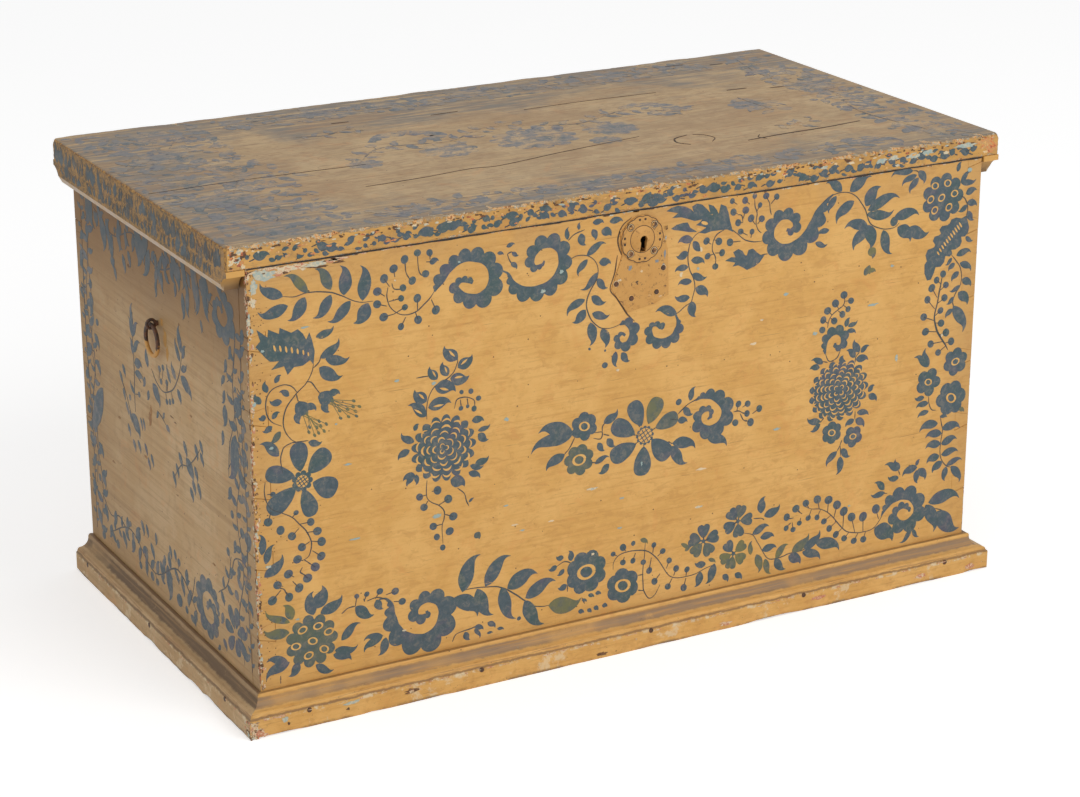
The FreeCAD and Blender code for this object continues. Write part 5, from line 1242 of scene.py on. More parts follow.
def chipped_edge(g: Graph, i: Sockets) -> Sockets:
    """Paint knocked off an edge: where it is gone, and which older layer or bare wood shows there."""
    place = i["Place"]
    ragged, long = g.noise(place, 60.0, 5.0, 0.7, 0.5), g.noise(place, 9.0, 2.0, 0.5)
    reach = g.times(i["Reach"], g.times(g.step(ragged, 0.3, 0.75), g.step(long, 0.25, 0.75)))
    reach = g.most(reach, LEAST_REACH)
    mask = g.rest(g.step(i["Distance"], g.times(reach, 0.85), reach))
    return {"Mask": mask, "Colour": g.ramp(g.noise(place, 130.0, 3.0, 0.7, 0.8), EDGE_LAYERS, True)}


def pine_grain(g: Graph, i: Sockets) -> Sockets:
    """Bare old pine: rings cut lengthwise as stretched waves, with fine fibres over them."""
    grain = g.vector("MULTIPLY", i["Place"], i["Grain"])
    rings = g.math("FRACT", g.times(g.noise(grain, 0.35, 3.0, 0.5, 0.6), 9.0))
    edge = g.times(g.step(rings, 0.0, 0.8), g.step(rings, 1.0, 0.9))
    fibre = g.noise(grain, 2.2, 5.0, 0.65)
    wood = g.over(i["Base"], i["Deep"], edge, 0.5)
    wood = g.over(wood, i["Deep"], g.step(fibre, 0.45, 0.75), 0.5)
    wood = g.over(wood, Tint.BROWN, g.step(g.noise(i["Place"], 6.0, 4.0), 0.45, 0.75), 0.4)
    return {"Colour": wood, "Height": fibre}


def brushed(g: Graph, place: Socket, grain: GrainWay, tints: Tints, dirt: float) -> Node:
    """Places the shared brushed ground with its own values."""
    return g.shared(brushed_ground, Place=place, Grain=grain, Base=tints[0], Light=tints[1], Deep=tints[2], Dirt=dirt)


def pine(g: Graph, place: Socket) -> Node:
    """Places the shared pine grain, with the grain along the chest."""
    return g.shared(pine_grain, Place=place, Grain=GrainWay.ALONG_X, Base=Tint.PINE, Deep=Tint.PINE_DARK)


def mottled(g: Graph, place: Socket, colour: Socket) -> Socket:
    """Breaks a dark ground up with small ochre, rusty and dark touches."""
    fine = g.noise(place, 150.0, 6.0, 0.75, 0.8)
    colour = g.over(colour, Tint.EDGE_OCHRE, g.step(fine, 0.49, 0.56), 0.62)
    colour = g.over(colour, Tint.RUST, g.step(fine, 0.6, 0.64), 0.5)
    return g.over(colour, Tint.SLATE_DEEP, g.step(fine, 0.46, 0.4), 0.72)


def new_material(name: str) -> Tuple[Material, Graph, Node]:
    """Makes a material with one Principled shader.

    Args:
        name: The material's name.

    Returns:
        The material, its graph and the shader node.
    """
    material = bpy.data.materials.new(name)
    material.use_nodes = True
    material.node_tree.nodes.clear()
    g = Graph(material.node_tree)
    shader = g.add("BsdfPrincipled")
    g.add("OutputMaterial", {0: shader.outputs[0]})
    return material, g, shader


class Finish:
    """How one kind of surface looks: a coat, what wear leaves of it, and the material they make.

    Strokes that are rubbed through show the coat under them again.
    """

    rough: float = 0.6
    metallic: float = 0.0
    depth: float = 0.0004

    def coat(self, g: Graph, place: Socket) -> Coat:
        """Lays the unbroken coat.

        Args:
            g: The graph it is laid in.
            place: Object coordinates.

        Returns:
            Its colour, and its height in shares of the depth, or None where it is smooth.
        """
        raise NotImplementedError

    def worn(self, g: Graph, place: Socket) -> Coat:
        """The coat with what is knocked off it: here nothing is."""
        return self.coat(g, place)

    def make(self, name: str) -> Material:
        """Builds the material.

        Args:
            name: The material's name.

        Returns:
            The material.
        """
        material, g, shader = new_material(name)
        colour, height = self.worn(g, g.add("TexCoord").outputs["Object"])
        g.fill(shader, {"Base Color": colour, "Roughness": self.rough, "Metallic": self.metallic})
        if height is not None:
            relief = g.add("Bump", {"Height": height, "Strength": 1.0, "Distance": self.depth})
            g.fill(shader, {"Normal": relief.outputs[0]})
        return material


@dataclass(frozen=True)
class CasePaint(Finish):
    """The finish of the case's boards: ochre in front, a tan on the ends that is partly painted shade, browner behind,
    bare pine within.

    Which paint a point has follows from the outer face that it lies nearest to, so that joints carry no seam.
    """

    low: Tuple[float, float, float] = (-0.505, -0.26995, 0.014)
    high: Tuple[float, float, float] = (0.505, 0.28405, 0.560)
    front: Tints = (Tint.OCHRE, Tint.OCHRE_LIGHT, Tint.OCHRE_DEEP)
    # The ends' tan is darker than the front's ochre, partly as painted shade and partly as dirt.
    ends: Tints = (Tint.TAN, Tint.TAN_LIGHT, Tint.TAN_DEEP)
    back: Tints = (Tint.BACK_TAN, Tint.TAN, Tint.TAN_DEEP)
    skin: float = 0.0024
    keyhole: Tuple[float, float] = (0.004, 0.523)
    keyhole_reach: float = 0.014
    keyhole_depths: Tuple[float, float] = (0.0004, 0.0216)
    wear: float = 0.0045
    rough: float = 0.62

    def edge(self, g: Graph, place: Socket) -> Socket:
        """How far a point is from the nearest edge of the case."""
        return g.shared(arris_distance, Place=place, Low=self.low, High=self.high).outputs[0]

    def coat(self, g: Graph, place: Socket) -> Coat:
        """The paint of the nearest outer face, browner in clouds towards the edges, and on the ends darker high up and
        towards the rear as painted shade.
        """
        front = brushed(g, place, GrainWay.ALONG_X, self.front, 0.25)
        end = brushed(g, place, GrainWay.ALONG_Y, self.ends, 0.45)
        back = brushed(g, place, GrainWay.ALONG_X, self.back, 0.6)
        x, y, z = g.parts(place)
        to_front, to_back = g.less(y, self.low[1]), g.less(self.high[1], y)
        to_end, nearest = g.less(self.high[0], g.math("ABSOLUTE", x)), g.least(to_front, to_back)
        edge, cloud = self.edge(g, place), g.step(front.outputs["Cloud"], 0.3, 0.65)
        near = g.times(g.rest(g.step(edge, 0.0, 0.07)), cloud)
        front_colour = g.over(front.outputs["Colour"], Tint.PINE_DARK, near, 0.34)
        # Painted shade: the ends darken high up; round their edges the same brown is grime.
        shade_high_up = g.times(g.step(z, 0.36, 0.51), g.math("MULTIPLY_ADD", cloud, 0.25, 0.75))
        around = g.times(g.rest(g.step(edge, 0.0, 0.12)), g.times(cloud, 0.5))
        end_colour = g.mix(g.most(shade_high_up, around), end.outputs["Colour"], Tint.END_SHADE)
        # Painted shade: the ends darken towards the rear.
        end_colour = g.over(end_colour, Tint.END_SHADE, g.step(y, -0.1, 0.28), 0.22)
        colour = g.mix(g.math("GREATER_THAN", to_front, to_back), front_colour, back.outputs["Colour"])
        colour = g.mix(g.math("LESS_THAN", to_end, nearest), colour, end_colour)
        within = g.step(g.least(to_end, nearest), self.skin, self.skin + 0.001)
        colour = g.mix(within, colour, pine(g, place).outputs["Colour"])
        # Painted shade: the keyhole's walls are made black.
        across = g.add("CombineXYZ", {0: g.less(x, self.keyhole[0]), 1: 0.0, 2: g.less(z, self.keyhole[1])})
        reach = g.add("VectorMath", {0: across.outputs[0]}, operation="LENGTH").outputs["Value"]
        hole = g.times(g.math("LESS_THAN", reach, self.keyhole_reach),
                       g.math("GREATER_THAN", to_front, self.keyhole_depths[0]))
        hole = g.times(hole, g.math("LESS_THAN", to_front, self.keyhole_depths[1]))
        return g.mix(hole, colour, Tint.SOOT), front.outputs["Height"]

    def worn(self, g: Graph, place: Socket) -> Coat:
        """The coat with chips along the case's edges."""
        colour, height = self.coat(g, place)
        chips = g.shared(chipped_edge, Place=place, Distance=self.edge(g, place), Reach=self.wear).outputs
        return g.mix(chips["Mask"], colour, chips["Colour"]), g.less(height, chips["Mask"])


@dataclass(frozen=True)
class LidPaint(Finish):
    """The finish of the lid boards: a rubbed top greyed along its borders, an ochre front edge, and dark ends."""

    top: Tints = (Tint.LID_TAN, Tint.LID_LIGHT, Tint.LID_STREAK)
    edge: Tints = (Tint.EDGE_OCHRE, Tint.OCHRE, Tint.TAN_DEEP)
    end: Tints = (Tint.OLIVE_BROWN, Tint.TAN_DEEP, Tint.BROWN)
    top_from: float = 0.5856
    end_from: float = 0.5262
    under_to: float = 0.56015
    rough: float = 0.66
    depth: float = 0.0005

    def coat(self, g: Graph, place: Socket) -> Coat:
        """The top by its height, the ends by their distance from the middle, and the front edge else."""
        x, y, z = g.parts(place)
        ragged = g.swing(g.noise(place, 120.0, 4.0, 0.7), 0.006)
        top = brushed(g, place, GrainWay.ALONG_X, self.top, 0.45)
        cloud = g.swing(g.noise(place, 9.0, 4.0, 0.6, 0.5), 0.3)
        rearwards = g.plus(y, cloud)
        border = g.most(g.step(g.less(cloud, x), 0.32, 0.46),
                        g.most(g.step(rearwards, 0.10, 0.2), g.step(rearwards, -0.16, -0.25)))
        border = g.most(border, g.times(g.step(g.plus(x, cloud), 0.46, 0.57), 0.55))
        fibre = g.noise(g.scaled(place, 12.0, 150.0), 1.0, 4.0, 0.65, 0.4)
        grey = g.times(g.math("MULTIPLY_ADD", border, 0.78, 0.16), g.step(fibre, 0.28, 0.6))
        top_colour = g.mix(grey, top.outputs["Colour"], Tint.LID_GREY)
        dash = g.noise(g.scaled(place, 26.0, 420.0), 1.0, 3.0, 0.6, 0.5)
        top_colour = g.over(top_colour, Tint.PINE_DARK, g.step(dash, 0.56, 0.7), 0.6)
        top_colour = g.over(top_colour, Tint.LID_LIGHT, g.step(dash, 0.44, 0.32), 0.4)
        blotch = g.noise(g.scaled(place, 5.0, 14.0), 1.0, 5.0, 0.65, 0.6)
        top_colour = g.over(top_colour, Tint.LID_STREAK, g.step(blotch, 0.5, 0.62), 0.35)
        side = brushed(g, place, GrainWay.ALONG_X, self.edge, 0.6).outputs["Colour"]
        end = mottled(g, place, brushed(g, place, GrainWay.ALONG_Z, self.end, 0.6).outputs["Colour"])
        out = g.plus(g.math("ABSOLUTE", x), g.times(ragged, 0.4))
        painted = g.mix(g.step(out, self.end_from, self.end_from + 0.0012), side, end)
        painted = g.mix(g.step(g.plus(z, ragged), self.top_from, self.top_from + 0.0008), painted, top_colour)
        colour = g.mix(g.math("LESS_THAN", z, self.under_to), painted, pine(g, place).outputs["Colour"])
        return colour, top.outputs["Height"]

    def worn(self, g: Graph, place: Socket) -> Coat:
        """The coat with older layers where the mesh says that an arris is knocked or chipped."""
        colour, height = self.coat(g, place)
        mottle = g.noise(place, 240.0, 5.0, 0.75, 0.6)
        at_end = g.step(g.math("ABSOLUTE", g.parts(place)[0]), 0.522, 0.5255)
        end_layer = g.mix(g.step(mottle, 0.42, 0.58), Tint.RUST, Tint.EDGE_OCHRE)
        layer = g.mix(at_end, g.ramp(mottle, LID_LAYERS), end_layer)
        gone = g.step(g.plus(g.attribute("knocked"), g.swing(mottle, 1.6)), 0.42, 0.62)
        return g.mix(gone, colour, layer), g.less(height, gone)


@dataclass(frozen=True)
class BattenPaint(Finish):
    """The finish of a lid batten: dark and painted outside, bare at the planed foot, ochre at its front nose, darker
    low on the nose as painted shade.
    """

    tints: Tints = (Tint.OLIVE_BROWN, Tint.TAN_DEEP, Tint.BROWN)
    foot: float = 0.5422
    nose: float = -0.2560
    rough: float = 0.66
    depth: float = 0.0003

    def coat(self, g: Graph, place: Socket) -> Coat:
        """The painted outside, the planed foot and the nose, told apart by their places."""
        ground = brushed(g, place, GrainWay.ALONG_Y, self.tints, 0.6)
        x, y, z = g.parts(place)
        out = g.math("ABSOLUTE", x)
        strip = g.mix(g.step(g.noise(place, 120.0, 4.0), 0.35, 0.7), Tint.STRIP, Tint.TAN_LIGHT)
        low_down = g.rest(g.step(z, self.foot - 0.0004, self.foot + 0.0003))
        outside = g.times(low_down, g.step(out, 0.5243, 0.5248))
        inside = g.rest(g.step(out, 0.526, 0.5275))
        nose = g.times(g.rest(g.step(y, self.nose, self.nose + 0.004)), g.step(out, 0.5288, 0.5284))
        painted = g.mix(outside, mottled(g, place, ground.outputs["Colour"]), strip)
        dark = g.over(painted, Tint.BROWN, inside, g.rest(outside))
        # Painted shade: the lower, hollow part of the nose is a deeper tan.
        front = g.mix(g.step(z, 0.536, 0.554), Tint.TAN_DEEP, Tint.OCHRE)
        return g.mix(nose, dark, front), ground.outputs["Height"]


@dataclass(frozen=True)
class MouldingPaint(Finish):
    """The finish of the plinth: an ochre flat with worn places, painted highlights on the arrises, and a dull brown
    cove of painted shade with grime.

    Each pair of heights gives where a member of the moulding starts and ends.
    """

    flat: Tints = (Tint.OCHRE, Tint.OCHRE_LIGHT, Tint.OCHRE_DEEP)
    cove: Tint = Tint.COVE
    grain: GrainWay = GrainWay.ALONG_X
    foot: Tuple[float, float] = (-0.01, 0.003)
    band: Tuple[float, float] = (0.0, 0.0236)
    arris: Tuple[float, float] = (0.0205, 0.0242)
    quirk: Tuple[float, float] = (0.0238, 0.0262)
    bead: Tuple[float, float] = (0.0262, 0.0305)
    low_light: Tuple[float, float] = (0.0302, 0.0316)
    hollow: Tuple[float, float] = (0.0312, 0.0425)
    lip: Tuple[float, float] = (0.0418, 0.0428)
    high_light: Tuple[float, float] = (0.0428, 0.0446)
    ledge: float = 0.0462
    lip_shade: float = 0.0
    finest: float = 260.0
    rough: float = 0.62

    def coat(self, g: Graph, place: Socket) -> Coat:
        """The paint by the heights of the moulding's members."""
        ground = brushed(g, place, self.grain, self.flat, 0.6)
        z = g.parts(place)[2]
        ragged = g.plus(z, g.swing(g.noise(place, 60.0, 4.0, 0.7), 0.004))

        def member(ends: Tuple[float, float], soft: float) -> Socket:
            """1 between two heights, with soft ends."""
            low, high = ends
            return g.times(g.step(ragged, low - soft, low + soft), g.rest(g.step(ragged, high - soft, high + soft)))

        stain = g.noise(place, 26.0, 5.0, 0.7, 0.4)
        drawn = g.vector("MULTIPLY", place, tuple(min(fibres, self.finest) for fibres in self.grain.value))
        streaks = g.noise(drawn, 1.4, 5.0, 0.7, 0.5)
        # Painted shade with grime: the cove is darker, in streaks and stains.
        cove = g.over(self.cove, self.flat[2], g.step(streaks, 0.48, 0.66), 0.6)
        cove = g.over(cove, Tint.BROWN, g.step(streaks, 0.42, 0.3), 0.5)
        held = g.math("MULTIPLY_ADD", g.step(g.noise(place, 7.0, 3.0, 0.6), 0.36, 0.5), 0.5, 0.5)
        held = g.times(held, g.step(stain, 0.2, 0.4))
        colour = g.over(ground.outputs["Colour"], cove, member(self.hollow, 0.0016), held)
        bead = g.times(member(self.bead, 0.0008), g.step(streaks, 0.5, 0.6))
        colour = g.over(colour, Tint.PINE_DARK, bead, 0.6)
        # Painted highlights: paler lines on the arrises where they catch the light.
        light = g.most(member(self.low_light, 0.0005), member(self.high_light, 0.0006))
        colour = g.over(colour, self.flat[1], light, 0.5)
        # Painted shade with dirt in the narrow groove of the quirk.
        colour = g.over(colour, Tint.BROWN, member(self.quirk, 0.0007), 0.7)
        cream = g.times(member(self.band, 0.001), g.step(stain, 0.56, 0.62))
        colour = g.over(colour, Tint.CREAM, cream, 0.6)
        knocked = g.times(member(self.arris, 0.0012), g.step(g.noise(place, 75.0, 5.0, 0.75), 0.5, 0.58))
        colour = g.over(colour, Tint.CREAM, knocked, 0.85)
        foot = g.times(member(self.foot, 0.002), g.step(stain, 0.38, 0.6))
        colour = g.over(colour, Tint.BROWN, foot, 0.8)
        colour = g.over(colour, Tint.BROWN, g.step(z, *self.lip), self.lip_shade)
        colour = g.over(colour, Tint.BROWN, g.step(z, self.ledge, self.ledge + 0.0006), 0.65)
        scuffs = g.step(g.noise(place, 48.0, 6.0, 0.8, 0.3), 0.66, 0.7)
        colour = g.over(colour, g.ramp(g.noise(place, 150.0, 4.0, 0.7, 0.6), PLINTH_LAYERS, True), scuffs, 0.8)
        return colour, g.less(ground.outputs["Height"], g.most(scuffs, knocked))


@dataclass(frozen=True)
class BrushPaint(Finish):
    """The finish of brush strokes: thin paint with a second tone, rubbed so that the ground shows through."""

    ground: Finish = CasePaint()
    main: Tint = Tint.SLATE
    cool: Tint = Tint.SLATE_TEAL
    warm: Tint = Tint.SLATE_VIOLET
    second: Tint = Tint.SAGE
    thin: float = 0.1
    rubbed_from: float = 0.61
    soft: float = 0.08
    grain: GrainWay = GrainWay.ALONG_X
    mottled: float = 0.3
    deep_from: float = 9.0
    rough: float = 0.58
    depth: float = 0.0002

    def coat(self, g: Graph, place: Socket) -> Coat:
        """The paint, darker above a height as painted shade, with the ground where it is thin or rubbed through."""
        under, height = self.ground.coat(g, place)
        tone, up = g.attribute("tone"), g.parts(place)[2]
        cloud, mottle = g.noise(place, 22.0, 3.0, 0.6, 0.5), g.noise(place, 150.0, 6.0, 0.75, 0.6)
        paint = g.mix(g.step(cloud, 0.35, 0.5), self.cool, self.main)
        paint = g.mix(g.step(cloud, 0.55, 0.7), paint, self.warm)
        paint = g.over(paint, Tint.SLATE_LIGHT, g.step(mottle, 0.5, 0.64), self.mottled)
        paint = g.over(paint, Tint.SLATE_DEEP, g.step(mottle, 0.48, 0.36), 0.45)
        # Painted shade: above the height the strokes turn deep slate.
        paint = g.over(paint, Tint.SLATE_DEEP, g.step(up, self.deep_from, self.deep_from + 0.1), 0.75)
        second = g.math("MULTIPLY", tone, g.step(g.noise(place, 90.0, 3.0, 0.6), 0.2, 0.6), clamp=True)
        paint = g.mix(second, paint, self.second)
        dark = g.math("MULTIPLY", g.math("MULTIPLY", tone, -1.0, clamp=True), 1.1, clamp=True)
        paint = g.mix(dark, paint, Tint.DARK)
        streak = g.noise(g.vector("MULTIPLY", place, self.grain), 1.3, 5.0, 0.7, 0.3)
        rub = g.plus(g.times(streak, 0.35), g.times(g.noise(place, 38.0, 6.0, 0.75, 0.6), 0.65))
        bare = g.step(rub, self.rubbed_from, self.rubbed_from + self.soft)
        return g.mix(g.most(bare, g.times(g.step(mottle, 0.46, 0.66), self.thin)), paint, under), height


@dataclass(frozen=True)
class PlainPaint(Finish):
    """The finish of light lines, chips and dark outlines: one colour with a little cloud in it."""

    base: Tint = Tint.OCHRE
    other: Tint = Tint.OCHRE_DEEP
    rough: float = 0.6

    def coat(self, g: Graph, place: Socket) -> Coat:
        """The two colours in clouds."""
        return g.mix(g.step(g.noise(place, 90.0, 4.0, 0.65, 0.4), 0.4, 0.68), self.base, self.other), None


@dataclass(frozen=True)
class ChipPaint(Finish):
    """The finish of flaked places: each stroke shows one or two of the older layers."""

    stops: Tuple[Tuple[float, Tint], ...] = ((0.0, Tint.PALE_BLUE), (0.3, Tint.CREAM), (0.45, Tint.RED_LEAD),
                                             (0.6, Tint.CREAM), (0.72, Tint.PINE_DARK), (0.86, Tint.BROWN))
    rough: float = 0.7

    def coat(self, g: Graph, place: Socket) -> Coat:
        """The layer chosen by each stroke's tone and a fine mottle."""
        mottle = g.swing(g.noise(place, 230.0, 4.0, 0.7, 0.4), 0.9)
        return g.ramp(g.math("ADD", g.attribute("tone"), mottle, clamp=True), self.stops), None


@dataclass(frozen=True)
class BarePine(Finish):
    """The finish of unpainted old pine."""

    rough: float = 0.7
    depth: float = 0.0003

    def coat(self, g: Graph, place: Socket) -> Coat:
        """The wood alone."""
        wood = pine(g, place).outputs
        return wood["Colour"], wood["Height"]


@dataclass(frozen=True)
class OldIron(Finish):
    """The finish of hand-forged iron, brown with rust, with the ground's ochre left on a share of it."""

    base: Tint = Tint.IRON
    rust: Tint = Tint.RUST
    paint: Tint = Tint.IRON_OCHRE
    painted: float = 0.0
    painted_below: float = -1.0
    metallic: float = 0.2

    def coat(self, g: Graph, place: Socket) -> Coat:
        """Rusty metal, with ochre on its share of it or below a height."""
        patch, wear = g.noise(place, 160.0, 5.0, 0.7, 0.4), g.noise(place, 110.0, 5.0, 0.75, 0.3)
        metal = g.mix(g.step(patch, 0.42, 0.62), self.base, self.rust)
        if self.painted_below > 0:
            ragged = g.math("MULTIPLY_ADD", g.less(wear, 0.5), 0.03, g.parts(place)[2])
            cover = g.step(ragged, self.painted_below + 0.002, self.painted_below - 0.002)
        else:
            cover = g.step(wear, 0.64 - self.painted * 0.4, 0.58 - self.painted * 0.4 + 0.12)
            cover = g.times(cover, 1.0 if self.painted > 0 else 0.0)
        ochre = g.mix(g.step(g.noise(place, 75.0, 4.0, 0.7), 0.45, 0.7), self.paint, Tint.OCHRE_DEEP)
        ochre = g.over(ochre, Tint.OCHRE_LIGHT, g.step(wear, 0.4, 0.3), 0.7)
        ochre = g.over(ochre, self.rust, g.step(patch, 0.55, 0.7), 0.6)
        return g.mix(cover, metal, ochre), patch


# ---------------------------------------------------------------- sub-assemblies


def dress(node: bpy.types.Object, material: Material) -> None:
    """Gives a frame node its material.

    Args:
        node: The node.
        material: Its material.
    """
    node.data.materials.clear()
    node.data.materials.append(material)
    LOG.info("%s: %s", node.name, material.name)


def finish_piece(name: str, mesh: bpy.types.Mesh, material: Material, body: str, slot: str,
                 *replaced: str) -> None:
    """Puts a finished mesh into the scene as a piece that rides on a body.

    Args:
        name: The piece's name.
        mesh: Its mesh, in place.
        material: Its material.
        body: The body it rides on.
        slot: Not used.
        *replaced: The frame nodes that it stands for.
    """
    mesh.materials.clear()
    mesh.materials.append(material)
    piece = bpy.data.objects.new(name, mesh)
    bpy.context.scene.collection.objects.link(piece)
    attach(piece, body)
    if replaced:
        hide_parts(*replaced)
    LOG.info("%s: %d faces", name, len(mesh.polygons))


def eased_copy(node: bpy.types.Object, radius: float, name: str, longer_than: float = 0.0) -> bpy.types.Mesh:
    """Copies a board's mesh, joins its triangles, and rounds the long edges of its box.

    Args:
        node: The frame node of the board.
        radius: The radius of the rounding in metres.
        name: The new mesh's name.
        longer_than: If over 0, every outward arris longer than this is rounded instead of the box's own.

    Returns:
        The mesh.
    """
    bm = bmesh.new()
    bm.from_mesh(node.data)
    bmesh.ops.remove_doubles(bm, verts=bm.verts, dist=2e-6)
    places = np.array([v.co for v in bm.verts])
    low, high = places.min(0), places.max(0)
    rim = (np.abs(places - low) < 1e-5) | (np.abs(places - high) < 1e-5)
    corner = {v.index: rim[i] for i, v in enumerate(bm.verts)}
    bm.verts.ensure_lookup_table()
    sharp = [e for e in bm.edges if len(e.link_faces) == 2 and e.calc_face_angle(0.0) > 0.6
             and int(np.sum(corner[e.verts[0].index] & corner[e.verts[1].index])) >= 2]
    if longer_than > 0:
        sharp = [e for e in bm.edges if len(e.link_faces) == 2 and e.calc_length() > longer_than
                 and e.calc_face_angle_signed(0.0) > 0.5]
    bmesh.ops.bevel(bm, geom=sharp, offset=radius, segments=3, profile=0.5, affect="EDGES", clamp_overlap=True)
    mesh = bpy.data.meshes.new(name)
    bm.to_mesh(mesh)
    bm.free()
    return mesh


def worn_moulding(node: bpy.types.Object, name: str, seed: int, pitch: float = 0.012) -> bpy.types.Mesh:
    """Copies a plinth moulding, rounds its long arrises, cuts it across at even steps and wears them.

    Each outer point moves inwards by a slow ripple along the moulding, most at its arrises, and the foot is worn up.

    Args:
        node: The frame node of the moulding.
        name: The new mesh's name.
        seed: The seed of its wear.
        pitch: Distance between the cuts in metres.

    Returns:
        The mesh.
    """
    mesh = eased_copy(node, 0.0009, name, 0.02)
    low, high = (np.array(corner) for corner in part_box(node.name))
    axis = int(np.argmax(high - low))
    across = 1 - axis
    outwards = -1.0 if low[across] < -0.29 and axis == 0 or low[across] < -0.52 else 1.0
    outer = low[across] if outwards < 0 else high[across]
    bm = bmesh.new()
    bm.from_mesh(mesh)
    normal = Vector((1.0, 0, 0)) if axis == 0 else Vector((0, 1.0, 0))
    for at in np.arange(low[axis] + pitch, high[axis] - pitch / 2, pitch):
        bmesh.ops.bisect_plane(bm, geom=bm.verts[:] + bm.edges[:] + bm.faces[:], plane_co=normal * float(at),
                               plane_no=normal, dist=1e-6)
    places = np.array([v.co for v in bm.verts])
    rng = np.random.default_rng(seed)
    count = 90
    slow, fast = ripple((count, 5), (4, 1), rng), ripple((count, 5), (1.3, 1), rng)
    at = np.clip((places[:, axis] - low[axis]) / (high[axis] - low[axis]), 0, 1) * (count - 1)
    z = places[:, 2]
    weights = [np.exp(-((z - middle) / 0.0016) ** 2) for middle in (0.0, 0.0236, 0.0305, 0.0435, 0.0465)]
    inwards = np.zeros(len(places))
    for k, (weight, depth) in enumerate(zip(weights, (0.0006, 0.0008, 0.0005, 0.0006, 0.0007))):
        wave = np.interp(at, np.arange(count), 0.5 * slow[:, k] + 0.5 * fast[:, k])
        inwards += depth * weight * np.clip(wave + 0.2, 0, 1)
    free = np.abs(places[:, across] - outer) < 0.021
    lift = np.interp(at, np.arange(count), np.clip(0.6 * slow[:, 0] + 0.5 * fast[:, 1], 0, 1)) * 0.0028
    lift = lift * (z < 0.004) * free
    for vert, move, up in zip(bm.verts, inwards * free, lift):
        vert.co[across] -= outwards * float(move)
        vert.co[2] += float(up)
    bm.to_mesh(mesh)
    bm.free()
    return mesh


def ripple(shape: Tuple[int, int], spacing: Tuple[float, float], rng: np.random.Generator) -> np.ndarray:
    """Smooth chance heights on a grid: values on a coarse lattice, joined by the cubic 3t^2 - 2t^3 both ways.

    Args:
        shape: Rows and columns of the grid.
        spacing: Grid steps to one lattice step, both ways.
        rng: The source of chance.

    Returns:
        The heights, from -1 to 1.
    """
    rows, columns = np.arange(shape[0]) / spacing[0], np.arange(shape[1]) / spacing[1]
    lattice = rng.uniform(-1, 1, (int(rows[-1]) + 3, int(columns[-1]) + 3))
    i, j = rows.astype(int)[:, None], columns.astype(int)[None, :]
    s, t = rows[:, None] - i, columns[None, :] - j
    s, t = s * s * (3 - 2 * s), t * t * (3 - 2 * t)
    upper = lattice[i, j] * (1 - t) + lattice[i, j + 1] * t
    lower = lattice[i + 1, j] * (1 - t) + lattice[i + 1, j + 1] * t
    return upper * (1 - s) + lower * s


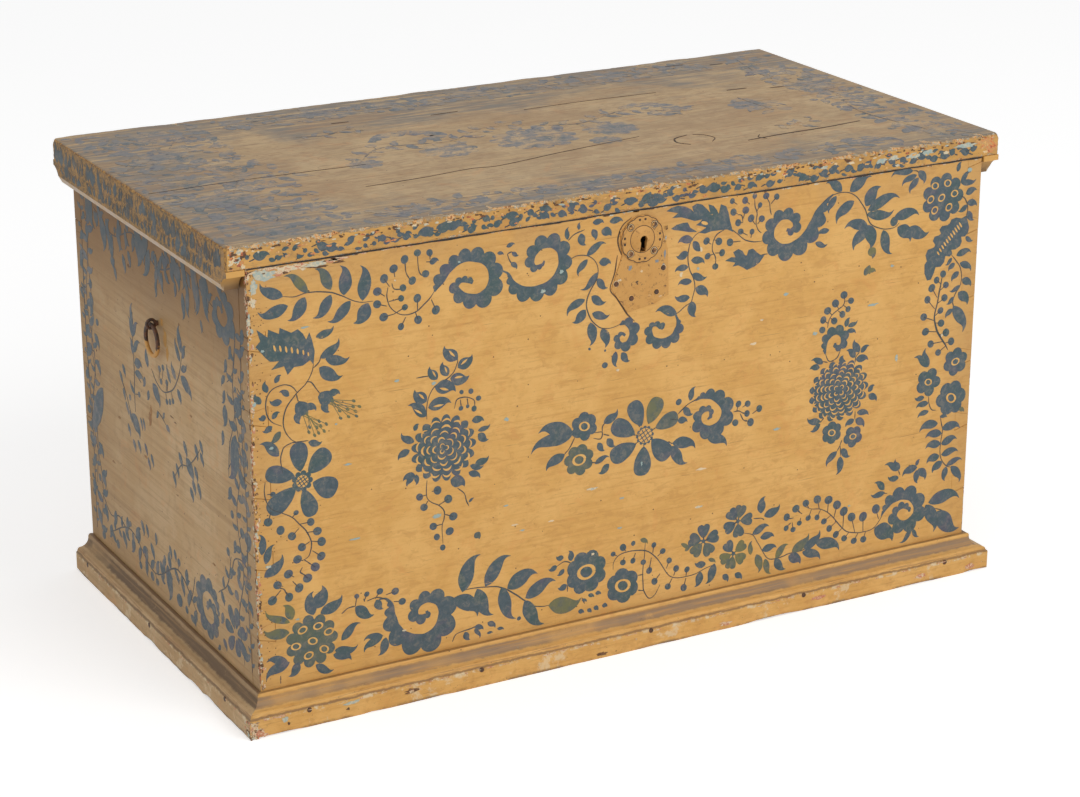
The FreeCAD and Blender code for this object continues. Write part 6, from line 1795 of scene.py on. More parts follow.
@dataclass
class WornSlab:
    """A long board whose arrises are rubbed round and knocked: a rounded section carried along x.

    The four radii are given for the corners low rear, high rear, high front and low front.
    """

    low: Vector
    high: Vector
    radii: Tuple[float, float, float, float]
    knocks: Tuple[float, float, float, float]
    end_radius: float
    seam: float
    seed: int
    step: float = 0.0025
    turns: int = 7
    flats: int = 9

    def mesh(self, name: str) -> bpy.types.Mesh:
        """Builds the mesh.

        At each station a corner's radius is its own times 1 + 0.45 of a slow ripple; a finer ripple, where it is over
        a threshold, bites the arris inwards. Towards both ends the section shrinks along a quarter circle, towards the
        seam between the boards and towards its foot.

        Args:
            name: The mesh's name.

        Returns:
            The mesh, with the bite and the arris as the attribute "knocked".
        """
        rng = np.random.default_rng(self.seed)
        length = self.high.x - self.low.x
        inner = np.linspace(self.low.x + self.end_radius, self.high.x - self.end_radius, int(length / self.step))
        bend = np.linspace(0, math.pi / 2, 6)[:-1]
        start = self.end_radius * (1 - np.cos(bend))
        x = np.concatenate([self.low.x + start, inner, self.high.x - start[::-1]])
        draw = np.zeros_like(x)
        draw[:5] = self.end_radius * (1 - np.sin(bend))
        draw[-5:] = draw[:5][::-1]
        n, count = len(x), 4 * (self.turns + self.flats)
        ys, zs, arris = (np.zeros((n, count)) for _ in range(3))
        signs = ((1, -1, -math.pi / 2), (1, 1, 0.0), (-1, 1, math.pi / 2), (-1, -1, math.pi))
        slow = ripple((n, 4), (16, 1), rng)
        at = 0
        arcs = []
        for c, (sy, sz, start) in enumerate(signs):
            radius = self.radii[c] * (1 + 0.45 * slow[:, c])[:, None]
            angle = start + np.linspace(0, math.pi / 2, self.turns)[None, :]
            cy = (self.high.y if sy > 0 else self.low.y) - sy * radius
            cz = (self.high.z if sz > 0 else self.low.z) - sz * radius
            bite = np.clip(ripple((n, self.turns), (2.2, 2.5), rng) - 0.25, 0, 1) + 0.35 * np.clip(
                ripple((n, self.turns), (9, 4), rng) - 0.2, 0, 1)
            hump = np.sin(np.linspace(0, math.pi, self.turns))[None, :]
            depth = bite * (hump * self.knocks[c])
            bared = np.clip(0.55 * hump + bite * 1.2, 0, 1) * (self.knocks[c] > 0)
            arcs.append((cy + (radius - depth) * np.cos(angle), cz + (radius - depth) * np.sin(angle), bared))
        for c in range(4):
            here, after = arcs[c], arcs[(c + 1) % 4]
            for target, value in zip((ys, zs, arris), here):
                target[:, at:at + self.turns] = value
            share = np.linspace(0, 1, self.flats + 2)[1:-1][None, :]
            for target, value, following in zip((ys, zs), here[:2], after[:2]):
                target[:, at + self.turns:at + self.turns + self.flats] = (
                    value[:, -1:] * (1 - share) + following[:, :1] * share)
            at += self.turns + self.flats
        rough = 1 + 0.35 * ripple((1, count), (1, 1.5), rng)
        share = draw[:, None] * rough
        ys = self.seam + (ys - self.seam) * (1 - share / (self.high.y - self.low.y))
        zs = self.low.z + (zs - self.low.z) * (1 - share / (self.high.z - self.low.z))
        arris = np.maximum(arris, 0.75 * np.sin(math.pi * np.clip(draw / self.end_radius, 0, 1))[:, None])
        arris[[0, -1]] = 0.0
        places = np.stack([np.broadcast_to(x[:, None], ys.shape), ys, zs], axis=-1).reshape(-1, 3)
        k = np.arange(count)
        first = np.arange(n - 1)[:, None] * count + k[None, :]
        following = np.arange(n - 1)[:, None] * count + ((k + 1) % count)[None, :]
        quads = np.stack([first, following, following + count, first + count], axis=-1).reshape(-1, 4)
        mesh = bpy.data.meshes.new(name)
        faces = quads.tolist() + [k[::-1].tolist(), (k + (n - 1) * count).tolist()]
        mesh.from_pydata(places.tolist(), [], faces)
        attribute = mesh.attributes.new("knocked", "FLOAT", "POINT")
        attribute.data.foreach_set("value", arris.ravel().astype(np.float32))
        bm = bmesh.new()
        bm.from_mesh(mesh)
        bmesh.ops.recalc_face_normals(bm, faces=bm.faces)
        bm.to_mesh(mesh)
        bm.free()
        return mesh


@dataclass
class Case:
    """The dovetailed case: front, back, ends, bottom boards, and the painted front and ends."""

    nodes: Dict[str, bpy.types.Object]
    edge: float = 0.0016
    paint: CasePaint = CasePaint()

    def boards(self) -> None:
        """Makes the boards with eased edges and dresses the ones inside the plinth."""
        material = self.paint.make("case_paint")
        for name in ("front_board", "left_end_board", "right_end_board", "back_board"):
            mesh = eased_copy(self.nodes[name], self.edge, name + "_eased")
            finish_piece(name + "_eased", mesh, material, "case", "painted_pine", name)
        pine = BarePine().make("old_pine")
        for name in ("bottom_board_front", "bottom_board_middle", "bottom_board_rear", "rear_bearer"):
            dress(self.nodes[name], pine)

    def front_decoration(self) -> None:
        """Paints the front: borders of vines, scrolls and blossoms round two upright sprays and one lying one."""
        low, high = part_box("front_board")
        panel = front_panel(low.y, "case")
        brush = Brush(Strokes(panel), Strokes(panel, -0.05, 0.3))
        for sprig in FRONT_SPRIGS:
            sprig.draw(brush)
        self.large_motifs(brush)
        discs = Strokes(panel, -0.05, 0.3)
        hatches = Strokes(panel, -0.05, 0.48)
        for u, v, radius in ((-444, 298, 7.6), (12.4, 272, 9.6)):
            self.hatched_disc(discs, hatches, u, v, radius)
        slate = BrushPaint(self.paint).make("front_slate")
        light = PlainPaint(Tint.OCHRE_LIGHT, Tint.OCHRE).make("front_lines")
        brush.paint.mesh("front_brushwork", slate, "painted_pine")
        brush.lines.mesh("front_light_lines", light, "painted_pine")
        discs.mesh("front_flower_discs", light, "painted_pine")
        hatches.mesh("front_disc_hatching", slate, "painted_pine")
        # Painted shadow with grime: brown lines along the left edges of the key plate and the shield.
        outlines = Strokes(panel)
        for points in ([(-10, 551), (-22, 543), (-28, 530), (-27, 516), (-20, 503), (-9, 496)],
                       [(-29, 507), (-33, 484), (-38.5, 466), (-28, 452), (-15, 432), (-4, 421)]):
            Brush(outlines, outlines).stem(points, 1.5)
        outlines.mesh("lock_outlines", PlainPaint(Tint.BROWN, Tint.DARK).make("brown_line"), "painted_pine")
        # Painted shadow, partly grime: a dark band along the top of the front, under the lid's edge.
        gap = Strokes(panel, -0.1, 0.45)
        for low_u, high_u in ((-503.5, -250), (-249.9, 40), (40.1, 330), (330.1, 503.5)):
            steps = np.linspace(low_u, high_u, 60)
            dip = 1.7 + 0.4 * np.sin(steps / 23.0) + 0.3 * np.sin(steps / 7.0)
            gap.band(np.stack([steps, np.full(60, 559.9)], axis=1), np.stack([steps, 559.9 - dip], axis=1))
        gap.mesh("gap_line", PlainPaint(Tint.SOOT, Tint.DARK).make("gap_dark"), "painted_pine")

    def hatched_disc(self, discs: Strokes, hatches: Strokes, u: float, v: float, radius: float) -> None:
        """Lays a light disc crossed by dark hatches.

        Args:
            discs, hatches: Where the disc and its hatches are laid.
            u, v: Its middle.
            radius: Its radius.
        """
        angle = np.linspace(0, 2 * math.pi, 24, endpoint=False)
        discs.outline(np.stack([u + radius * np.cos(angle), v + radius * np.sin(angle)], axis=1))
        for turn in (0.5, 2.1):
            way = np.array([math.cos(turn), math.sin(turn)])
            side = np.array([-way[1], way[0]])
            for shift in (-0.5, 0.0, 0.5):
                half = radius * math.sqrt(1 - shift**2) * 0.95
                middle = np.array([u, v]) + side * shift * radius
                path = np.linspace(middle - way * half, middle + way * half, 4)
                hatches.ribbon(path, np.full(4, 0.55), np.full(4, 0.55))

    def large_motifs(self, brush: Brush) -> None:
        """Paints the blossoms and cut leaves of the front that are made one by one."""
        brush.cut_leaf([(-426, 436), (-424, 452), (-427, 466), (-430, 475), (-434, 467), (-438, 475),
            (-444, 481), (-452, 478), (-466, 486), (-467, 479), (-480, 486), (-481, 477), (-494, 488),
            (-490, 474), (-496, 468), (-491, 462), (-484, 453), (-479, 448), (-468, 447), (-478, 438),
            (-462, 440), (-458, 429), (-450, 437), (-439, 437), (-430, 442)], [(-473, 463, 4, 1.3, 105),
            (-466, 461.5, 4, 1.3, 102), (-459, 459.5, 4, 1.3, 100), (-452, 457.5, 4, 1.3, 98),
            (-445, 455, 3.6, 1.2, 96), (-438, 452.5, 3.2, 1.1, 96), (-432, 449.5, 2.6, 1, 96)])
        brush.bell(-420, 399, -35, 17, [(-377, 384), (-378, 377), (-370, 376), (-375, 371), (-385, 375), (-395, 375),
                                        (-374, 365), (-384, 366), (-394, 366)])
        brush.bell(-447, 394, -58, 17, [(-421, 367), (-412, 362), (-433, 362), (-424, 360), (-419, 361), (-434, 356),
                                        (-422, 353), (-427, 351), (-415, 354)])
        brush.rosette(-444, 298, 13, 9)
        brush.rosette(-438, 97, 33, 11, 0.4)
        for u, v in ((-449.4, 113), (-429.4, 114), (-416, 104), (-437, 96.4), (-458.4, 94), (-442.6, 79), (-422.6, 83)):
            brush.eye(u, v, 5.4, 0.75, brush.lines.rng.uniform(-0.8, 0.8))
        brush.rosette(446, 514, 31.5, 9)
        for u, v in ((433, 531), (452.4, 532), (427, 514), (444, 514), (464, 517), (434, 499), (456, 500)):
            brush.eye(u, v, 4.8, 0.85, brush.lines.rng.uniform(-0.8, 0.8))
        brush.cut_leaf([(484, 485), (486.7, 478.4), (489.8, 469.7), (488.6, 462), (483.9, 457.8),
            (477.9, 458), (479.3, 451.7), (476.9, 445.8), (469.6, 442.5), (463.3, 442.7), (465.3, 437.4),
            (461.5, 434.2), (454.5, 436), (453, 428), (447.7, 422.8), (439.7, 423), (437.5, 415.6),
            (433.4, 407.7), (427.4, 407.3), (422.8, 417.4), (422.4, 429), (425.7, 433.2), (423.2, 441.4),
            (426.4, 448), (435.9, 450), (437.7, 453), (433.7, 458.5), (436, 464), (443, 465), (446, 466.8),
            (443, 472.2), (447, 476.5), (455.7, 476.6), (459.2, 479), (461.3, 483.2), (468.5, 484.8),
            (477, 482.4)],
            [(475.8 - 3.3 * k, 474.2 - 2.9 * k - 0.04 * k * k, 4.6 - 0.14 * k, 1.1, -56) for k in range(11)])
        brush.cut_leaf([(38, 552), (45, 555.2), (54, 556.7), (64.6, 554.2), (72, 550), (76.2, 546),
            (74, 552.8), (80.5, 555.8), (88, 553.6), (93.6, 548.6), (99.8, 541.9), (97, 552.6), (104, 550),
            (109.2, 544), (112, 538.6), (114.8, 550.4), (122.6, 546.6), (126, 538), (128.3, 528), (133, 513),
            (124.5, 517.5), (113.3, 518), (102, 518.3), (92.7, 516.6), (84, 519), (94.6, 523.9),
            (88.9, 526.3), (80, 529), (86, 532.2), (88.6, 535), (77.7, 534.4), (68.3, 538.4), (59, 541.6),
            (46.4, 542.5), (51.5, 545.6), (54.3, 547.6)], [(92, 530, 5, 2.2, 160), (84, 523.5, 3, 1.2, 165)])
        brush.cut_leaf([(45, 529.2), (52.4, 533.1), (61.8, 534.4), (68.3, 534), (72, 527), (82, 520.4), (70.2, 521.7),
                        (59, 524.9), (49.6, 527)])
        brush.cut_leaf([(122.6, 478), (131, 481.4), (137.3, 480.4), (133.9, 487.4), (141.4, 490.4),
            (147.4, 487), (151, 481), (153.7, 480.4), (156, 487), (162.3, 488), (168.6, 482), (174.1, 478),
            (179.6, 477), (172.8, 468.9), (165.7, 464.8), (154.5, 461.7), (148.5, 465.8), (141.4, 469.6),
            (133.5, 469.1), (137.3, 473.6), (130.1, 475.8)])
        brush.cabbage(-262.5, 305.5, 42, 41, [(0.8, 13, 2.4), (0.62, 11, 2.2), (0.44, 8, 2.0), (0.26, 5, 1.8), (0.08, 3, 1.4)])
        brush.cabbage(297.5, 281.5, 44.5, 40.5, [(0.84, 18, 1.7), (0.7, 16, 1.7), (0.56, 13, 1.7), (0.42, 10, 1.6),
                                                 (0.28, 7, 1.6), (0.12, 4, 1.4)])
        brush.rosette(12.4, 272, 12.4, 12)
        brush.heart_flower(100, 115, 19, (90, 12, -60, -135, 162), (0, 0, 0.3, 0.7, 0.2))
        brush.heart_flower(150.6, 132, 18, (76, 0, -86, 204, 130), (0.4, 0.2, 0.2, 0, 0))
        brush.heart_flower(145, 89, 17, (124, 34, -38, -104, 196), (0, 1, 1, 0.8, 1))

    def end_decoration(self) -> None:
        """Paints both ends: a frame of leaves and scrolls, and four sprays round the ring."""
        for side, name in ((-1, "left_end_board"), (1, "right_end_board")):
            low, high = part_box(name)
            middle = (low.y + high.y) / 2
            panel = Panel((low.x if side < 0 else high.x, middle, 0.0), (0, side, 0), (0, 0, 1), "case")
            rng = np.random.default_rng(31)
            brush = Brush(Strokes(panel), Strokes(panel, -0.05, 0.3))
            for sprig in (END_FRAME, END_SPRAYS):
                (sprig if side < 0 else sprig.mirrored()).draw(brush)
            for u0, v0, u1, v1, width, bend in END_TOP_ROW:
                brush.leaf((-side * u0, v0, -side * u1, v1, width, -side * bend))
            for points, pitch, size in END_VINES:
                leafy_vine(brush, [(-side * u, v) for u, v in points], pitch, size, rng, 1.6)
            # On the ends the strokes darken above 0.43 m as painted shade, like the ground under them.
            paint = BrushPaint(self.paint, Tint.SLATE, Tint.FADED, Tint.SLATE_VIOLET, thin=0.24, rubbed_from=0.56, soft=0.12,
                               grain=GrainWay.ALONG_Z, deep_from=0.43)
            brush.paint.mesh(name.replace("board", "brushwork"), paint.make(name + "_slate"), "painted_pine")

    def flakes(self) -> None:
        """Lays the light patches of the front and the flaked places along its edges."""
        low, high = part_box("front_board")
        front = front_panel(low.y, "case")
        pale = Strokes(front, -0.05, 0.44)
        ragged_patches(pale, FRONT_PATCHES, 15)
        blue = ChipPaint(((0.0, Tint.PALE_BLUE), (0.62, Tint.PALE_BLUE), (0.8, Tint.CREAM))).make("pale_patch")
        pale.mesh("front_pale_patches", blue, "painted_pine")
        chips = ChipPaint().make("flaked_layers")
        corner = Strokes(front, -0.05, 0.3)
        rng = np.random.default_rng(5)
        tall = rng.uniform(50, 556, 150)
        ragged_patches(corner, [(-503.2 + abs(rng.normal(0, 1.8)), z, rng.uniform(1.5, 6), rng.uniform(2, 9)) for z in tall])
        wide = rng.uniform(-500, -385, 34)
        ragged_patches(corner, [(u, 556.5 - abs(rng.normal(0, 3.2)), rng.uniform(5, 22), rng.uniform(2, 6)) for u in wide])
        wide = rng.uniform(-385, 500, 60)
        ragged_patches(corner, [(u, 558.6 - abs(rng.normal(0, 0.8)), rng.uniform(3, 14), rng.uniform(1, 2.6)) for u in wide])
        for _ in range(110):
            u, v = -500 + abs(rng.normal(0, 14)), rng.uniform(52, 552)
            ragged_patches(corner, [(u, v, rng.uniform(0.8, 2.4), rng.uniform(0.8, 2.2), 0.97)], 7)
        corner.mesh("front_edge_flakes", chips, "painted_pine")
        strip = Strokes(front, -0.05, 0.36)
        ragged_patches(strip, [(-484, 550, 38, 15, 0.08), (-455, 553, 46, 9, 0.3), (-496, 538, 12, 22, 0.1),
                               (-476, 557, 30, 5, 0.62), (-420, 554, 40, 8, 0.14), (-392, 556, 30, 6, 0.36),
                               (-440, 556, 22, 4, 0.6), (-497, 520, 9, 16, 0.3), (-466, 548, 14, 6, 0.5)], 21)
        strip.mesh("front_corner_strip", chips, "painted_pine")
        left_low, left_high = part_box("left_end_board")
        left = Panel((left_low.x, (left_low.y + left_high.y) / 2, 0.0), (0, -1, 0), (0, 0, 1), "case")
        side = Strokes(left, -0.05, 0.3)
        ragged_patches(side, [(275.4 - abs(rng.normal(0, 1.2)), z, rng.uniform(1.5, 5), rng.uniform(2, 9))
                              for z in rng.uniform(50, 545, 90)])
        side.mesh("left_edge_flakes", chips, "painted_pine")
        stains = Strokes(left, -0.05, 0.26)
        ragged_patches(stains, [(22, 404, 12, 34, 0.1), (27, 388, 10, 22, 0.12), (14, 424, 9, 12, 0.2),
            (-41, 284, 12, 26, 0.5), (-36, 296, 7, 14, 0.42), (33, 309, 16, 2.2, 0.9),
            (44, 305, 10, 1.8, 0.92), (-150, 250, 14, 4, 0.6), (96, 330, 10, 3, 0.66), (-90, 466, 9, 5, 0.9),
            (-222, 318, 4, 4, 0.95), (70, 436, 5, 5, 0.7), (-62, 226, 12, 5, 0.5), (150, 160, 12, 4, 0.55),
            (-180, 180, 10, 4, 0.64), (40, 210, 9, 3, 0.8)], 15)
        tints = ((0.0, Tint.EDGE_OCHRE), (0.3, Tint.OCHRE_DEEP), (0.5, Tint.PINE_DARK), (0.7, Tint.TAN_DEEP), (0.9, Tint.BROWN))
        stains.mesh("left_end_stains", ChipPaint(tints).make("end_stains"), "painted_pine")


@dataclass
class Lid:
    """The lid: two boards, the end battens and its painted decoration."""

    nodes: Dict[str, bpy.types.Object]
    paint: LidPaint = LidPaint()
    batten: BattenPaint = BattenPaint()

    def boards(self) -> None:
        """Makes the two boards with rubbed arrises and dresses the battens."""
        shapes = {"lid_board_front": ((0.0004, 0.0004, 0.0055, 0.002),
            (0.0, 0.0, 0.0022, 0.0010), 0.02805, 11), "lid_board_rear": ((0.002, 0.0055, 0.0004, 0.0004),
            (0.0010, 0.0022, 0.0, 0.0), 0.02805, 12), }
        for name, (radii, knocks, seam, seed) in shapes.items():
            low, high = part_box(name)
            mesh = WornSlab(low, high, radii, knocks, 0.004, seam, seed).mesh(name + "_worn")
            finish_piece(name + "_worn", mesh, self.paint.make(name + "_paint"), "lid", "painted_pine", name)
        for name in ("lid_batten_left", "lid_batten_right"):
            dress(self.nodes[name], self.batten.make(name + "_paint"))

    def top_decoration(self) -> None:
        """Paints the top: leafy borders, a garland in the middle and single sprays, all much rubbed."""
        low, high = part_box("lid_board_front")
        panel = top_panel(high.z)
        brush = Brush(Strokes(panel, -0.1, 0.06, levels=149), Strokes(panel, -0.05, 0.5))
        rng = np.random.default_rng(77)
        for low_u, low_v, high_u, high_v in ((-520, -266, -345, 264), (-345, 196, 405, 264), (428, -266, 520, 264),
                                             (-345, -266, 405, -212)):
            scatter(brush, (low_u, low_v), (high_u, high_v), 14, 24, 0, 180, rng, 0.92)
        for points, pitch, size in (([(-500, -240), (-430, -200), (-440, -100), (-400, 0), (-440, 100), (-400, 190)], 17, 26),
                                    ([(-330, 218), (-200, 236), (-60, 208), (80, 236), (220, 212), (380, 232)], 17, 20),
                                    ([(460, 230), (440, 120), (470, 20), (440, -100), (460, -220)], 17, 24),
                                    ([(-340, -236), (-200, -222), (-60, -240), (80, -224), (220, -240), (390, -226)], 17, 20),
                                    ([(-250, -30), (-190, 30), (-100, 20), (-20, 60), (80, 20), (170, 50), (240, 10)], 14, 26),
                                    ([(-260, 130), (-225, 120), (-190, 135), (-170, 120)], 14, 20),
                                    ([(300, -110), (330, -120), (362, -104)], 12, 22), ([(340, 40), (345, -40)], 12, 30),
                                    ([(-410, -20), (-370, -36), (-330, -24)], 12, 24)):
            leafy_vine(brush, points, pitch, size, rng, 2.4)
        for u, v, radius, lobes in ((0, -20, 58, 11), (-120, -20, 38, 9), (110, -22, 38, 9), (-240, -30, 24, 7),
                                    (75, -70, 22, 7), (340, 0, 36, 9), (-440, 110, 34, 9), (-450, -90, 34, 9),
                                    (470, 60, 30, 8), (40, 235, 26, 8), (-180, 235, 26, 8), (250, 236, 26, 8),
                                    (-40, -240, 24, 8), (180, -242, 24, 8), (-420, 220, 30, 8)):
            brush.rosette(u, v, radius, lobes, squash=0.85)
        brush.scroll([(170, 60, 4), (205, 70, 10), (235, 40, 12), (215, 10, 10), (190, 22, 7)], -1)
        brush.scroll([(-190, 60, 4), (-160, 84, 10), (-120, 80, 12), (-96, 54, 10), (-120, 40, 7)], -1)
        faded = BrushPaint(self.paint, Tint.FADED, Tint.SLATE, Tint.SLATE_VIOLET, Tint.FADED, 0.45, 0.46, 0.1)
        brush.paint.mesh("lid_top_brushwork", faded.make("lid_faded_slate"), "painted_pine")

    def edge_decoration(self) -> None:
        """Paints the front edge with a row of leaves and berries, and the ends with close upright leaves."""
        low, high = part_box("lid_board_front")
        panel = front_panel(low.y, "lid")
        brush = Brush(Strokes(panel, -0.3, 0.12), Strokes(panel, -0.05, 0.3))
        rng = np.random.default_rng(9)
        for u, v, half in EDGE_MARKS:
            turn = rng.uniform(-0.9, 0.9) + (math.pi if rng.uniform() < 0.4 else 0)
            reach = min(half, 4.0 + abs(math.cos(turn)) * half)
            du, dv = half * math.cos(turn), min(6.0, reach) * math.sin(turn)
            if half <= 4:
                brush.berry((u, v, 2.7, u - 5 * math.cos(turn), v - 4 * math.sin(turn)))
            else:
                brush.leaf((u - du, v - dv, u + 1.3 * du, v + dv, 4.4 + half * 0.72, rng.uniform(-16, 16)))
                brush.stem([(u - du, v - dv), (u - du - 7 * math.cos(turn), v - dv - 2)], 1.2)
                if half > 6:
                    brush.leaf((u - du, v - dv, u - 0.4 * du, v + 6, 6.0, rng.uniform(-16, 16)))
        for u in np.arange(-498, 470, 9.5):
            at, up, turn = u + rng.uniform(-3, 3), rng.uniform(565, 580), rng.uniform(-0.7, 0.7)
            brush.leaf((at, up, at + 9 * math.cos(turn), up + 7 * math.sin(turn), rng.uniform(3.0, 5.6), rng.uniform(-14, 14)))
        brush.paint.mesh("lid_edge_brushwork", BrushPaint(self.paint).make("lid_edge_slate"), "painted_pine")
        for side, name in ((-1, "left"), (1, "right")):
            panel = Panel((side * LID_REACH, MIDDLE, 0.0), (0, side, 0), (0, 0, 1), "lid")
            brush = Brush(Strokes(panel, -0.4, 0.1), Strokes(panel, -0.05, 0.3))
            for u, v, wide in ((-262, 541, 12), (-246, 538, 13), (-228, 540, 11), (-196, 566, 12), (-150, 562, 16), (-136, 558, 15),
                               (-104, 540, 11), (-62, 565, 12), (-18, 541, 12), (38, 564, 12), (66, 541, 11), (104, 558, 18),
                               (122, 560, 15), (134, 538, 13), (160, 541, 10), (178, 562, 12), (204, 538, 13), (226, 560, 14),
                               (248, 540, 12), (262, 562, 12)):
                low_v = max(v, 546.0 if abs(u) < 244 else 558.0)
                brush.leaf((-side * u, low_v, -side * (u + rng.uniform(-8, 8)), min(low_v + 27, 583.0), wide, rng.uniform(-9, 9)))
            for u in np.arange(-272, 272, 7.0):
                for v, tall in ((563, 19), (546.5, 15)):
                    u0, v0 = u + rng.uniform(-4, 4), v + rng.uniform(-1.5, 1.5)
                    long = tall * rng.uniform(0.55, 1.0)
                    if rng.uniform() < 0.66 and (v > 560 or abs(u) < 246):
                        brush.leaf((u0, v0, u0 + rng.uniform(-7, 7), min(v0 + long, 582.0), rng.uniform(3, 7),
                                    rng.uniform(-12, 12)))
            paint = BrushPaint(self.batten, Tint.SLATE_DEEP, Tint.SLATE, Tint.DARK, Tint.SAGE, 0.3, 0.55, 0.08,
                               GrainWay.ALONG_Z, mottled=0.12)
            brush.paint.mesh(f"lid_{name}_end_brushwork", paint.make(f"lid_{name}_slate"), "painted_pine")

    def cracks(self) -> None:
        """Lays the dark splits and the knots of the top."""
        low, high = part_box("lid_board_front")
        panel = top_panel(high.z)
        marks = Strokes(panel, -0.1, 0.38)
        brush = Brush(marks, marks)
        for points, width in (([(230, -157), (290, -151), (350, -149), (410, -142)], 2.2),
                              ([(-284, -124), (-210, -120), (-138, -111), (-100, -115), (0, -95), (120, -75)], 1.0),
                              ([(-520, -30), (-380, -27), (-240, -32)], 0.8), ([(60, 118), (150, 121), (260, 117)], 0.8),
                              ([(350, 82), (380, 80)], 2.2), ([(408, 66), (430, 64)], 1.6), ([(-192, 171), (-168, 170)], 1.8),
                              ([(350, 241), (378, 239)], 2.2), ([(410, 221), (430, 219)], 1.6), ([(-60, 150), (-20, 152)], 1.2),
                              ([(156, -140), (146, -124), (154, -106), (176, -98)], 1.6),
                              ([(188, -140), (200, -126), (196, -108), (184, -99)], 0.9),
                              ([(258, -140), (250, -150), (256, -160)], 1.0)):
            brush.stem(points, width)
        marks.mesh("lid_cracks", PlainPaint(Tint.DARK, Tint.BROWN, 0.8).make("crack_dark"), "painted_pine")
        edge = front_panel(low.y, "lid")
        chips = Strokes(edge, -0.3, 0.3)
        rng = np.random.default_rng(14)
        ragged_patches(chips, [(u, 582.4 - abs(rng.normal(0, 2.0)), rng.uniform(3, 10), rng.uniform(1.5, 4))
                               for u in rng.uniform(-520, 520, 120)])
        ragged_patches(chips, [(u, 583.6 - abs(rng.normal(0, 1.6)), rng.uniform(2, 8), rng.uniform(1.2, 3.4), 0.95)
                               for u in rng.uniform(-500, 500, 110)], 9)
        ragged_patches(chips, [(-519 + rng.uniform(-6, 12), rng.uniform(562, 583), rng.uniform(4, 11), rng.uniform(3, 8),
                                rng.choice((0.05, 0.34, 0.5, 0.7, 0.72, 0.9))) for _ in range(40)])
        ragged_patches(chips, [(513, 575, 30, 23, 0.62), (503, 580, 26, 9, 0.6), (517, 569, 20, 13, 0.64), (508, 566, 10, 5, 0.45)], 19)
        ragged_patches(chips, [(u, 572 + rng.uniform(-8, 8), rng.uniform(4, 11), rng.uniform(2, 5), rng.choice((0.56, 0.67)))
                               for u in rng.uniform(-500, 480, 36)])
        ragged_patches(chips, [(348, 575, 24, 9, 0.05), (366, 576, 20, 8, 0.12), (395, 575, 24, 9, 0.1), (417, 577, 26, 8, 0.05),
                               (478, 578.5, 46, 8, 0.08), (446, 573, 12, 5, 0.3), (372, 566, 10, 4, 0.1), (302, 578, 16, 5, 0.3),
                               (262, 577, 14, 5, 0.1), (204, 576, 12, 5, 0.36)], 17)
        chips.mesh("lid_edge_flakes", ChipPaint(((0.0, Tint.PALE_BLUE), (0.34, Tint.CREAM), (0.5, Tint.OCHRE_LIGHT),
                                                 (0.6, Tint.PINE), (0.66, Tint.ORANGE), (0.72, Tint.RED_LEAD),
                                                 (0.85, Tint.BROWN))).make("edge_flakes"),
                   "painted_pine")


@dataclass
class Plinth:
    """The moulded plinth round three sides."""

    nodes: Dict[str, bpy.types.Object]
    shaded: Tuple[Tint, Tint, Tint] = (Tint.TAN, Tint.TAN_LIGHT, Tint.TAN_DEEP)

    def mouldings(self) -> None:
        """Dresses the mouldings."""
        # The sides' moulding paint is the front's in tan with a darker cove and lip: partly painted shade, partly dirt.
        shaded = MouldingPaint(self.shaded, Tint.COVE_SHADE, GrainWay.ALONG_Y, lip_shade=0.42).make("plinth_side_paint")
        front = MouldingPaint().make("plinth_front_paint")
        for name, material, seed in (("plinth_front", front, 17), ("plinth_left", shaded, 16),
                                     ("plinth_right", shaded, 17)):
            mesh = worn_moulding(self.nodes[name], name + "_worn", seed)
            finish_piece(name + "_worn", mesh, material, "case", "painted_pine", name)

    def flakes(self) -> None:
        """Lays the flaked places of the front corner and along the flat's upper edge."""
        rng = np.random.default_rng(21)
        low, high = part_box("plinth_front")
        front = Strokes(front_panel(low.y, "case"), -0.1, 0.25)
        ragged_patches(front, [(-528.6 + abs(rng.normal(0, 6)), rng.uniform(2, 22), rng.uniform(2, 8), rng.uniform(2, 6))
                               for _ in range(34)])
        ragged_patches(front, [(u, 23.2 - abs(rng.normal(0, 0.8)), rng.uniform(4, 16), rng.uniform(1, 2.6), 0.35)
                               for u in rng.uniform(-520, 520, 60)])
        ragged_patches(front, [(-519, 8, 20, 13, 0.4), (-524, 17, 12, 10, 0.62), (-512, 4, 14, 6, 0.35),
            (-486, 17, 10, 9, 0.08), (-481, 11, 4, 5, 0.95), (-526, 8, 6, 12, 0.66), (-320, 16, 26, 9, 0.78),
            (-322, 15, 8, 6, 0.62), (-400, 19, 26, 6, 0.1), (-405, 12, 6, 4, 0.95), (120, 8, 22, 8, 0.36),
            (260, 14, 30, 8, 0.42), (-60, 6, 18, 6, 0.8), (420, 10, 24, 8, 0.36), (500, 8, 22, 10, 0.4)], 19)
        front.mesh("plinth_front_flakes", ChipPaint().make("plinth_flakes"), "painted_pine")
        low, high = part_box("plinth_left")
        left = Strokes(Panel((low.x, MIDDLE, 0.0), (0, -1, 0), (0, 0, 1), "case"), -0.1, 0.25)
        ragged_patches(left, [(300 - abs(rng.normal(0, 5)), rng.uniform(2, 22), rng.uniform(2, 8), rng.uniform(2, 6))
                              for _ in range(26)])
        ragged_patches(left, [(u, 23.2 - abs(rng.normal(0, 0.8)), rng.uniform(4, 16), rng.uniform(1, 2.4), 0.35)
                              for u in rng.uniform(-270, 296, 34)])
        left.mesh("plinth_left_flakes", ChipPaint().make("plinth_left_flakes"), "painted_pine")


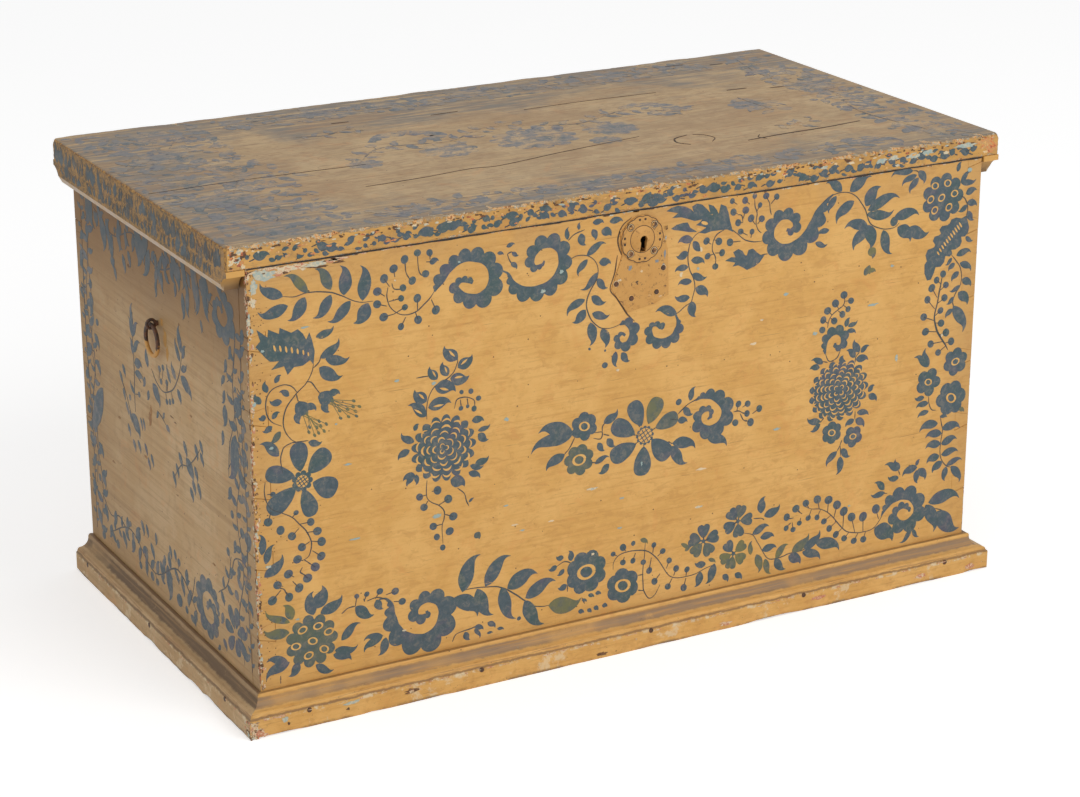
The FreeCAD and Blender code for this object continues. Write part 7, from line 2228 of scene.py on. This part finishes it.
@dataclass
class Ironwork:
    """Lock, key plate, hinges, rings and nails."""

    nodes: Dict[str, bpy.types.Object]

    def dress_all(self) -> None:
        """Dresses every iron node."""
        iron, painted = OldIron().make("old_iron"), OldIron(painted=0.75).make("old_painted_iron")
        half = OldIron(painted=0.3).make("half_painted_nails")
        ring = OldIron(painted_below=0.394).make("ring_iron")
        special = {"escutcheon_nails": half, "handle_ring_left": ring, "handle_ring_right": ring}
        for name, node in self.nodes.items():
            given = node.data.materials[0].name if node.data.materials else ""
            if given.startswith("wrought_iron"):
                dress(node, special.get(name, iron))
            elif given.startswith("painted_iron"):
                dress(node, special.get(name, painted))


@dataclass
class KeyPlate:
    """The painted lines and chips of the round key plate and of the shield under it; the dark lines are painted shadow
    with dirt.
    """

    middle: Tuple[float, float] = (4.0, 523.0)
    plate_face: float = -0.27235
    shield_face: float = -0.27115
    rim: float = 27.6
    boss: float = 16.6
    pierced: float = 24.5
    nailed: float = 23.0
    shield_nails: Tuple[Tuple[float, float], ...] = ((-35, -51), (-14, -72), (21, -69), (30, -40))

    def ring(self, strokes: Strokes, u: float, v: float, radius: float, half: float, scallop: float = 0.0) -> None:
        """Lays a thin ring, its radius cut in and out by a scallop of 14 to the turn.

        Args:
            strokes: Where it is laid.
            u, v: Its middle.
            radius: Its radius.
            half: Half its line's width.
            scallop: How deep the scallops are.
        """
        for start in (0.0, math.pi):
            angle = start + np.linspace(0, math.pi, 60)
            reach = radius + scallop * np.abs(np.cos(7 * angle))
            path = np.stack([u + reach * np.cos(angle), v + reach * np.sin(angle)], axis=1)
            strokes.ribbon(path, np.full(60, half), np.full(60, half))

    def build(self) -> None:
        """Lays dark lines of painted shadow with dirt, pierced holes darkened as painted shade, pale nail rims, and
        blue-grey chips.
        """
        u0, v0 = self.middle
        plate = front_panel(self.plate_face, "case")
        dark, pale = Strokes(plate, -0.1, 0.08), Strokes(plate, -0.1, 0.3)
        # Painted shadow with dirt: dark lines round the plate's rim, its boss and its nails, and dark dots in the
        # pierced holes.
        self.ring(dark, u0, v0, self.rim, 0.45, 1.3)
        self.ring(dark, u0, v0, self.boss, 0.4)
        dots = Brush(dark, dark)
        for quarter in range(4):
            for spread in (-9, 9):
                turn = math.radians(90 * quarter + spread)
                dots.dot(u0 + self.pierced * math.cos(turn), v0 + self.pierced * math.sin(turn), 1.6)
            turn = math.radians(45 + 90 * quarter)
            self.ring(dark, u0 + self.nailed * math.cos(turn), v0 + self.nailed * math.sin(turn), 4.5, 0.35)
            self.ring(pale, u0 + self.nailed * math.cos(turn), v0 + self.nailed * math.sin(turn), 3.8, 0.3)
        dark.mesh("key_plate_lines", PlainPaint(Tint.DARK, Tint.BROWN).make("key_plate_dark"), "painted_iron")
        pale.mesh("key_plate_nail_rims", PlainPaint(Tint.CREAM, Tint.OCHRE_LIGHT).make("key_plate_pale"), "painted_iron")
        shield = front_panel(self.shield_face, "case")
        chips = Strokes(shield, -0.1, 0.2)
        ragged_patches(chips, [(-12, 489, 6, 9, 0.1), (25, 492, 7, 5, 0.15), (36, 500, 4, 17, 0.2), (34, 486, 5, 6, 0.3),
                               (14, 489, 4, 5, 0.75), (-26, 476, 6, 4, 0.5), (35, 515, 6, 5, 0.8), (38, 532, 5, 7, 0.85),
                               (4, 483, 5, 4, 0.6), (16, 452, 8, 5, 0.7), (30, 448, 6, 4, 0.65), (37, 520, 3, 8, 0.4)])
        chips.mesh("shield_chips", ChipPaint(((0.0, Tint.BLUE_GREY), (0.3, Tint.BLUE_GREY), (0.5, Tint.CREAM),
                                              (0.75, Tint.IRON_OCHRE), (0.9, Tint.BROWN))).make("shield_chips"),
                   "painted_iron")
        rims = Strokes(shield, -0.1, 0.25)
        for across, up in self.shield_nails:
            self.ring(rims, u0 + across, v0 + up, 3.7, 0.3)
        rims.mesh("shield_nail_rims", PlainPaint(Tint.OCHRE_LIGHT, Tint.CREAM).make("shield_rim_pale"), "painted_iron")


# ---------------------------------------------------------------- studio


@dataclass
class Studio:
    """A pale floor, soft light, and the camera."""

    eye: Tuple[float, float, float] = (-1.662, -3.044, 1.476)
    look: Tuple[float, float, float] = (0.4544, 0.8248, -0.3363)
    lens: float = 94.4
    white: Colour = (1.0, 1.0, 1.0, 1.0)
    pale: Colour = (0.86, 0.86, 0.86, 1.0)
    glow: float = 0.46
    soft: float = 0.52
    half_floor: float = 12.0

    def seen(self, g: Graph) -> Socket:
        """1 for rays that come from the camera, straight or by a mirror or glass, and 0 for the others."""
        rays = g.add("LightPath").outputs
        return g.most(g.most(rays["Is Camera Ray"], rays["Is Glossy Ray"]), rays["Is Transmission Ray"])

    def floor(self) -> None:
        """Lays the floor: a plain pale sheet that keeps the shadow."""
        data = bpy.data.meshes.new("floor")
        r = self.half_floor
        data.from_pydata([(-r, -r, 0), (r, -r, 0), (r, r, 0), (-r, r, 0)], [], [(0, 1, 2, 3)])
        floor = bpy.data.objects.new("floor", data)
        bpy.context.scene.collection.objects.link(floor)
        material, g, shader = new_material("floor_white")
        g.fill(shader, {"Base Color": self.pale, "Roughness": 0.9, "Specular IOR Level": 0.0,
                        "Emission Color": self.white, "Emission Strength": g.times(self.seen(g), self.glow)})
        data.materials.append(material)

    def light(self) -> None:
        """Sets the world and two large soft lamps."""
        world = bpy.data.worlds.new("studio")
        bpy.context.scene.world = world
        world.use_nodes = True
        world.node_tree.nodes.clear()
        g = Graph(world.node_tree)
        soft = g.add("Background", {0: self.white, 1: self.soft})
        white = g.add("Background", {0: self.white, 1: 1.0})
        join = g.add("MixShader", {0: self.seen(g), 1: soft.outputs[0], 2: white.outputs[0]})
        g.add("OutputWorld", {0: join.outputs[0]})
        for name, at, size, power in (("key", (1.2, -3.6, 3.0), 2.6, 74.0), ("fill", (-3.0, -2.2, 2.6), 2.4, 14.0)):
            lamp = bpy.data.lights.new(name, "AREA")
            lamp.size, lamp.energy = size, power
            obj = bpy.data.objects.new(name, lamp)
            bpy.context.scene.collection.objects.link(obj)
            obj.location = at
            obj.rotation_mode = "QUATERNION"
            obj.rotation_quaternion = (Vector((0, 0, 0.3)) - Vector(at)).to_track_quat("-Z", "Y")

    def camera(self) -> None:
        """Sets the camera."""
        data = bpy.data.cameras.new("camera")
        data.lens, data.sensor_width = self.lens, 36.0
        camera = bpy.data.objects.new("camera", data)
        bpy.context.scene.collection.objects.link(camera)
        camera.location = self.eye
        camera.rotation_mode = "QUATERNION"
        camera.rotation_quaternion = Vector(self.look).to_track_quat("-Z", "Y")
        bpy.context.scene.camera = camera

    def build(self) -> None:
        """Sets up everything round the object."""
        self.floor()
        self.light()
        self.camera()
        bpy.context.scene.view_settings.view_transform = "Standard"


def main() -> None:
    """Builds the chest's finishes and decoration round the frame, then the studio."""
    logging.basicConfig(level=logging.INFO, format="%(name)s: %(message)s")
    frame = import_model()
    nodes = frame["nodes"]
    ironwork = Ironwork(nodes)
    ironwork.dress_all()
    KeyPlate().build()
    case = Case(nodes)
    case.boards()
    case.front_decoration()
    case.end_decoration()
    case.flakes()
    lid = Lid(nodes)
    lid.boards()
    lid.top_decoration()
    lid.edge_decoration()
    lid.cracks()
    plinth = Plinth(nodes)
    plinth.mouldings()
    plinth.flakes()
    Studio().build()
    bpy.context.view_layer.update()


if __name__ == "__main__":
    main()
